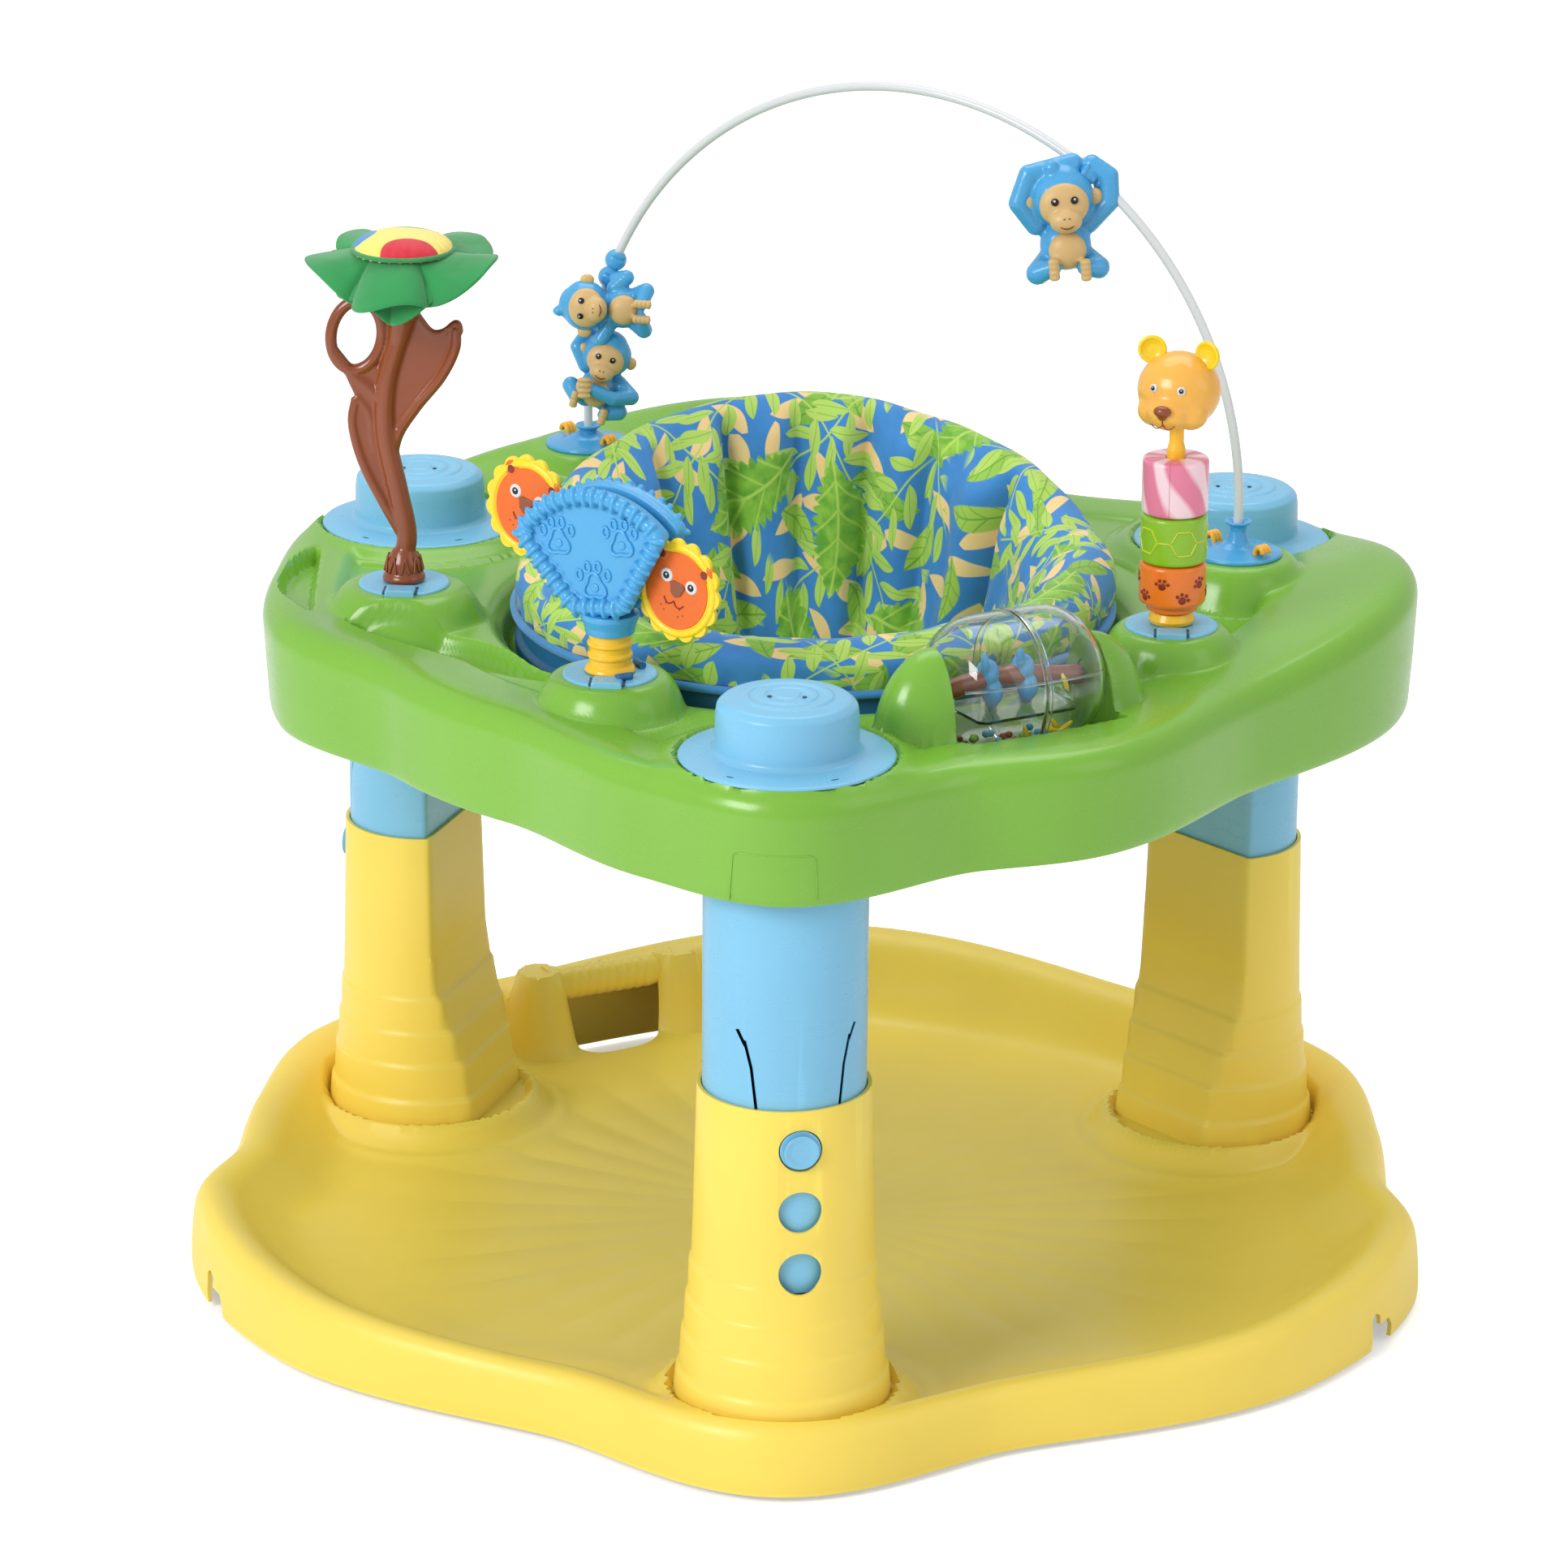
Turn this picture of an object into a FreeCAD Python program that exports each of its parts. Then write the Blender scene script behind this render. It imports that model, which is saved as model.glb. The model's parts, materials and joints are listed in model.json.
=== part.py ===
import FreeCAD, Part
import math
import os
import re
import Sketcher

# Activity jumper: a saucer base carries three telescopic spring legs, a toy tray and a swivel seat.
# Millimetres, +Z up, origin on the floor under the middle of the saucer, front leg towards -Y.

V = FreeCAD.Vector
UP = V(0, 0, 1)

DIMENSIONS = {
    # legs
    "leg_circle": 300, "leg_twist": 14, "sleeve_top": 232, "sleeve_radius": 51, "sleeve_bore": 48.6,
    "sleeve_flat": 22, "sleeve_floor": 36, "foot_radius": 63.6, "tube_radius": 48, "tube_flat": 18.8,
    "tube_bottom": 118, "tube_top": 402, "tube_wall": 2.4, "hole_pitch": 38, "hole_height": 208,
    "hole_radius": 12.8, "button_radius": 12.2, "button_proud": 54.4, "shell_wall": 3,
    # saucer base
    "skirt_foot": 4, "hub_radius": 62, "dish_inner": 70, "dish_low": 15, "mound_top": 41,
    "mound_radius": 92, "foot_pivot_circle": 338, "foot_pivot_height": 16, "pin_radius": 2.5,
    # tray
    "deck": 424, "cap_seat": 430, "tray_foot": 362, "seat_opening": 190, "ledge_inner": 176,
    "ledge_height": 401, "cap_flange": 62.8, "cap_radius": 41.3, "cap_height": 36, "guide_bore": 49,
    "plug_radius": 26, "mound_rise": 21, "spring_radius": 27, "spring_wire": 2.2,
    # seat
    "ring_outer": 184, "ring_inner": 148, "ring_low": 401.4, "ring_high": 431,
    # arch
    "arch_radius": 237.5, "arch_height": 480, "rod_radius": 2.5, "rod_bore": 3.4,
    # rattle drum
    "drum_height": 446, "drum_radius": 42, "drum_half": 50, "drum_wall": 2, "spindle_radius": 4,
    # bear stack
    "post_radius": 5, "stack_bore": 5.5, "stack_ring": 20, "stack_gap": 0.5,
    # fan toy
    "fan_gap": 3.7, "fan_depth": 7, "fan_half_width": 58, "fan_base": 484, "lobe_reach": 58,
    "lobe_radius": 30, "axle_radius": 4,
}
LEG_ANGLES = {"front": 270, "right": 30, "left": 150}
FOOT_ANGLES = {"rear": 90, "left": 201, "right": 339}

# Toy stations on the tray: x, y and the height of the plug's underside.
TREE = V(-250, -27, 443)
FAN = V(-109, -203, 445)
BEAR = V(219.5, -83, 445)
ARCH_RIGHT = V(261, 50, 452)
ARCH_LEFT = V(-161.7, 266.7, 452)
DRUM_ANGLE = 302.5
DRUM_CIRCLE = 234.7
FAN_TURN = -32
FAN_TILT = -8
LION_TILT = 16
MONKEY_STATIONS = {"right": 55, "upper": 161, "lower": 175.2}

# Saucer outline by angle from the front: (angle, skirt radius, rim height), mirrored left to right.
BASE_OUTLINE = [
    (0, 381, 46), (25, 336, 44), (57, 376, 50), (80, 391, 58), (91, 370, 60),
    (104, 380, 61), (120, 400, 64), (147, 370, 70), (180, 393, 78),
]
# Tray outline by angle from +X: (angle, skirt radius, crest height).
TRAY_OUTLINE = [
    (8, 376, 452), (31, 372, 433), (61, 314, 428), (100, 384, 460), (128, 352, 452), (150, 370, 432),
    (172, 346, 434), (192, 335, 436), (214, 294, 433), (234, 293, 432), (256, 338, 430), (270, 371, 431.4),
    (291, 323, 429), (303, 328, 429), (328, 310, 430),
]
# Top edge of the seat fabric by angle from +X.
SEAT_CREST = [(10, 474), (52, 503), (97, 521), (145, 501), (186, 468), (230, 459), (270, 460), (330, 464)]

doc = FreeCAD.newDocument("activity_jumper")
sheet = doc.addObject("Spreadsheet::Sheet", "sizes")
for row, (alias, value) in enumerate(DIMENSIONS.items(), start=1):
    sheet.set("A%d" % row, alias.replace("_", " "))
    sheet.set("B%d" % row, str(value))
    sheet.setAlias("B%d" % row, alias)
doc.recompute()

sub_parts = []


# ---------------------------------------------------------------- sheet and sketch helpers

def bound(expression):
    """The expression with every sheet alias written as sizes.alias."""
    def name(word):
        return "sizes." + word.group() if word.group() in DIMENSIONS else word.group()
    return re.sub(r"[a-z_]+", name, expression)


def size(alias):
    """Present value of one alias."""
    return float(sheet.get(alias))


def keep(item, label, placement=None):
    """Name an object as a sub-part of the jumper and put it in its place."""
    item.Label = label
    if placement is not None:
        item.Placement = placement.multiply(item.Placement)
    sub_parts.append(item)
    return item


def keep_shape(shape, label, placement=None):
    """A sub-part whose shape is built with Part's functions."""
    item = doc.addObject("Part::Feature", label)
    item.Shape = shape
    return keep(item, label, placement)


def new_sketch(body, name, role):
    """Sketch on one of the body's own origin planes."""
    sketch = body.newObject("Sketcher::SketchObject", name)
    plane = next(item for item in body.Origin.OriginFeatures if item.Role == role)
    sketch.AttachmentSupport = (plane, [""])
    sketch.MapMode = "FlatFace"
    return sketch


def add_loop(sketch, corners):
    """Closed line loop whose corners are pairs of sheet expressions."""
    values = [V(evaluate(x), evaluate(y), 0) for x, y in corners]
    first = sketch.GeometryCount
    count = len(values)
    for index in range(count):
        sketch.addGeometry(Part.LineSegment(values[index], values[(index + 1) % count]), False)
    for index in range(count):
        line = first + index
        following = first + (index + 1) % count
        sketch.addConstraint(Sketcher.Constraint("Coincident", line, 2, following, 1))
    for index, (x, y) in enumerate(corners):
        for kind, text, value in (("DistanceX", x, values[index].x), ("DistanceY", y, values[index].y)):
            number = sketch.addConstraint(Sketcher.Constraint(kind, -1, 1, first + index, 1, value))
            sketch.setExpression("Constraints[%d]" % number, bound(text))


def evaluate(expression):
    """Number that a sheet expression stands for."""
    return float(sheet.evalExpression(expression))


def add_circle(sketch, x, y, radius):
    """Circle whose centre and radius are sheet expressions."""
    centre = V(evaluate(x), evaluate(y), 0)
    index = sketch.addGeometry(Part.Circle(centre, UP, evaluate(radius)), False)
    wanted = [
        (Sketcher.Constraint("DistanceX", -1, 1, index, 3, centre.x), x),
        (Sketcher.Constraint("DistanceY", -1, 1, index, 3, centre.y), y),
        (Sketcher.Constraint("Radius", index, evaluate(radius)), radius),
    ]
    for constraint, text in wanted:
        number = sketch.addConstraint(constraint)
        sketch.setExpression("Constraints[%d]" % number, bound(text))


def add_d_shape(sketch, radius, flat):
    """D outline round the origin: an arc closed by a flat on the -X side."""
    arc_radius, flat_x = evaluate(radius), -evaluate(flat)
    spread = math.acos(flat_x / arc_radius)
    arc = sketch.addGeometry(Part.ArcOfCircle(Part.Circle(V(), UP, arc_radius), -spread, spread), False)
    half = arc_radius * math.sin(spread)
    line = sketch.addGeometry(Part.LineSegment(V(flat_x, half, 0), V(flat_x, -half, 0)), False)
    sketch.addConstraint(Sketcher.Constraint("Coincident", arc, 3, -1, 1))
    sketch.addConstraint(Sketcher.Constraint("Coincident", arc, 2, line, 1))
    sketch.addConstraint(Sketcher.Constraint("Coincident", line, 2, arc, 1))
    sketch.addConstraint(Sketcher.Constraint("Vertical", line))
    number = sketch.addConstraint(Sketcher.Constraint("Radius", arc, arc_radius))
    sketch.setExpression("Constraints[%d]" % number, bound(radius))
    number = sketch.addConstraint(Sketcher.Constraint("DistanceX", -1, 1, line, 1, flat_x))
    sketch.setExpression("Constraints[%d]" % number, bound("-(%s)" % flat))


def lift(sketch, height):
    """Raise a sketch above its plane by a sheet expression."""
    sketch.setExpression("AttachmentOffset.Base.z", bound(height))


def revolve(body, sketch):
    """Full turn of a sketch about its own vertical axis."""
    feature = body.newObject("PartDesign::Revolution", sketch.Name + "_turn")
    feature.Profile = sketch
    feature.ReferenceAxis = (sketch, ["V_Axis"])
    feature.Angle = 360
    sketch.Visibility = False
    return feature


def cut(body, sketch, length):
    """Pocket of a given length that must take material away, on whichever side it lies."""
    doc.recompute()
    before = body.Shape.Volume
    feature = body.newObject("PartDesign::Pocket", sketch.Name + "_cut")
    feature.Profile = sketch
    feature.setExpression("Length", bound(length))
    doc.recompute()
    if before - body.Shape.Volume < 1.0 or "Invalid" in feature.State:
        feature.Reversed = True
        doc.recompute()
    if before - body.Shape.Volume < 1.0:
        raise RuntimeError("a cut in %s takes nothing away" % body.Label)
    return feature


def turned(label, corners, placement=None):
    """Body turned about Z from (radius, height) expression pairs."""
    body = doc.addObject("PartDesign::Body", label)
    sketch = new_sketch(body, label + "_profile", "XZ_Plane")
    add_loop(sketch, corners)
    revolve(body, sketch)
    doc.recompute()
    return keep(body, label, placement)


# ---------------------------------------------------------------- shape helpers

def polar(radius, angle, height=0.0):
    """Point at a radius and an angle in degrees."""
    turn = math.radians(angle)
    return V(radius * math.cos(turn), radius * math.sin(turn), height)


def eased(stations, angle, column, period):
    """Value between two stations, with a level tangent at each station."""
    angle = angle % period
    ring = [(stations[-1][0] - period,) + tuple(stations[-1][1:])] + list(stations)
    ring.append((stations[0][0] + period,) + tuple(stations[0][1:]))
    for low, high in zip(ring, ring[1:]):
        if low[0] <= angle <= high[0]:
            share = (angle - low[0]) / (high[0] - low[0])
            share = share * share * (3 - 2 * share)
            return low[column] + (high[column] - low[column]) * share
    raise ValueError("angle outside the stations")


def closed_ring(section, count):
    """Ring-shaped solid lofted through count sections round the Z axis."""
    wires = []
    for index in range(count):
        angle = 360.0 * index / count
        corners = [polar(radius, angle, height) for radius, height in section(angle)]
        wires.append(Part.makePolygon(corners + corners[:1]))
    ring = Part.makeLoft(wires, True, False, True)
    return ring if ring.Volume > 0 else ring.reversed()


def walled(top, wall):
    """Closed section: a line seen from above, then the same line offset below it by the wall."""
    below = []
    for index, (radius, height) in enumerate(top):
        before, after = top[max(index - 1, 0)], top[min(index + 1, len(top) - 1)]
        run, rise = after[0] - before[0], after[1] - before[1]
        length = math.hypot(run, rise)
        below.append((radius + wall * rise / length, height - wall * run / length))
    return top + below[::-1]


def cone(foot_radius, top_radius, base, height):
    """Upright cone that stands on the point base."""
    return Part.makeCone(foot_radius, top_radius, height, base, UP)


def rod(radius, start, end):
    """Cylinder between two points."""
    axis = end - start
    return Part.makeCylinder(radius, axis.Length, start, axis)


def fused(shapes):
    """One solid from touching shapes."""
    first, rest = shapes[0], shapes[1:]
    return first.multiFuse(rest) if rest else first


def prism(corners, start, end):
    """Plate in the XZ plane between two depths along Y."""
    points = [V(x, start, z) for x, z in corners]
    face = Part.Face(Part.makePolygon(points + points[:1]))
    return face.extrude(V(0, end - start, 0))


def ellipsoid(centre, half_x, half_y, half_z, frame=None):
    """Ellipsoid with its half axes along X, Y and Z of an optional turned frame."""
    matrix = FreeCAD.Matrix()
    matrix.scale(half_x, half_y, half_z)
    ball = Part.makeSphere(1.0).transformGeometry(matrix)
    turn = frame if frame is not None else FreeCAD.Rotation()
    ball.Placement = FreeCAD.Placement(centre, turn)
    return ball


def leg_placement(angle):
    """Frame of a leg: X points away from the tray's middle, twisted with its D section."""
    turn = FreeCAD.Rotation(UP, angle + size("leg_twist"))
    return FreeCAD.Placement(polar(size("leg_circle"), angle), turn)


# ---------------------------------------------------------------- saucer base

def base_radius(angle):
    from_front = abs((angle - 270 + 180) % 360 - 180)
    return eased(BASE_OUTLINE, from_front, 1, 360)


def base_rim(angle):
    from_front = abs((angle - 270 + 180) % 360 - 180)
    return eased(BASE_OUTLINE, from_front, 2, 360)


def base_section(angle):
    """Wall of the saucer from the skirt over the rim and down into the dish, then back below."""
    outer, rim, foot = base_radius(angle), base_rim(angle), size("skirt_foot")
    wall, inner, low = size("shell_wall"), size("dish_inner"), size("dish_low")
    top = [
        (inner, low), (200, low + 6), (outer - 62, low + 13), (outer - 38, rim - 16), (outer - 25, rim - 5),
        (outer - 14, rim), (outer - 6, rim - 4), (outer - 2, rim - 15), (outer, foot),
    ]
    return walled(top, wall)


def base_outline_solid(height):
    """Everything inside the skirt, up to a height."""
    points = [polar(base_radius(angle) - 2.6, angle, size("skirt_foot")) for angle in range(0, 360, 6)]
    curve = Part.BSplineCurve()
    curve.interpolate(points, PeriodicFlag=True)
    return Part.Face(Part.Wire(curve.toShape())).extrude(V(0, 0, height))


def leg_mound(angle):
    """Raised mound with a socket that takes the foot of a sleeve, and the hollow below it."""
    foot, top, floor = size("dish_low") - 6, size("mound_top"), size("sleeve_floor")
    wall, reach = size("shell_wall"), size("mound_radius")
    place = polar(size("leg_circle"), angle)
    outer = cone(reach, size("foot_radius") + 6, place + UP * foot, top - foot)
    hollow = cone(reach - 4, size("foot_radius") + 2, place + UP * (foot - 1), floor - wall - foot + 1)
    socket = Part.makeCylinder(size("foot_radius") + 0.6, 60, place + UP * floor)
    return outer, hollow, socket


def screw_places(angle):
    """Three screws round each leg, on the flange inside the sleeve's foot."""
    return [polar(size("leg_circle"), angle) + polar(44, angle + 14 + turn) for turn in (-60, 0, 60)]


def build_base():
    """Saucer: lofted shell, hub pad, leg mounds, carry bar, skirt notches and foot pivots."""
    wall, low = size("shell_wall"), size("dish_low")
    shell = closed_ring(base_section, 60)
    hub = Part.makeCylinder(size("hub_radius"), low - wall / 2, V())
    hub = hub.cut(Part.makeCylinder(size("hub_radius") - 6, low - 2 * wall, V(0, 0, wall)))
    middle = Part.makeCylinder(size("dish_inner") + 6, 0.6 * wall, V(0, 0, low - 0.8 * wall))
    mounds = [leg_mound(angle) for angle in LEG_ANGLES.values()]
    inside = base_outline_solid(60)
    body = shell
    inner_mounds = [outer.common(inside) for outer, hollow, socket in mounds]
    for mound in inner_mounds:
        body = body.cut(mound)
    body = fused([body, hub, middle] + [mound.cut(hollow).cut(socket)
                                        for mound, (outer, hollow, socket) in zip(inner_mounds, mounds)])
    body = body.cut(Part.makeCompound([socket for outer, hollow, socket in mounds]))
    for angle in LEG_ANGLES.values():
        holes = [Part.makeCylinder(2.2, 20, place + UP * 25) for place in screw_places(angle)]
        body = body.cut(Part.makeCompound(holes))
    body = add_carry_bar(body)
    notches = []
    for angle in (201, 339, 90):
        notch = Part.makeBox(60, 27, 18, V(-30, -13.5, 0))
        notch.Placement = FreeCAD.Placement(polar(base_radius(angle), angle), FreeCAD.Rotation(UP, angle))
        notches.append(notch)
    body = body.cut(Part.makeCompound(notches))
    body = fused([body] + [lug for angle in FOOT_ANGLES.values() for lug in pivot_lugs(angle)])
    solids = sorted(body.Solids, key=lambda solid: solid.Volume)
    keep_shape(solids[-1], "base_saucer")


def add_carry_bar(body):
    """Opening at the rear left with a grip bar bridging two humps."""
    start, end = V(-196, 262, 0), V(-108, 312, 0)
    along = (end - start).normalize()
    window = Part.makeBox((end - start).Length, 52, 150, V(0, -38, 0))
    window.Placement = FreeCAD.Placement(start, FreeCAD.Rotation(V(1, 0, 0), along))
    body = body.cut(window)
    humps = [cone(26, 15, place + UP * 22, 60) for place in (start - along * 16, end + along * 16)]
    grip = rod(11, start - along * 18 + UP * 70, end + along * 18 + UP * 70)
    return fused([body, grip] + humps)


def pivot_frame(angle):
    """Frame of a stabiliser pivot: X outwards, Y along the pin."""
    place = polar(size("foot_pivot_circle"), angle, size("foot_pivot_height"))
    return FreeCAD.Placement(place, FreeCAD.Rotation(UP, angle))


def pivot_lugs(angle):
    """Two ears below the dish that hold a stabiliser pin."""
    lugs = []
    for side in (-24, 21):
        lug = Part.makeBox(12, 3, 18, V(-6, side, -6))
        lug = lug.cut(Part.makeCylinder(size("pin_radius") + 0.05, 5, V(0, side - 1, 0), V(0, 1, 0)))
        lug.Placement = pivot_frame(angle)
        lugs.append(lug)
    return lugs


def build_stabilisers():
    """Fold-out feet that keep the saucer from rocking, and their pins."""
    pins = []
    for name, angle in FOOT_ANGLES.items():
        low = -size("foot_pivot_height")
        foot = prism([(5, 5), (5, -6), (-2, low), (-46, low), (-46, low + 6), (-12, low + 7), (-5, 5)], -19, 19)
        foot = foot.cut(Part.makeCylinder(size("pin_radius") + 0.06, 40, V(0, -20, 0), V(0, 1, 0)))
        keep_shape(foot, "stabiliser_foot_" + name, pivot_frame(angle))
        pin = Part.makeCylinder(size("pin_radius"), 49, V(0, -24.5, 0), V(0, 1, 0))
        pin.Placement = pivot_frame(angle)
        pins.append(pin)
    keep_shape(Part.makeCompound(pins), "stabiliser_pins")


# ---------------------------------------------------------------- telescopic legs

def build_sleeve(name, angle):
    """Outer leg: turned flare, flat on the inside, D bore and three round button holes."""
    label = "leg_sleeve_" + name
    body = doc.addObject("PartDesign::Body", label)
    profile = new_sketch(body, label + "_profile", "XZ_Plane")
    add_loop(profile, [
        ("0", "sleeve_floor + 0.2"), ("foot_radius", "sleeve_floor + 0.2"),
        ("foot_radius", "mound_top + 2"), ("foot_radius - 3", "mound_top + 12"),
        ("sleeve_radius + 8", "mound_top + 20"), ("sleeve_radius + 6.5", "mound_top + 36"),
        ("sleeve_radius + 5.5", "mound_top + 37"), ("sleeve_radius + 3", "mound_top + 62"),
        ("sleeve_radius", "sleeve_top"), ("0", "sleeve_top"),
    ])
    revolve(body, profile)
    flat = new_sketch(body, label + "_flat", "XZ_Plane")
    add_loop(flat, [
        ("-foot_radius - 20", "mound_top + 6"), ("-foot_radius + 4", "mound_top + 6"),
        ("-sleeve_flat - 22", "mound_top + 18"), ("-sleeve_flat - 6", "mound_top + 44"),
        ("-sleeve_flat", "mound_top + 80"), ("-sleeve_flat", "sleeve_top + 5"),
        ("-foot_radius - 20", "sleeve_top + 5"),
    ])
    slab = cut(body, flat, "200")
    slab.Midplane = True
    bore = new_sketch(body, label + "_bore", "XY_Plane")
    add_d_shape(bore, "sleeve_bore", "sleeve_flat - 2.6")
    lift(bore, "sleeve_top")
    cut(body, bore, "sleeve_top - sleeve_floor - 4")
    drain = new_sketch(body, label + "_drain", "XY_Plane")
    add_circle(drain, "0", "0", "36")
    lift(drain, "sleeve_floor + 10")
    cut(body, drain, "20")
    holes = new_sketch(body, label + "_holes", "YZ_Plane")
    for step in range(3):
        add_circle(holes, "0", "hole_height - %d * hole_pitch" % step, "hole_radius")
    drilled = cut(body, holes, "90")
    drilled.Reversed = True
    screws = new_sketch(body, label + "_screws", "XY_Plane")
    for turn in (-60, 0, 60):
        spot = polar(44, turn)
        add_circle(screws, "%.4f" % spot.x, "%.4f" % spot.y, "1.9")
    lift(screws, "sleeve_floor + 10")
    cut(body, screws, "20")
    keep(body, label, leg_placement(angle))


def tongue_corners(gap):
    """V-shaped tongue above the button, wider at the top, grown by a gap."""
    low = size("hole_height") - 16
    high = low + 88
    return [(-14 - gap, low - gap), (14 + gap, low - gap), (31 + gap, high), (-31 - gap, high)]


def tongue_prism(gap):
    """The tongue's outline carried outwards through the tube wall."""
    points = [V(10, y, z) for y, z in tongue_corners(gap)]
    return Part.Face(Part.makePolygon(points + points[:1])).extrude(V(60, 0, 0))


def build_tube(name, angle):
    """Inner leg: D tube with the outline of the button tongue cut out of its outer wall."""
    label = "leg_tube_" + name
    body = doc.addObject("PartDesign::Body", label)
    outline = new_sketch(body, label + "_outline", "XY_Plane")
    add_d_shape(outline, "tube_radius", "tube_flat")
    add_d_shape(outline, "tube_radius - tube_wall", "tube_flat - tube_wall")
    lift(outline, "tube_bottom")
    pad = body.newObject("PartDesign::Pad", label + "_pad")
    pad.Profile = outline
    pad.setExpression("Length", bound("tube_top - tube_bottom"))
    slot = new_sketch(body, label + "_slot", "YZ_Plane")
    low, high = "hole_height - 16", "hole_height + 72"
    add_loop(slot, [("-16", low + " - 2"), ("16", low + " - 2"), ("33", high), ("-33", high)])
    opened = cut(body, slot, "tube_radius + 10")
    opened.Reversed = True
    keep(body, label, leg_placement(angle))


def build_button(name, angle):
    """Spring tongue of the tube with the round button that locks in a sleeve hole."""
    inner = size("tube_radius") - size("tube_wall")
    low, high = size("hole_height") - 20, size("hole_height") + 80
    wall = Part.makeCylinder(size("tube_radius"), high - low, V(0, 0, low))
    wall = wall.cut(Part.makeCylinder(inner, high - low, V(0, 0, low)))
    tongue = wall.common(tongue_prism(0))
    start = V(inner + 0.5, 0, size("hole_height"))
    head = Part.makeCylinder(size("button_radius"), size("button_proud") - start.x, start, V(1, 0, 0))
    head = head.makeFillet(2.0, [head.Edges[index] for index in rim_edges(head, size("button_proud"))])
    keep_shape(tongue.fuse(head), "height_button_" + name, leg_placement(angle))


def rim_edges(shape, x):
    """Indexes of the circular edges that lie at one X."""
    return [index for index, edge in enumerate(shape.Edges)
            if edge.BoundBox.XMax - edge.BoundBox.XMin < 0.01 and abs(edge.BoundBox.XMax - x) < 0.01]


def build_leg_inside():
    """Plugs on the tubes, suspension springs above them and the screws under the sleeves."""
    plugs, springs, screws = [], [], []
    spigot, wire = size("spring_radius") - 6, size("spring_wire")
    for angle in LEG_ANGLES.values():
        place = polar(size("leg_circle"), angle)
        top = place + UP * size("tube_top")
        stopper = Part.makeCylinder(15.5, 12, top - UP * 12)
        flange = Part.makeCylinder(size("tube_radius") - 1, 2.5, top + UP * 0.05)
        plugs.append(fused([stopper, flange, Part.makeCylinder(spigot, 8, top)]))
        low = size("tube_top") + 2.8 + wire
        high = size("cap_seat") + size("cap_height") - 3.4 - wire
        springs.append(make_spring(size("spring_radius"), wire, low, high, 4, place))
        for spot in screw_places(angle):
            shank = Part.makeCylinder(1.8, 12.5, spot + UP * 28)
            screws.append(shank.fuse(Part.makeCylinder(4, 3, spot + UP * 27.5 + UP * 2.2)))
    keep_shape(Part.makeCompound(plugs), "tube_plugs")
    keep_shape(Part.makeCompound(springs), "suspension_springs")
    keep_shape(Part.makeCompound(screws), "sleeve_screws")


def make_spring(radius, wire, low, high, turns, place):
    """Round-wire compression spring."""
    helix = Part.makeHelix((high - low) / turns, high - low, radius)
    ring = Part.Wire(Part.Circle(V(radius, 0, 0), V(0, 1, 0), wire).toShape())
    coil = Part.Wire(helix).makePipeShell([ring], True, False)
    coil.translate(place + UP * low)
    return coil


# ---------------------------------------------------------------- tray

def tray_section(angle):
    """Wall of the tray from the seat ledge over the deck and crest down the skirt, then back below."""
    outer, crest = eased(TRAY_OUTLINE, angle, 1, 360), eased(TRAY_OUTLINE, angle, 2, 360)
    wall, ledge, deck = size("shell_wall"), size("ledge_height"), size("deck")
    opening, foot = size("seat_opening"), size("tray_foot")
    top = [
        (size("ledge_inner"), ledge), (opening, ledge), (opening + 2, deck - 8), (opening + 10, deck),
        (outer - 44, deck), (outer - 30, crest - 3), (outer - 17, crest), (outer - 6, crest - 4),
        (outer, crest - 17), (outer - 6, foot),
    ]
    return walled(top, wall)


def toy_mound(place, foot_radius, top_radius):
    """Hollow mound below a toy plug: outer cone, hollow and the hole that the plug clicks into."""
    base = V(place.x, place.y, size("deck") - 6)
    rise = place.z - 0.2 - base.z
    outer = cone(foot_radius, top_radius, base, rise)
    hollow = cone(foot_radius - 3.5, top_radius - 3.5, base - UP * 1, rise - size("shell_wall") + 1)
    hole = Part.makeCylinder(12.4, 40, V(place.x, place.y, place.z - 30))
    return outer, outer.cut(hollow).cut(hole), hole


def drum_axis():
    """Middle of the rattle drum and the direction of its spindles, along the tray's rim."""
    return polar(DRUM_CIRCLE, DRUM_ANGLE, size("drum_height")), polar(1, DRUM_ANGLE + 90)


def drum_supports():
    """Trough under the drum and the two humps that carry its spindles."""
    middle, along = drum_axis()
    gap, wall = size("drum_half") + 2.5, size("shell_wall")
    radius = size("drum_radius") + 4
    space = rod(radius, middle - along * gap, middle + along * gap)
    trough = rod(radius + wall, middle - along * (gap + wall), middle + along * (gap + wall))
    above = Part.makeBox(400, 400, 60, V(middle.x - 200, middle.y - 200, size("deck") - 0.5))
    humps = []
    for side in (-1, 1):
        foot = middle + along * (side * (gap + 12))
        base = V(foot.x, foot.y, size("deck") - 6)
        hump = fused([cone(30, 18, base, 26), ellipsoid(base + UP * 26, 18, 18, 19)])
        inner = fused([cone(26.5, 15, base - UP, 27), ellipsoid(base + UP * 26, 15, 15, 16)])
        inner = inner.cut(rod(radius + wall, middle - along * (gap + wall), middle + along * (gap + wall)))
        hole = rod(size("spindle_radius") + 0.4, middle, middle + along * (side * (gap + 8)))
        humps.append((hump.cut(inner).cut(hole), inner))
    return space, trough.cut(above), humps


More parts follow.
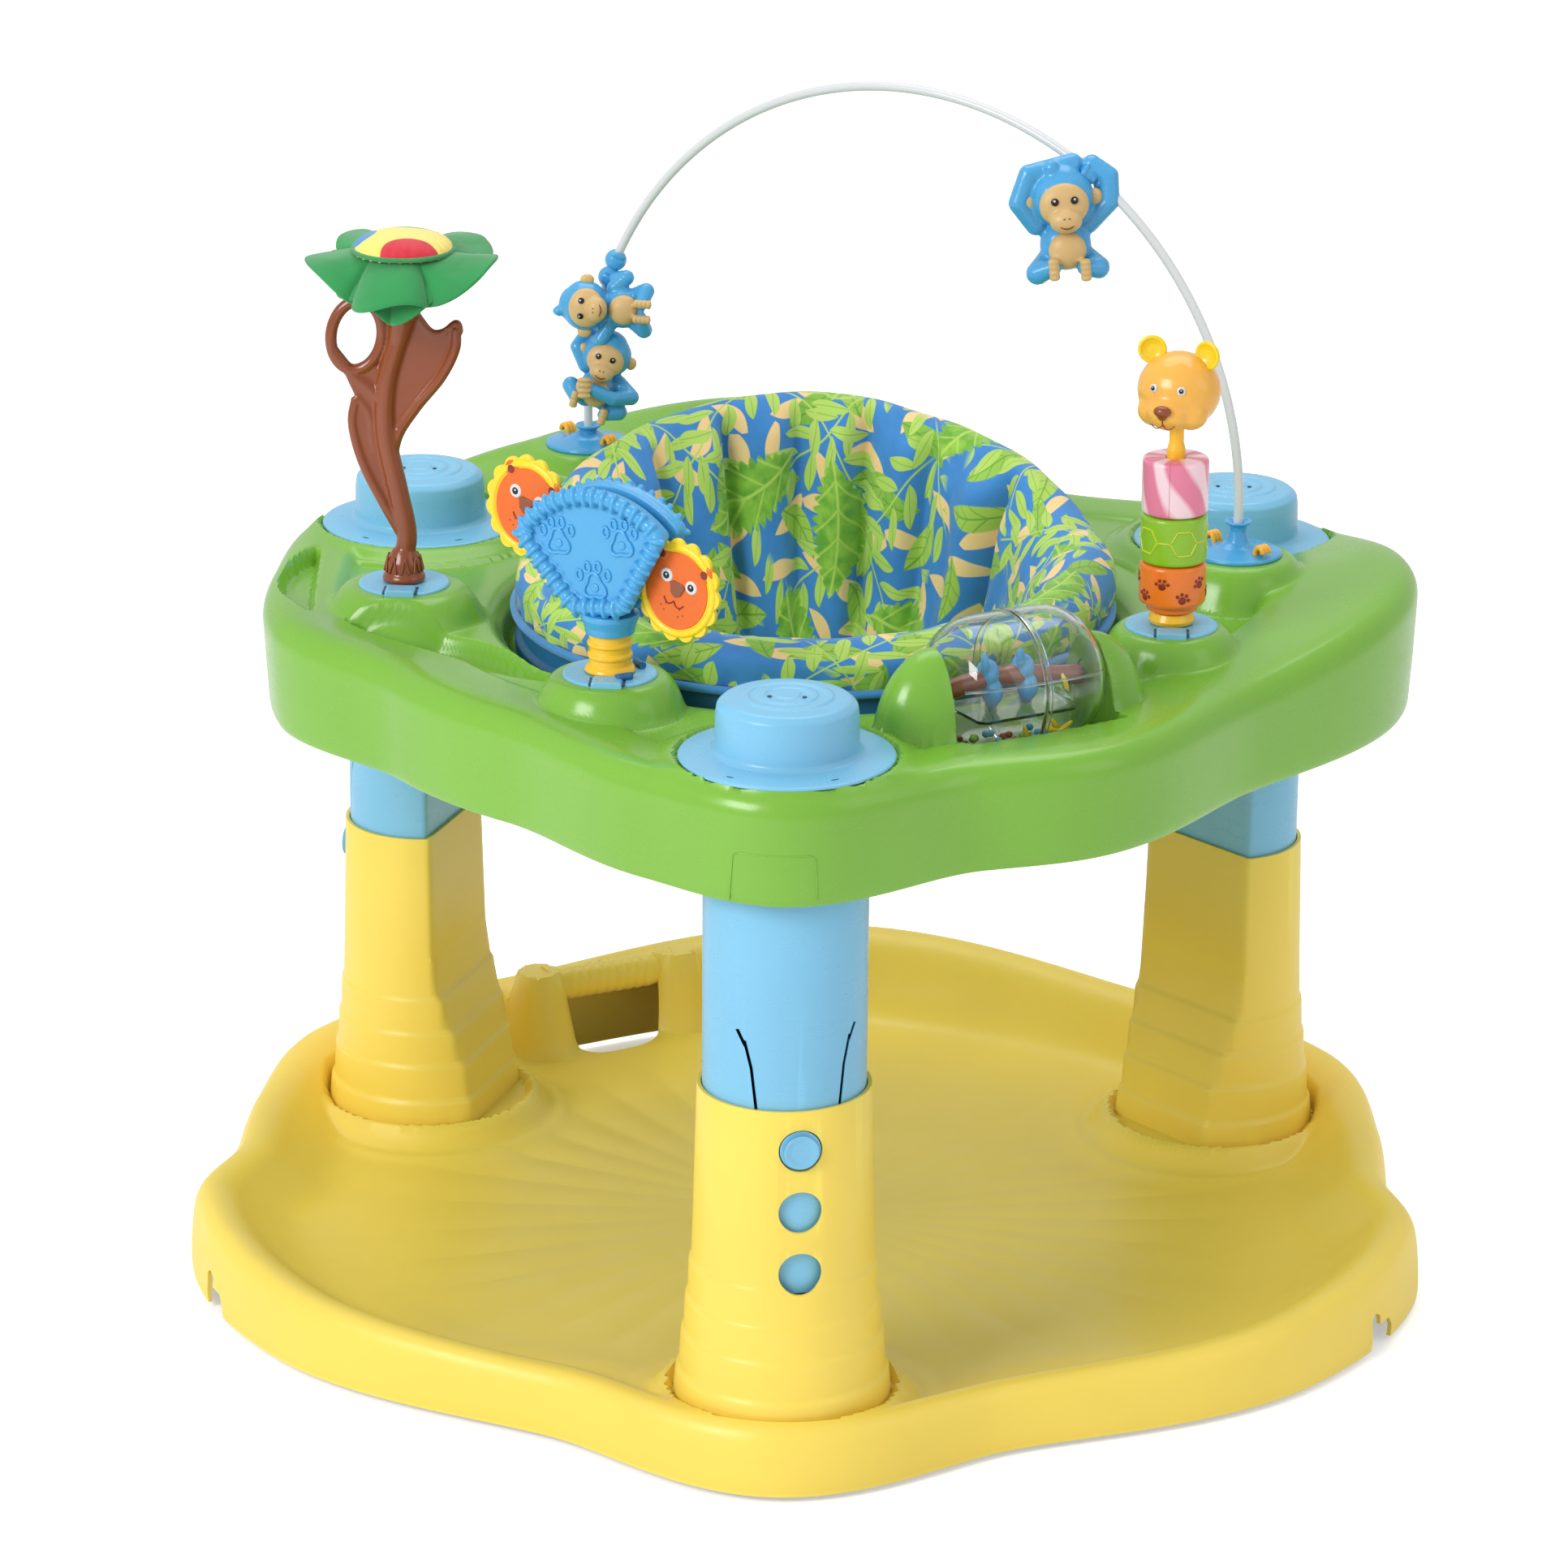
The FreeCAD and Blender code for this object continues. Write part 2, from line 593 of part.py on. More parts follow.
def build_tray():
    """Toy tray: lofted shell, cap seats and leg guides, toy mounds and the drum's supports."""
    wall, seat = size("shell_wall"), size("cap_seat")
    body = closed_ring(tray_section, 72)
    space, trough, humps = drum_supports()
    mounds = [toy_mound(FAN, 37, 31), toy_mound(BEAR, 40, 31), toy_mound(TREE, 52, 31),
              toy_mound(ARCH_RIGHT, 34, 30), toy_mound(ARCH_LEFT, 46, 30)]
    plates, clear = [], []
    for angle in LEG_ANGLES.values():
        place = polar(size("leg_circle"), angle)
        rim = size("cap_flange") + 3
        clear.append(Part.makeCylinder(rim - 0.7, 60, place + UP * (seat - 0.6 * wall)))
        clear.append(Part.makeCylinder(size("guide_bore") + 2.5, 60, place + UP * 380))
        plates.append(Part.makeCylinder(rim, wall, place + UP * (seat - wall)))
        skirt = Part.makeCylinder(rim, 14, place + UP * (seat - 14))
        plates.append(skirt.cut(Part.makeCylinder(rim - 2.5, 20, place + UP * (seat - 17))))
        plates.append(Part.makeCylinder(size("guide_bore") + 2.5, seat - 374, place + UP * 374))
    body = body.cut(Part.makeCompound(clear))
    body = fused([body] + plates)
    for outer, shell, hole in mounds:
        body = body.cut(outer)
    body = fused([body, trough] + [shell for outer, shell, hole in mounds])
    body = fused([body] + [hump for hump, inner in humps])
    bores = [Part.makeCylinder(size("guide_bore"), 55, polar(size("leg_circle"), angle, 372))
             for angle in LEG_ANGLES.values()]
    bores += [Part.makeCylinder(size("cap_radius") - 3, 60, polar(size("leg_circle"), angle, 380))
              for angle in LEG_ANGLES.values()]
    bores += [hole for outer, shell, hole in mounds]
    bores += [Part.makeCylinder(size("plug_radius") + 0.6, 14, place) for place in (ARCH_RIGHT, ARCH_LEFT)]
    well = Part.makeCylinder(size("seat_opening") - 0.6, 80, V(0, 0, size("ledge_height") + 0.4))
    middle, along = drum_axis()
    bores += [rod(size("spindle_radius") + 0.4, middle - along * 62, middle + along * 62), space, well]
    body = body.cut(Part.makeCompound(bores))
    solids = sorted(body.Solids, key=lambda solid: solid.Volume)
    keep_shape(solids[-1], "tray_shell")


def build_caps():
    """Spring housings on the tray: flange, dome with raised rings, hollow below."""
    for name, angle in LEG_ANGLES.items():
        turned("spring_cap_" + name, [
            ("cap_radius - 3", "0.1"), ("cap_flange", "0.1"), ("cap_flange", "2.2"),
            ("cap_radius + 5", "3"), ("cap_radius + 1", "6"), ("cap_radius - 1", "cap_height - 8"),
            ("cap_radius - 4", "cap_height - 2"), ("cap_radius - 9", "cap_height - 0.5"),
            ("26", "cap_height - 0.5"), ("25", "cap_height + 0.5"), ("16", "cap_height + 0.5"),
            ("15", "cap_height + 1.5"), ("0", "cap_height + 2"), ("0", "cap_height - 3"),
            ("cap_radius - 9", "cap_height - 3"), ("cap_radius - 4", "cap_height - 9"),
        ], FreeCAD.Placement(polar(size("leg_circle"), angle, size("cap_seat")), FreeCAD.Rotation()))


def plug(place, bore):
    """Toy plug: a disc on the mound with a hollow stem in the hole."""
    disc = Part.makeCylinder(size("plug_radius"), 3.2, place)
    stem = Part.makeCylinder(12, 16, place - UP * 15)
    return fused([disc, stem]).cut(Part.makeCylinder(bore, 40, place - UP * 20))


# ---------------------------------------------------------------- seat

def seat_section(angle):
    """Padded roll that stands on the ring, with the bucket's wall hanging inside it."""
    crest = eased(SEAT_CREST, angle, 1, 360)
    return [
        (181, 431.6), (183.5, 440), (181, (crest + 440) / 2), (173, crest - 6), (160, crest),
        (148, crest - 7), (138, crest - 28), (118, 395), (92, 335), (40, 306),
        (40, 300), (97, 329), (124, 393), (143, 431.6),
    ]


def build_seat():
    """Swivel ring, retainer below the ledge, its screws and the fabric bucket."""
    turned("seat_ring", [
        ("ring_inner", "ring_low"), ("ring_outer", "ring_low"), ("ring_outer", "ring_high"),
        ("ring_outer - 4", "ring_high"), ("ring_outer - 4", "ring_low + 4"),
        ("ring_inner + 4", "ring_low + 4"), ("ring_inner + 4", "ring_high"), ("ring_inner", "ring_high"),
    ])
    turned("seat_retainer", [
        ("ring_inner + 8", "ledge_height - 8"), ("seat_opening - 4", "ledge_height - 8"),
        ("seat_opening - 4", "ledge_height - 3.5"), ("ledge_inner - 3", "ledge_height - 3.5"),
        ("ledge_inner - 3", "ring_low - 0.02"), ("ring_inner + 8", "ring_low - 0.02"),
    ])
    screws, holes = [], []
    for index in range(6):
        spot = polar(166, 60 * index + 15, size("ledge_height") - 10.6)
        screws.append(Part.makeCylinder(4, 2.5, spot).fuse(Part.makeCylinder(1.7, 14.5, spot)))
    keep_shape(Part.makeCompound(screws), "retainer_screws")
    bucket = closed_ring(seat_section, 48)
    bottom = Part.makeCylinder(40.5, 6, V(0, 0, 300))
    leg_holes = [Part.makeCylinder(42, 140, V(side * 62, -30, 345), V(side * 0.25, -1, -0.35))
                 for side in (-1, 1)]
    body = bucket.fuse(bottom)
    lower = Part.makeBox(400, 400, 105, V(-200, -200, 295))
    body = body.cut(Part.makeCompound([hole.common(lower) for hole in leg_holes]))
    keep_shape(body, "seat_fabric")


def screw_holes_in_seat():
    """Holes for the retainer screws in the ring and in the retainer."""
    for label in ("seat_ring", "seat_retainer"):
        body = next(item for item in sub_parts if item.Label == label)
        sketch = new_sketch(body, label + "_holes", "XY_Plane")
        for index in range(6):
            spot = polar(166, 60 * index + 15)
            add_circle(sketch, "%.4f" % spot.x, "%.4f" % spot.y, "1.8")
        lift(sketch, "ledge_height + 20")
        cut(body, sketch, "40")


# ---------------------------------------------------------------- toys

def build_tree_toy():
    """Tree with a root cup, a bent stem, a loop, two leaves and a sewn flower on top."""
    base = TREE + UP * 3.4
    path = [(0, 20), (1, 34), (-4, 62), (-11, 102), (-8, 137), (4, 170)]
    points = [V(base.x + x, base.y, base.z + z - 3.4) for x, z in path]
    curve = Part.BSplineCurve()
    curve.interpolate(points)
    wire = Part.Wire(curve.toShape())
    tangent = points[1] - points[0]
    ring = Part.Wire(Part.Circle(points[0], tangent, 6.2).toShape())
    stem = wire.makePipeShell([ring], True, False)
    root = cone(12.5, 8, base, 24)
    cup = cone(6, 15, points[-1] - UP * 8, 14)
    handle = Part.makeTorus(17, 3.4, V(base.x - 25, base.y, 600), V(0, 1, 0))
    wing = prism([(8, 165), (20, 158), (33, 162), (28, 138), (10, 116), (-5, 100), (-8, 120)], -3.5, 3.5)
    leaf = prism([(-9, 60), (-20, 82), (-28, 108), (-26, 122), (-12, 110), (-10, 90)], -3.5, 3.5)
    web = prism([(-10, 132), (-22, 140), (-32, 140), (-26, 120), (-12, 100), (-6, 110)], -3, 3)
    plates = [wing, leaf, web]
    for plate in plates:
        plate.translate(V(base.x, base.y, TREE.z))
    keep_shape(fused([stem, root, cup, handle] + plates), "tree_stem")
    middle = V(base.x + 2, base.y, 0)
    petals = Part.makePolygon([V(x, 0, z) for x, z in (
        (0, 619.5), (24, 631), (54, 614), (58, 620), (46, 643), (28, 652), (0, 653), (0, 619.5))])
    flower = Part.Face(petals).revolve(V(), UP, 360)
    flower.translate(middle)
    keep_shape(flower, "flower_petals")
    pad = ellipsoid(middle + UP * 653.2, 31, 31, 13).common(
        Part.makeBox(80, 80, 30, middle + V(-40, -40, 653.2)))
    keep_shape(pad, "flower_pad")
    keep_shape(plug(TREE, 3), "tree_plug")


def fan_frame(tilt):
    """Frame of the fan board at its foot: X along the board, Y towards the seat."""
    turn = FreeCAD.Rotation(UP, FAN_TURN).multiply(FreeCAD.Rotation(V(0, 1, 0), tilt))
    return FreeCAD.Placement(V(FAN.x, FAN.y, size("fan_base")), turn)


def fan_outline():
    """Fan: short foot, flared sides and a bowed top edge, in the XZ plane."""
    half = size("fan_half_width")
    corners = [V(-20, 0, 0), V(-half, 0, 49), V(half, 0, 49), V(20, 0, 0)]
    side = Part.LineSegment(corners[0], corners[1]).toShape()
    bow = Part.Arc(corners[1], V(0, 0, 76), corners[2]).toShape()
    other = Part.LineSegment(corners[2], corners[3]).toShape()
    foot = Part.LineSegment(corners[3], corners[0]).toShape()
    return Part.Face(Part.Wire([side, bow, other, foot]))


def build_fan_toy():
    """Two fan shells with a swinging lion plate between them, on a ribbed neck."""
    gap, depth, pivot = size("fan_gap"), size("fan_depth"), V(0, 0, 38)
    axle_hole = Part.makeCylinder(size("axle_radius") + 0.05, 60, pivot - V(0, 30, 0), V(0, 1, 0))
    for name, start in (("front", -gap - depth), ("rear", gap)):
        face = fan_outline()
        face.translate(V(0, start, 0))
        shell = face.extrude(V(0, depth, 0)).cut(axle_hole)
        keep_shape(shell, "fan_shell_" + name, fan_frame(FAN_TILT))
    reach, lobe = size("lobe_reach"), size("lobe_radius")
    discs = [prism([(-reach, -16), (reach, -16), (reach, 16), (-reach, 16)], -2.8, 2.8)]
    for side in (-1, 1):
        centre = V(side * reach, -2.8, 0)
        discs.append(Part.makeCylinder(lobe, 5.6, centre, V(0, 1, 0)))
        for index in range(14):
            spot = polar(lobe - 3, index * 360 / 14)
            petal = centre + V(spot.x, 0, spot.y)
            discs.append(Part.makeCylinder(6, 5.6, petal, V(0, 1, 0)))
    plate = fused(discs)
    plate = plate.cut(Part.makeCylinder(size("axle_radius") + 0.06, 20, V(0, -10, 0), V(0, 1, 0)))
    frame = fan_frame(FAN_TILT)
    turn = FreeCAD.Rotation(UP, FAN_TURN).multiply(FreeCAD.Rotation(V(0, 1, 0), LION_TILT))
    keep_shape(plate, "lion_plate", FreeCAD.Placement(frame.multVec(pivot), turn))
    length = 2 * (gap + depth) - 3
    axle = Part.makeCylinder(size("axle_radius"), length, pivot - V(0, length / 2, 0), V(0, 1, 0))
    keep_shape(axle, "fan_axle", frame)
    foot = size("fan_base") - 1.2
    place = FreeCAD.Placement(V(FAN.x, FAN.y, 0), FreeCAD.Rotation())
    turned("fan_collar", [("0", str(foot - 11)), ("13", str(foot - 11)), ("14", str(foot - 7)),
                          ("17.5", str(foot - 3)), ("17.5", str(foot - 1.8)), ("0", str(foot - 1.8))], place)
    turned("fan_neck", [("0", "448.4"), ("15", "448.4"), ("15", "451"), ("12.5", "455"), ("13.5", "459"),
                        ("12", "462"), ("13", "467"), ("12", "471.5"), ("0", "471.5")], place)
    keep_shape(plug(FAN, 3), "fan_plug")


def build_bear_stack():
    """Three turning rings and a bear head on a post."""
    place = FreeCAD.Placement(V(BEAR.x, BEAR.y, 0), FreeCAD.Rotation())
    rings = {"orange_ring": (456.5, 487, 15), "green_ring": (487.5, 517, 20), "pink_ring": (517.5, 551.5, 20)}
    for label, (low, high, foot) in rings.items():
        skirt = low + 3
        turned(label, [("stack_bore", str(low)), (str(foot), str(low)), ("stack_ring", str(skirt)),
                       ("stack_ring", str(high - 1.5)), ("stack_ring - 1.5", str(high)),
                       ("stack_bore", str(high))], place)
    turned("bear_post", [("0", "448.4"), ("13", "448.4"), ("14", "451"), ("12", "456"), ("post_radius", "456"),
                         ("post_radius", "578"), ("0", "578")], place)
    middle = V(BEAR.x, BEAR.y, 590)
    turn = FreeCAD.Rotation(UP, -28)
    ears = [ellipsoid(middle + turn.multVec(V(side * 16, 3, 23)), 8, 3.5, 8, turn) for side in (-1, 1)]
    muzzle = ellipsoid(middle + turn.multVec(V(0, -18, -7)), 12, 11, 9, turn)
    head = fused([ellipsoid(middle, 25.5, 23, 24, turn), muzzle] + ears)
    head = head.cut(Part.makeCylinder(size("stack_bore"), 40, V(BEAR.x, BEAR.y, 539)))
    keep_shape(head, "bear_head")
    keep_shape(plug(BEAR, 3), "bear_plug")


def build_drum():
    """Clear rattle drum in two halves, with a branch, a shelf and loose beads inside."""
    middle, along = drum_axis()
    frame = FreeCAD.Placement(middle, FreeCAD.Rotation(V(0, 0, 1), along))
    radius, half, wall = size("drum_radius"), size("drum_half"), size("drum_wall")
    for name, side in (("left", -1), ("right", 1)):
        outer = [(0, 0.05), (radius, 0.05), (radius, half - 26), (radius - 4, half - 13), (radius - 14, half - 3),
                 (radius - 24, half), (0, half)]
        inner = [(0, 0), (radius - wall, 0), (radius - wall, half - 27), (radius - wall - 4, half - 14.5),
                 (radius - wall - 14, half - 5), (radius - wall - 24, half - wall), (0, half - wall)]
        solids = []
        for outline in (outer, inner):
            points = [V(x, 0, z) for x, z in outline]
            solids.append(Part.Face(Part.makePolygon(points + points[:1])).revolve(V(), UP, 360))
        shell = solids[0].cut(solids[1]).fuse(
            Part.makeCylinder(size("spindle_radius"), 9, V(0, 0, half - 1)))
        if side < 0:
            shell.rotate(V(), V(1, 0, 0), 180)
        keep_shape(shell, "drum_half_" + name, frame)
    branch = Part.makeCylinder(5, 2 * half - 2 * wall - 1, V(0, 0, -half + wall + 0.5))
    figures = [ellipsoid(V(0, 0, offset), 13, 12, 6) for offset in (-14, 12)]
    keep_shape(fused([branch] + figures), "drum_branch", frame)
    shelf = Part.makeBox(2, 52, 70, V(15, -26, -35))
    keep_shape(shelf, "drum_shelf", frame)
    beads = []
    for index in range(7):
        spot = middle + along * (-21 + 7 * index) - UP * (radius - wall - 3.2)
        beads.append(Part.makeSphere(2.6, spot))
    keep_shape(Part.makeCompound(beads), "drum_beads")


# ---------------------------------------------------------------- arch and monkeys

def arch_frame():
    """Frame of the arch plane: origin at the arc's centre, X to the right foot, Z up."""
    middle = (ARCH_RIGHT + ARCH_LEFT) * 0.5
    middle.z = size("arch_height")
    right = V(ARCH_RIGHT.x - ARCH_LEFT.x, ARCH_RIGHT.y - ARCH_LEFT.y, 0)
    return FreeCAD.Placement(middle, FreeCAD.Rotation(V(1, 0, 0), right))


def build_arch():
    """White rod bent to a half circle, its trumpet sockets and the release clips."""
    radius, low = size("arch_radius"), 454 - size("arch_height")
    arc = Part.Arc(V(radius, 0, 0), V(0, 0, radius), V(-radius, 0, 0)).toShape()
    legs = [Part.LineSegment(V(radius, 0, low), V(radius, 0, 0)).toShape(),
            Part.LineSegment(V(-radius, 0, 0), V(-radius, 0, low)).toShape()]
    path = Part.Wire([legs[0], arc, legs[1]])
    ring = Part.Wire(Part.Circle(V(radius, 0, low), UP, size("rod_radius")).toShape())
    keep_shape(path.makePipeShell([ring], True, False), "arch_rod", arch_frame())
    clips = []
    for name, station, rise in (("right", ARCH_RIGHT, 21), ("left", ARCH_LEFT, 13)):
        trumpet = cone(11, 4.5, station + UP * 3, rise - 6)
        mouth = cone(4.5, 8, station + UP * (rise - 3), 3)
        socket = fused([plug(station, 2.6), trumpet, mouth])
        socket = socket.cut(Part.makeCylinder(2.6, 60, station - UP * 20))
        for side in (-1, 1):
            notch = Part.makeBox(6.4, 8.4, 8, V(17.8, -4.2, -1))
            notch.rotate(V(), UP, 45 + 90 * side)
            notch.translate(station)
            socket = socket.cut(notch)
            clip = Part.makeBox(6, 8, 7, V(18, -4, 0.1)).fuse(Part.makeCylinder(3, 8, V(21, -4, 7), V(0, 1, 0)))
            clip.rotate(V(), UP, 45 + 90 * side)
            clip.translate(station)
            clips.append(clip)
        keep_shape(socket, "arch_socket_" + name)
    keep_shape(Part.makeCompound(clips), "arch_clips")


def build_monkey(name, station):
    """Monkey that slides on the arch: blue body and arms, tan face, belly and feet."""
    radius = size("arch_radius")
    turn = math.radians(station)
    spot = V(radius * math.cos(turn), 0, radius * math.sin(turn))
    inward = 17 if name == "right" else 10
    grow = 1.35 if name == "right" else 1.08
    centre = spot * ((radius - inward) / radius)
    lean = {"right": 0, "upper": 80, "lower": 20}[name]
    frame = FreeCAD.Rotation(V(0, 1, 0), lean)

    def local(x, y, z):
        return centre + frame.multVec(V(x, y, z) * grow)

    bore = Part.makeTorus(radius, size("rod_bore"), V(), V(0, 1, 0))
    face = Part.makeSphere(10.5 * grow, local(0, -15, 11))
    belly = Part.makeSphere(8.5 * grow, local(0, -13.5, -12))
    feet = [Part.makeSphere(5 * grow, local(side * 10.5, -16, -21)) for side in (-1, 1)]
    tan = Part.makeCompound([face, belly] + feet)
    blue = [Part.makeSphere(15.5 * grow, local(0, -5, 10)), Part.makeSphere(15 * grow, local(0, -4.5, -11))]
    for side in (-1, 1):
        shoulder, hand = local(side * 14.5, -4, 3), local(side * 16.5, -5, -12)
        blue.append(rod(6 * grow, shoulder, hand))
        blue += [Part.makeSphere(6 * grow, shoulder), Part.makeSphere(6 * grow, hand)]
    blue.append(Part.makeSphere(9, spot))
    body = fused(blue).cut(bore).cut(tan)
    body = sorted(body.Solids, key=lambda solid: solid.Volume)[-1]
    keep_shape(body, "monkey_" + name, arch_frame())
    keep_shape(tan, "monkey_%s_face" % name, arch_frame())


# ---------------------------------------------------------------- build, check, write

build_base()
build_stabilisers()
for leg_name, leg_angle in LEG_ANGLES.items():
    build_sleeve(leg_name, leg_angle)
    build_tube(leg_name, leg_angle)
    build_button(leg_name, leg_angle)
build_leg_inside()
build_tray()
build_caps()
build_seat()
screw_holes_in_seat()
build_tree_toy()
build_fan_toy()
build_bear_stack()
build_drum()
build_arch()
for monkey_name, monkey_station in MONKEY_STATIONS.items():
    build_monkey(monkey_name, monkey_station)

doc.recompute()
for item in doc.Objects:
    if "Invalid" in item.State or "Error" in item.State:
        raise RuntimeError("%s is %s" % (item.Label, item.State))
os.makedirs("parts", exist_ok=True)
for item in sub_parts:
    if item.Shape.isNull() or not item.Shape.isValid():
        raise RuntimeError("%s has no valid shape" % item.Label)
    item.Shape.exportStep("parts/%s.step" % item.Label)
    print("%-24s %d solids  %.0f mm3" % (item.Label, len(item.Shape.Solids), item.Shape.Volume))
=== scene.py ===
import json
import math

import bmesh
import bpy
import numpy as np
from mathutils import Matrix, Quaternion, Vector

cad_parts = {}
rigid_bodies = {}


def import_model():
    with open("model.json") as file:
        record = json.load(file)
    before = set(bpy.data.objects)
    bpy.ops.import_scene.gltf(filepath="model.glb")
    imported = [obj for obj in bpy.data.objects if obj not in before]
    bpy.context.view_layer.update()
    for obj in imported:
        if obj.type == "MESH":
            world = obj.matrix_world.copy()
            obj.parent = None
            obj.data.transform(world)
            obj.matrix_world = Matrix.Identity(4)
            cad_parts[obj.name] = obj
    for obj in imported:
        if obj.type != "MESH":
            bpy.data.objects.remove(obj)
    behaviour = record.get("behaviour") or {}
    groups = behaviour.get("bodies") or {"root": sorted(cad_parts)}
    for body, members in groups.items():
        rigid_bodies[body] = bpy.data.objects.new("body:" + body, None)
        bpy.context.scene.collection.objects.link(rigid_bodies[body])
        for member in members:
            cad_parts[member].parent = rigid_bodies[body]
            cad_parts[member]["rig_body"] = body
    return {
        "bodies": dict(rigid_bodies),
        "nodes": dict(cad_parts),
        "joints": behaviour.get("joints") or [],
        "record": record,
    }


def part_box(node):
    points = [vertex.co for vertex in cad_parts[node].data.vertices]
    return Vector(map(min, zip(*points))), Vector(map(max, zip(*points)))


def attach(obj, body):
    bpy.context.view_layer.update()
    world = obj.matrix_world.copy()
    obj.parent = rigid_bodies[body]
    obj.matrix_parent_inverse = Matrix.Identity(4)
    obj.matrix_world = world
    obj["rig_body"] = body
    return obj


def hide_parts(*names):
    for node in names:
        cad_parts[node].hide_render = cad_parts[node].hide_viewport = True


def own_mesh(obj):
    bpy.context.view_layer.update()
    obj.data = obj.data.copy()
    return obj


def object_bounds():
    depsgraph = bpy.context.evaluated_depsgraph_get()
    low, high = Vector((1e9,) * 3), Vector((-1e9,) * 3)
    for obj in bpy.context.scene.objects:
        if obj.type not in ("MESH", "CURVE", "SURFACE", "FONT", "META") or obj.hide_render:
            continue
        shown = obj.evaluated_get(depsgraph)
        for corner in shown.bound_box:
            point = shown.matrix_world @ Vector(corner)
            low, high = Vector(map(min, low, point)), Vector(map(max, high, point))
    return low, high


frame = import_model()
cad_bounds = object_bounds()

# An activity jumper: yellow saucer base, three blue telescopic legs, green toy tray, swivel seat and toys.
# Metres, +Z up, front leg towards -Y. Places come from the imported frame's boxes.

MM = 0.001
TAU = 2 * math.pi
LEGS = ("front", "right", "left")
scene = bpy.context.scene


# ---------------------------------------------------------------- frame places

def centre(node):
    """Middle of a CAD node's box."""
    low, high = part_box(node)
    return (low + high) / 2


def on_axis(node, height):
    """Point above a node's middle at a given height."""
    middle = centre(node)
    return Vector((middle.x, middle.y, height))


CAPS = {name: centre("spring_cap_" + name) for name in LEGS}
LEG_CIRCLE = math.hypot(CAPS["front"].x, CAPS["front"].y)
LEG_TWIST = math.radians(14)
CAP_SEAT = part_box("spring_cap_front")[0].z
CAP_FLANGE = (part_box("spring_cap_front")[1].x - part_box("spring_cap_front")[0].x) / 2
TUBE_RADIUS = 48 * MM
DECK = 424 * MM
SEAT_OPENING = 190 * MM
PLUGS = {name: on_axis(name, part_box(name)[1].z - 3.2 * MM)
         for name in ("tree_plug", "fan_plug", "bear_plug")}
ARCH_RISE = {"arch_socket_right": 21 * MM, "arch_socket_left": 13 * MM}
ARCH_FEET = {name: on_axis(name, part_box(name)[1].z - rise) for name, rise in ARCH_RISE.items()}


# ---------------------------------------------------------------- number helpers

def smooth(low, high, value):
    """0 below low, 1 above high, eased between."""
    share = np.clip((value - low) / (high - low), 0.0, 1.0)
    return share * share * (3 - 2 * share)


def soft_max(a, b, blend):
    """Larger of two fields with a rounded crease."""
    gap = np.clip(0.5 + 0.5 * (a - b) / blend, 0.0, 1.0)
    return b + (a - b) * gap + blend * gap * (1 - gap)


def soft_min(a, b, blend):
    return -soft_max(-a, -b, blend)


def stations(table, column, angle, period=360.0):
    """Smooth value round a closed table of (angle, ...) rows that never overshoots them; angle in degrees."""
    places = np.array([row[0] for row in table], float)
    values = np.array([row[column] for row in table], float)
    gaps = np.diff(np.append(places, places[0] + period))
    rises = (np.roll(values, -1) - values) / gaps
    before = np.roll(rises, 1)
    slopes = np.where(rises * before > 0, 2 * rises * before / np.where(rises + before == 0, 1, rises + before), 0)
    angle = np.mod(np.asarray(angle, float) - places[0], period)
    index = np.clip(np.searchsorted(places - places[0], angle, side="right") - 1, 0, len(table) - 1)
    gap = gaps[index]
    share = (angle - (places - places[0])[index]) / gap
    ahead = (index + 1) % len(table)
    return ((2 * share ** 3 - 3 * share ** 2 + 1) * values[index] + (share ** 3 - 2 * share ** 2 + share) * gap * slopes[index]
            + (3 * share ** 2 - 2 * share ** 3) * values[ahead] + (share ** 3 - share ** 2) * gap * slopes[ahead])


def rounded(points, radius, steps=5):
    """Polyline with its inner corners rounded by short curves; points are (a, b) pairs."""
    points = [np.array(point, float) for point in points]
    result = [points[0]]
    for before, corner, after in zip(points, points[1:], points[2:]):
        reach_in = min(radius, np.linalg.norm(corner - before) * 0.49)
        reach_out = min(radius, np.linalg.norm(after - corner) * 0.49)
        start = corner + (before - corner) / np.linalg.norm(before - corner) * reach_in
        end = corner + (after - corner) / np.linalg.norm(after - corner) * reach_out
        for step in range(steps + 1):
            share = step / steps
            result.append((1 - share) ** 2 * start + 2 * share * (1 - share) * corner + share ** 2 * end)
    result.append(points[-1])
    return np.array(result)


# ---------------------------------------------------------------- mesh helpers

def new_object(name, vertices, faces, smooth_faces=True):
    mesh = bpy.data.meshes.new(name)
    mesh.from_pydata([tuple(v) for v in np.asarray(vertices, float)], [], faces)
    mesh.validate()
    mesh.update()
    piece = bpy.data.objects.new(name, mesh)
    scene.collection.objects.link(piece)
    if smooth_faces:
        mesh.polygons.foreach_set("use_smooth", [True] * len(mesh.polygons))
    return piece


def sheet(name, points, wrap_u=False, wrap_v=False, flip=False, uv=None):
    """Quad sheet from an array of points[u][v]."""
    points = np.asarray(points, float)
    count_u, count_v = points.shape[:2]
    index = np.arange(count_u * count_v).reshape(count_u, count_v)
    if wrap_u:
        index = np.concatenate([index, index[:1]], axis=0)
    if wrap_v:
        index = np.concatenate([index, index[:, :1]], axis=1)
    a, b = index[:-1, :-1], index[1:, :-1]
    c, d = index[1:, 1:], index[:-1, 1:]
    quads = np.stack([a, b, c, d] if not flip else [a, d, c, b], axis=-1).reshape(-1, 4)
    piece = new_object(name, points.reshape(-1, 3), quads.tolist())
    if uv is not None:
        set_uv(piece, uv, count_u, count_v, flip)
    return piece


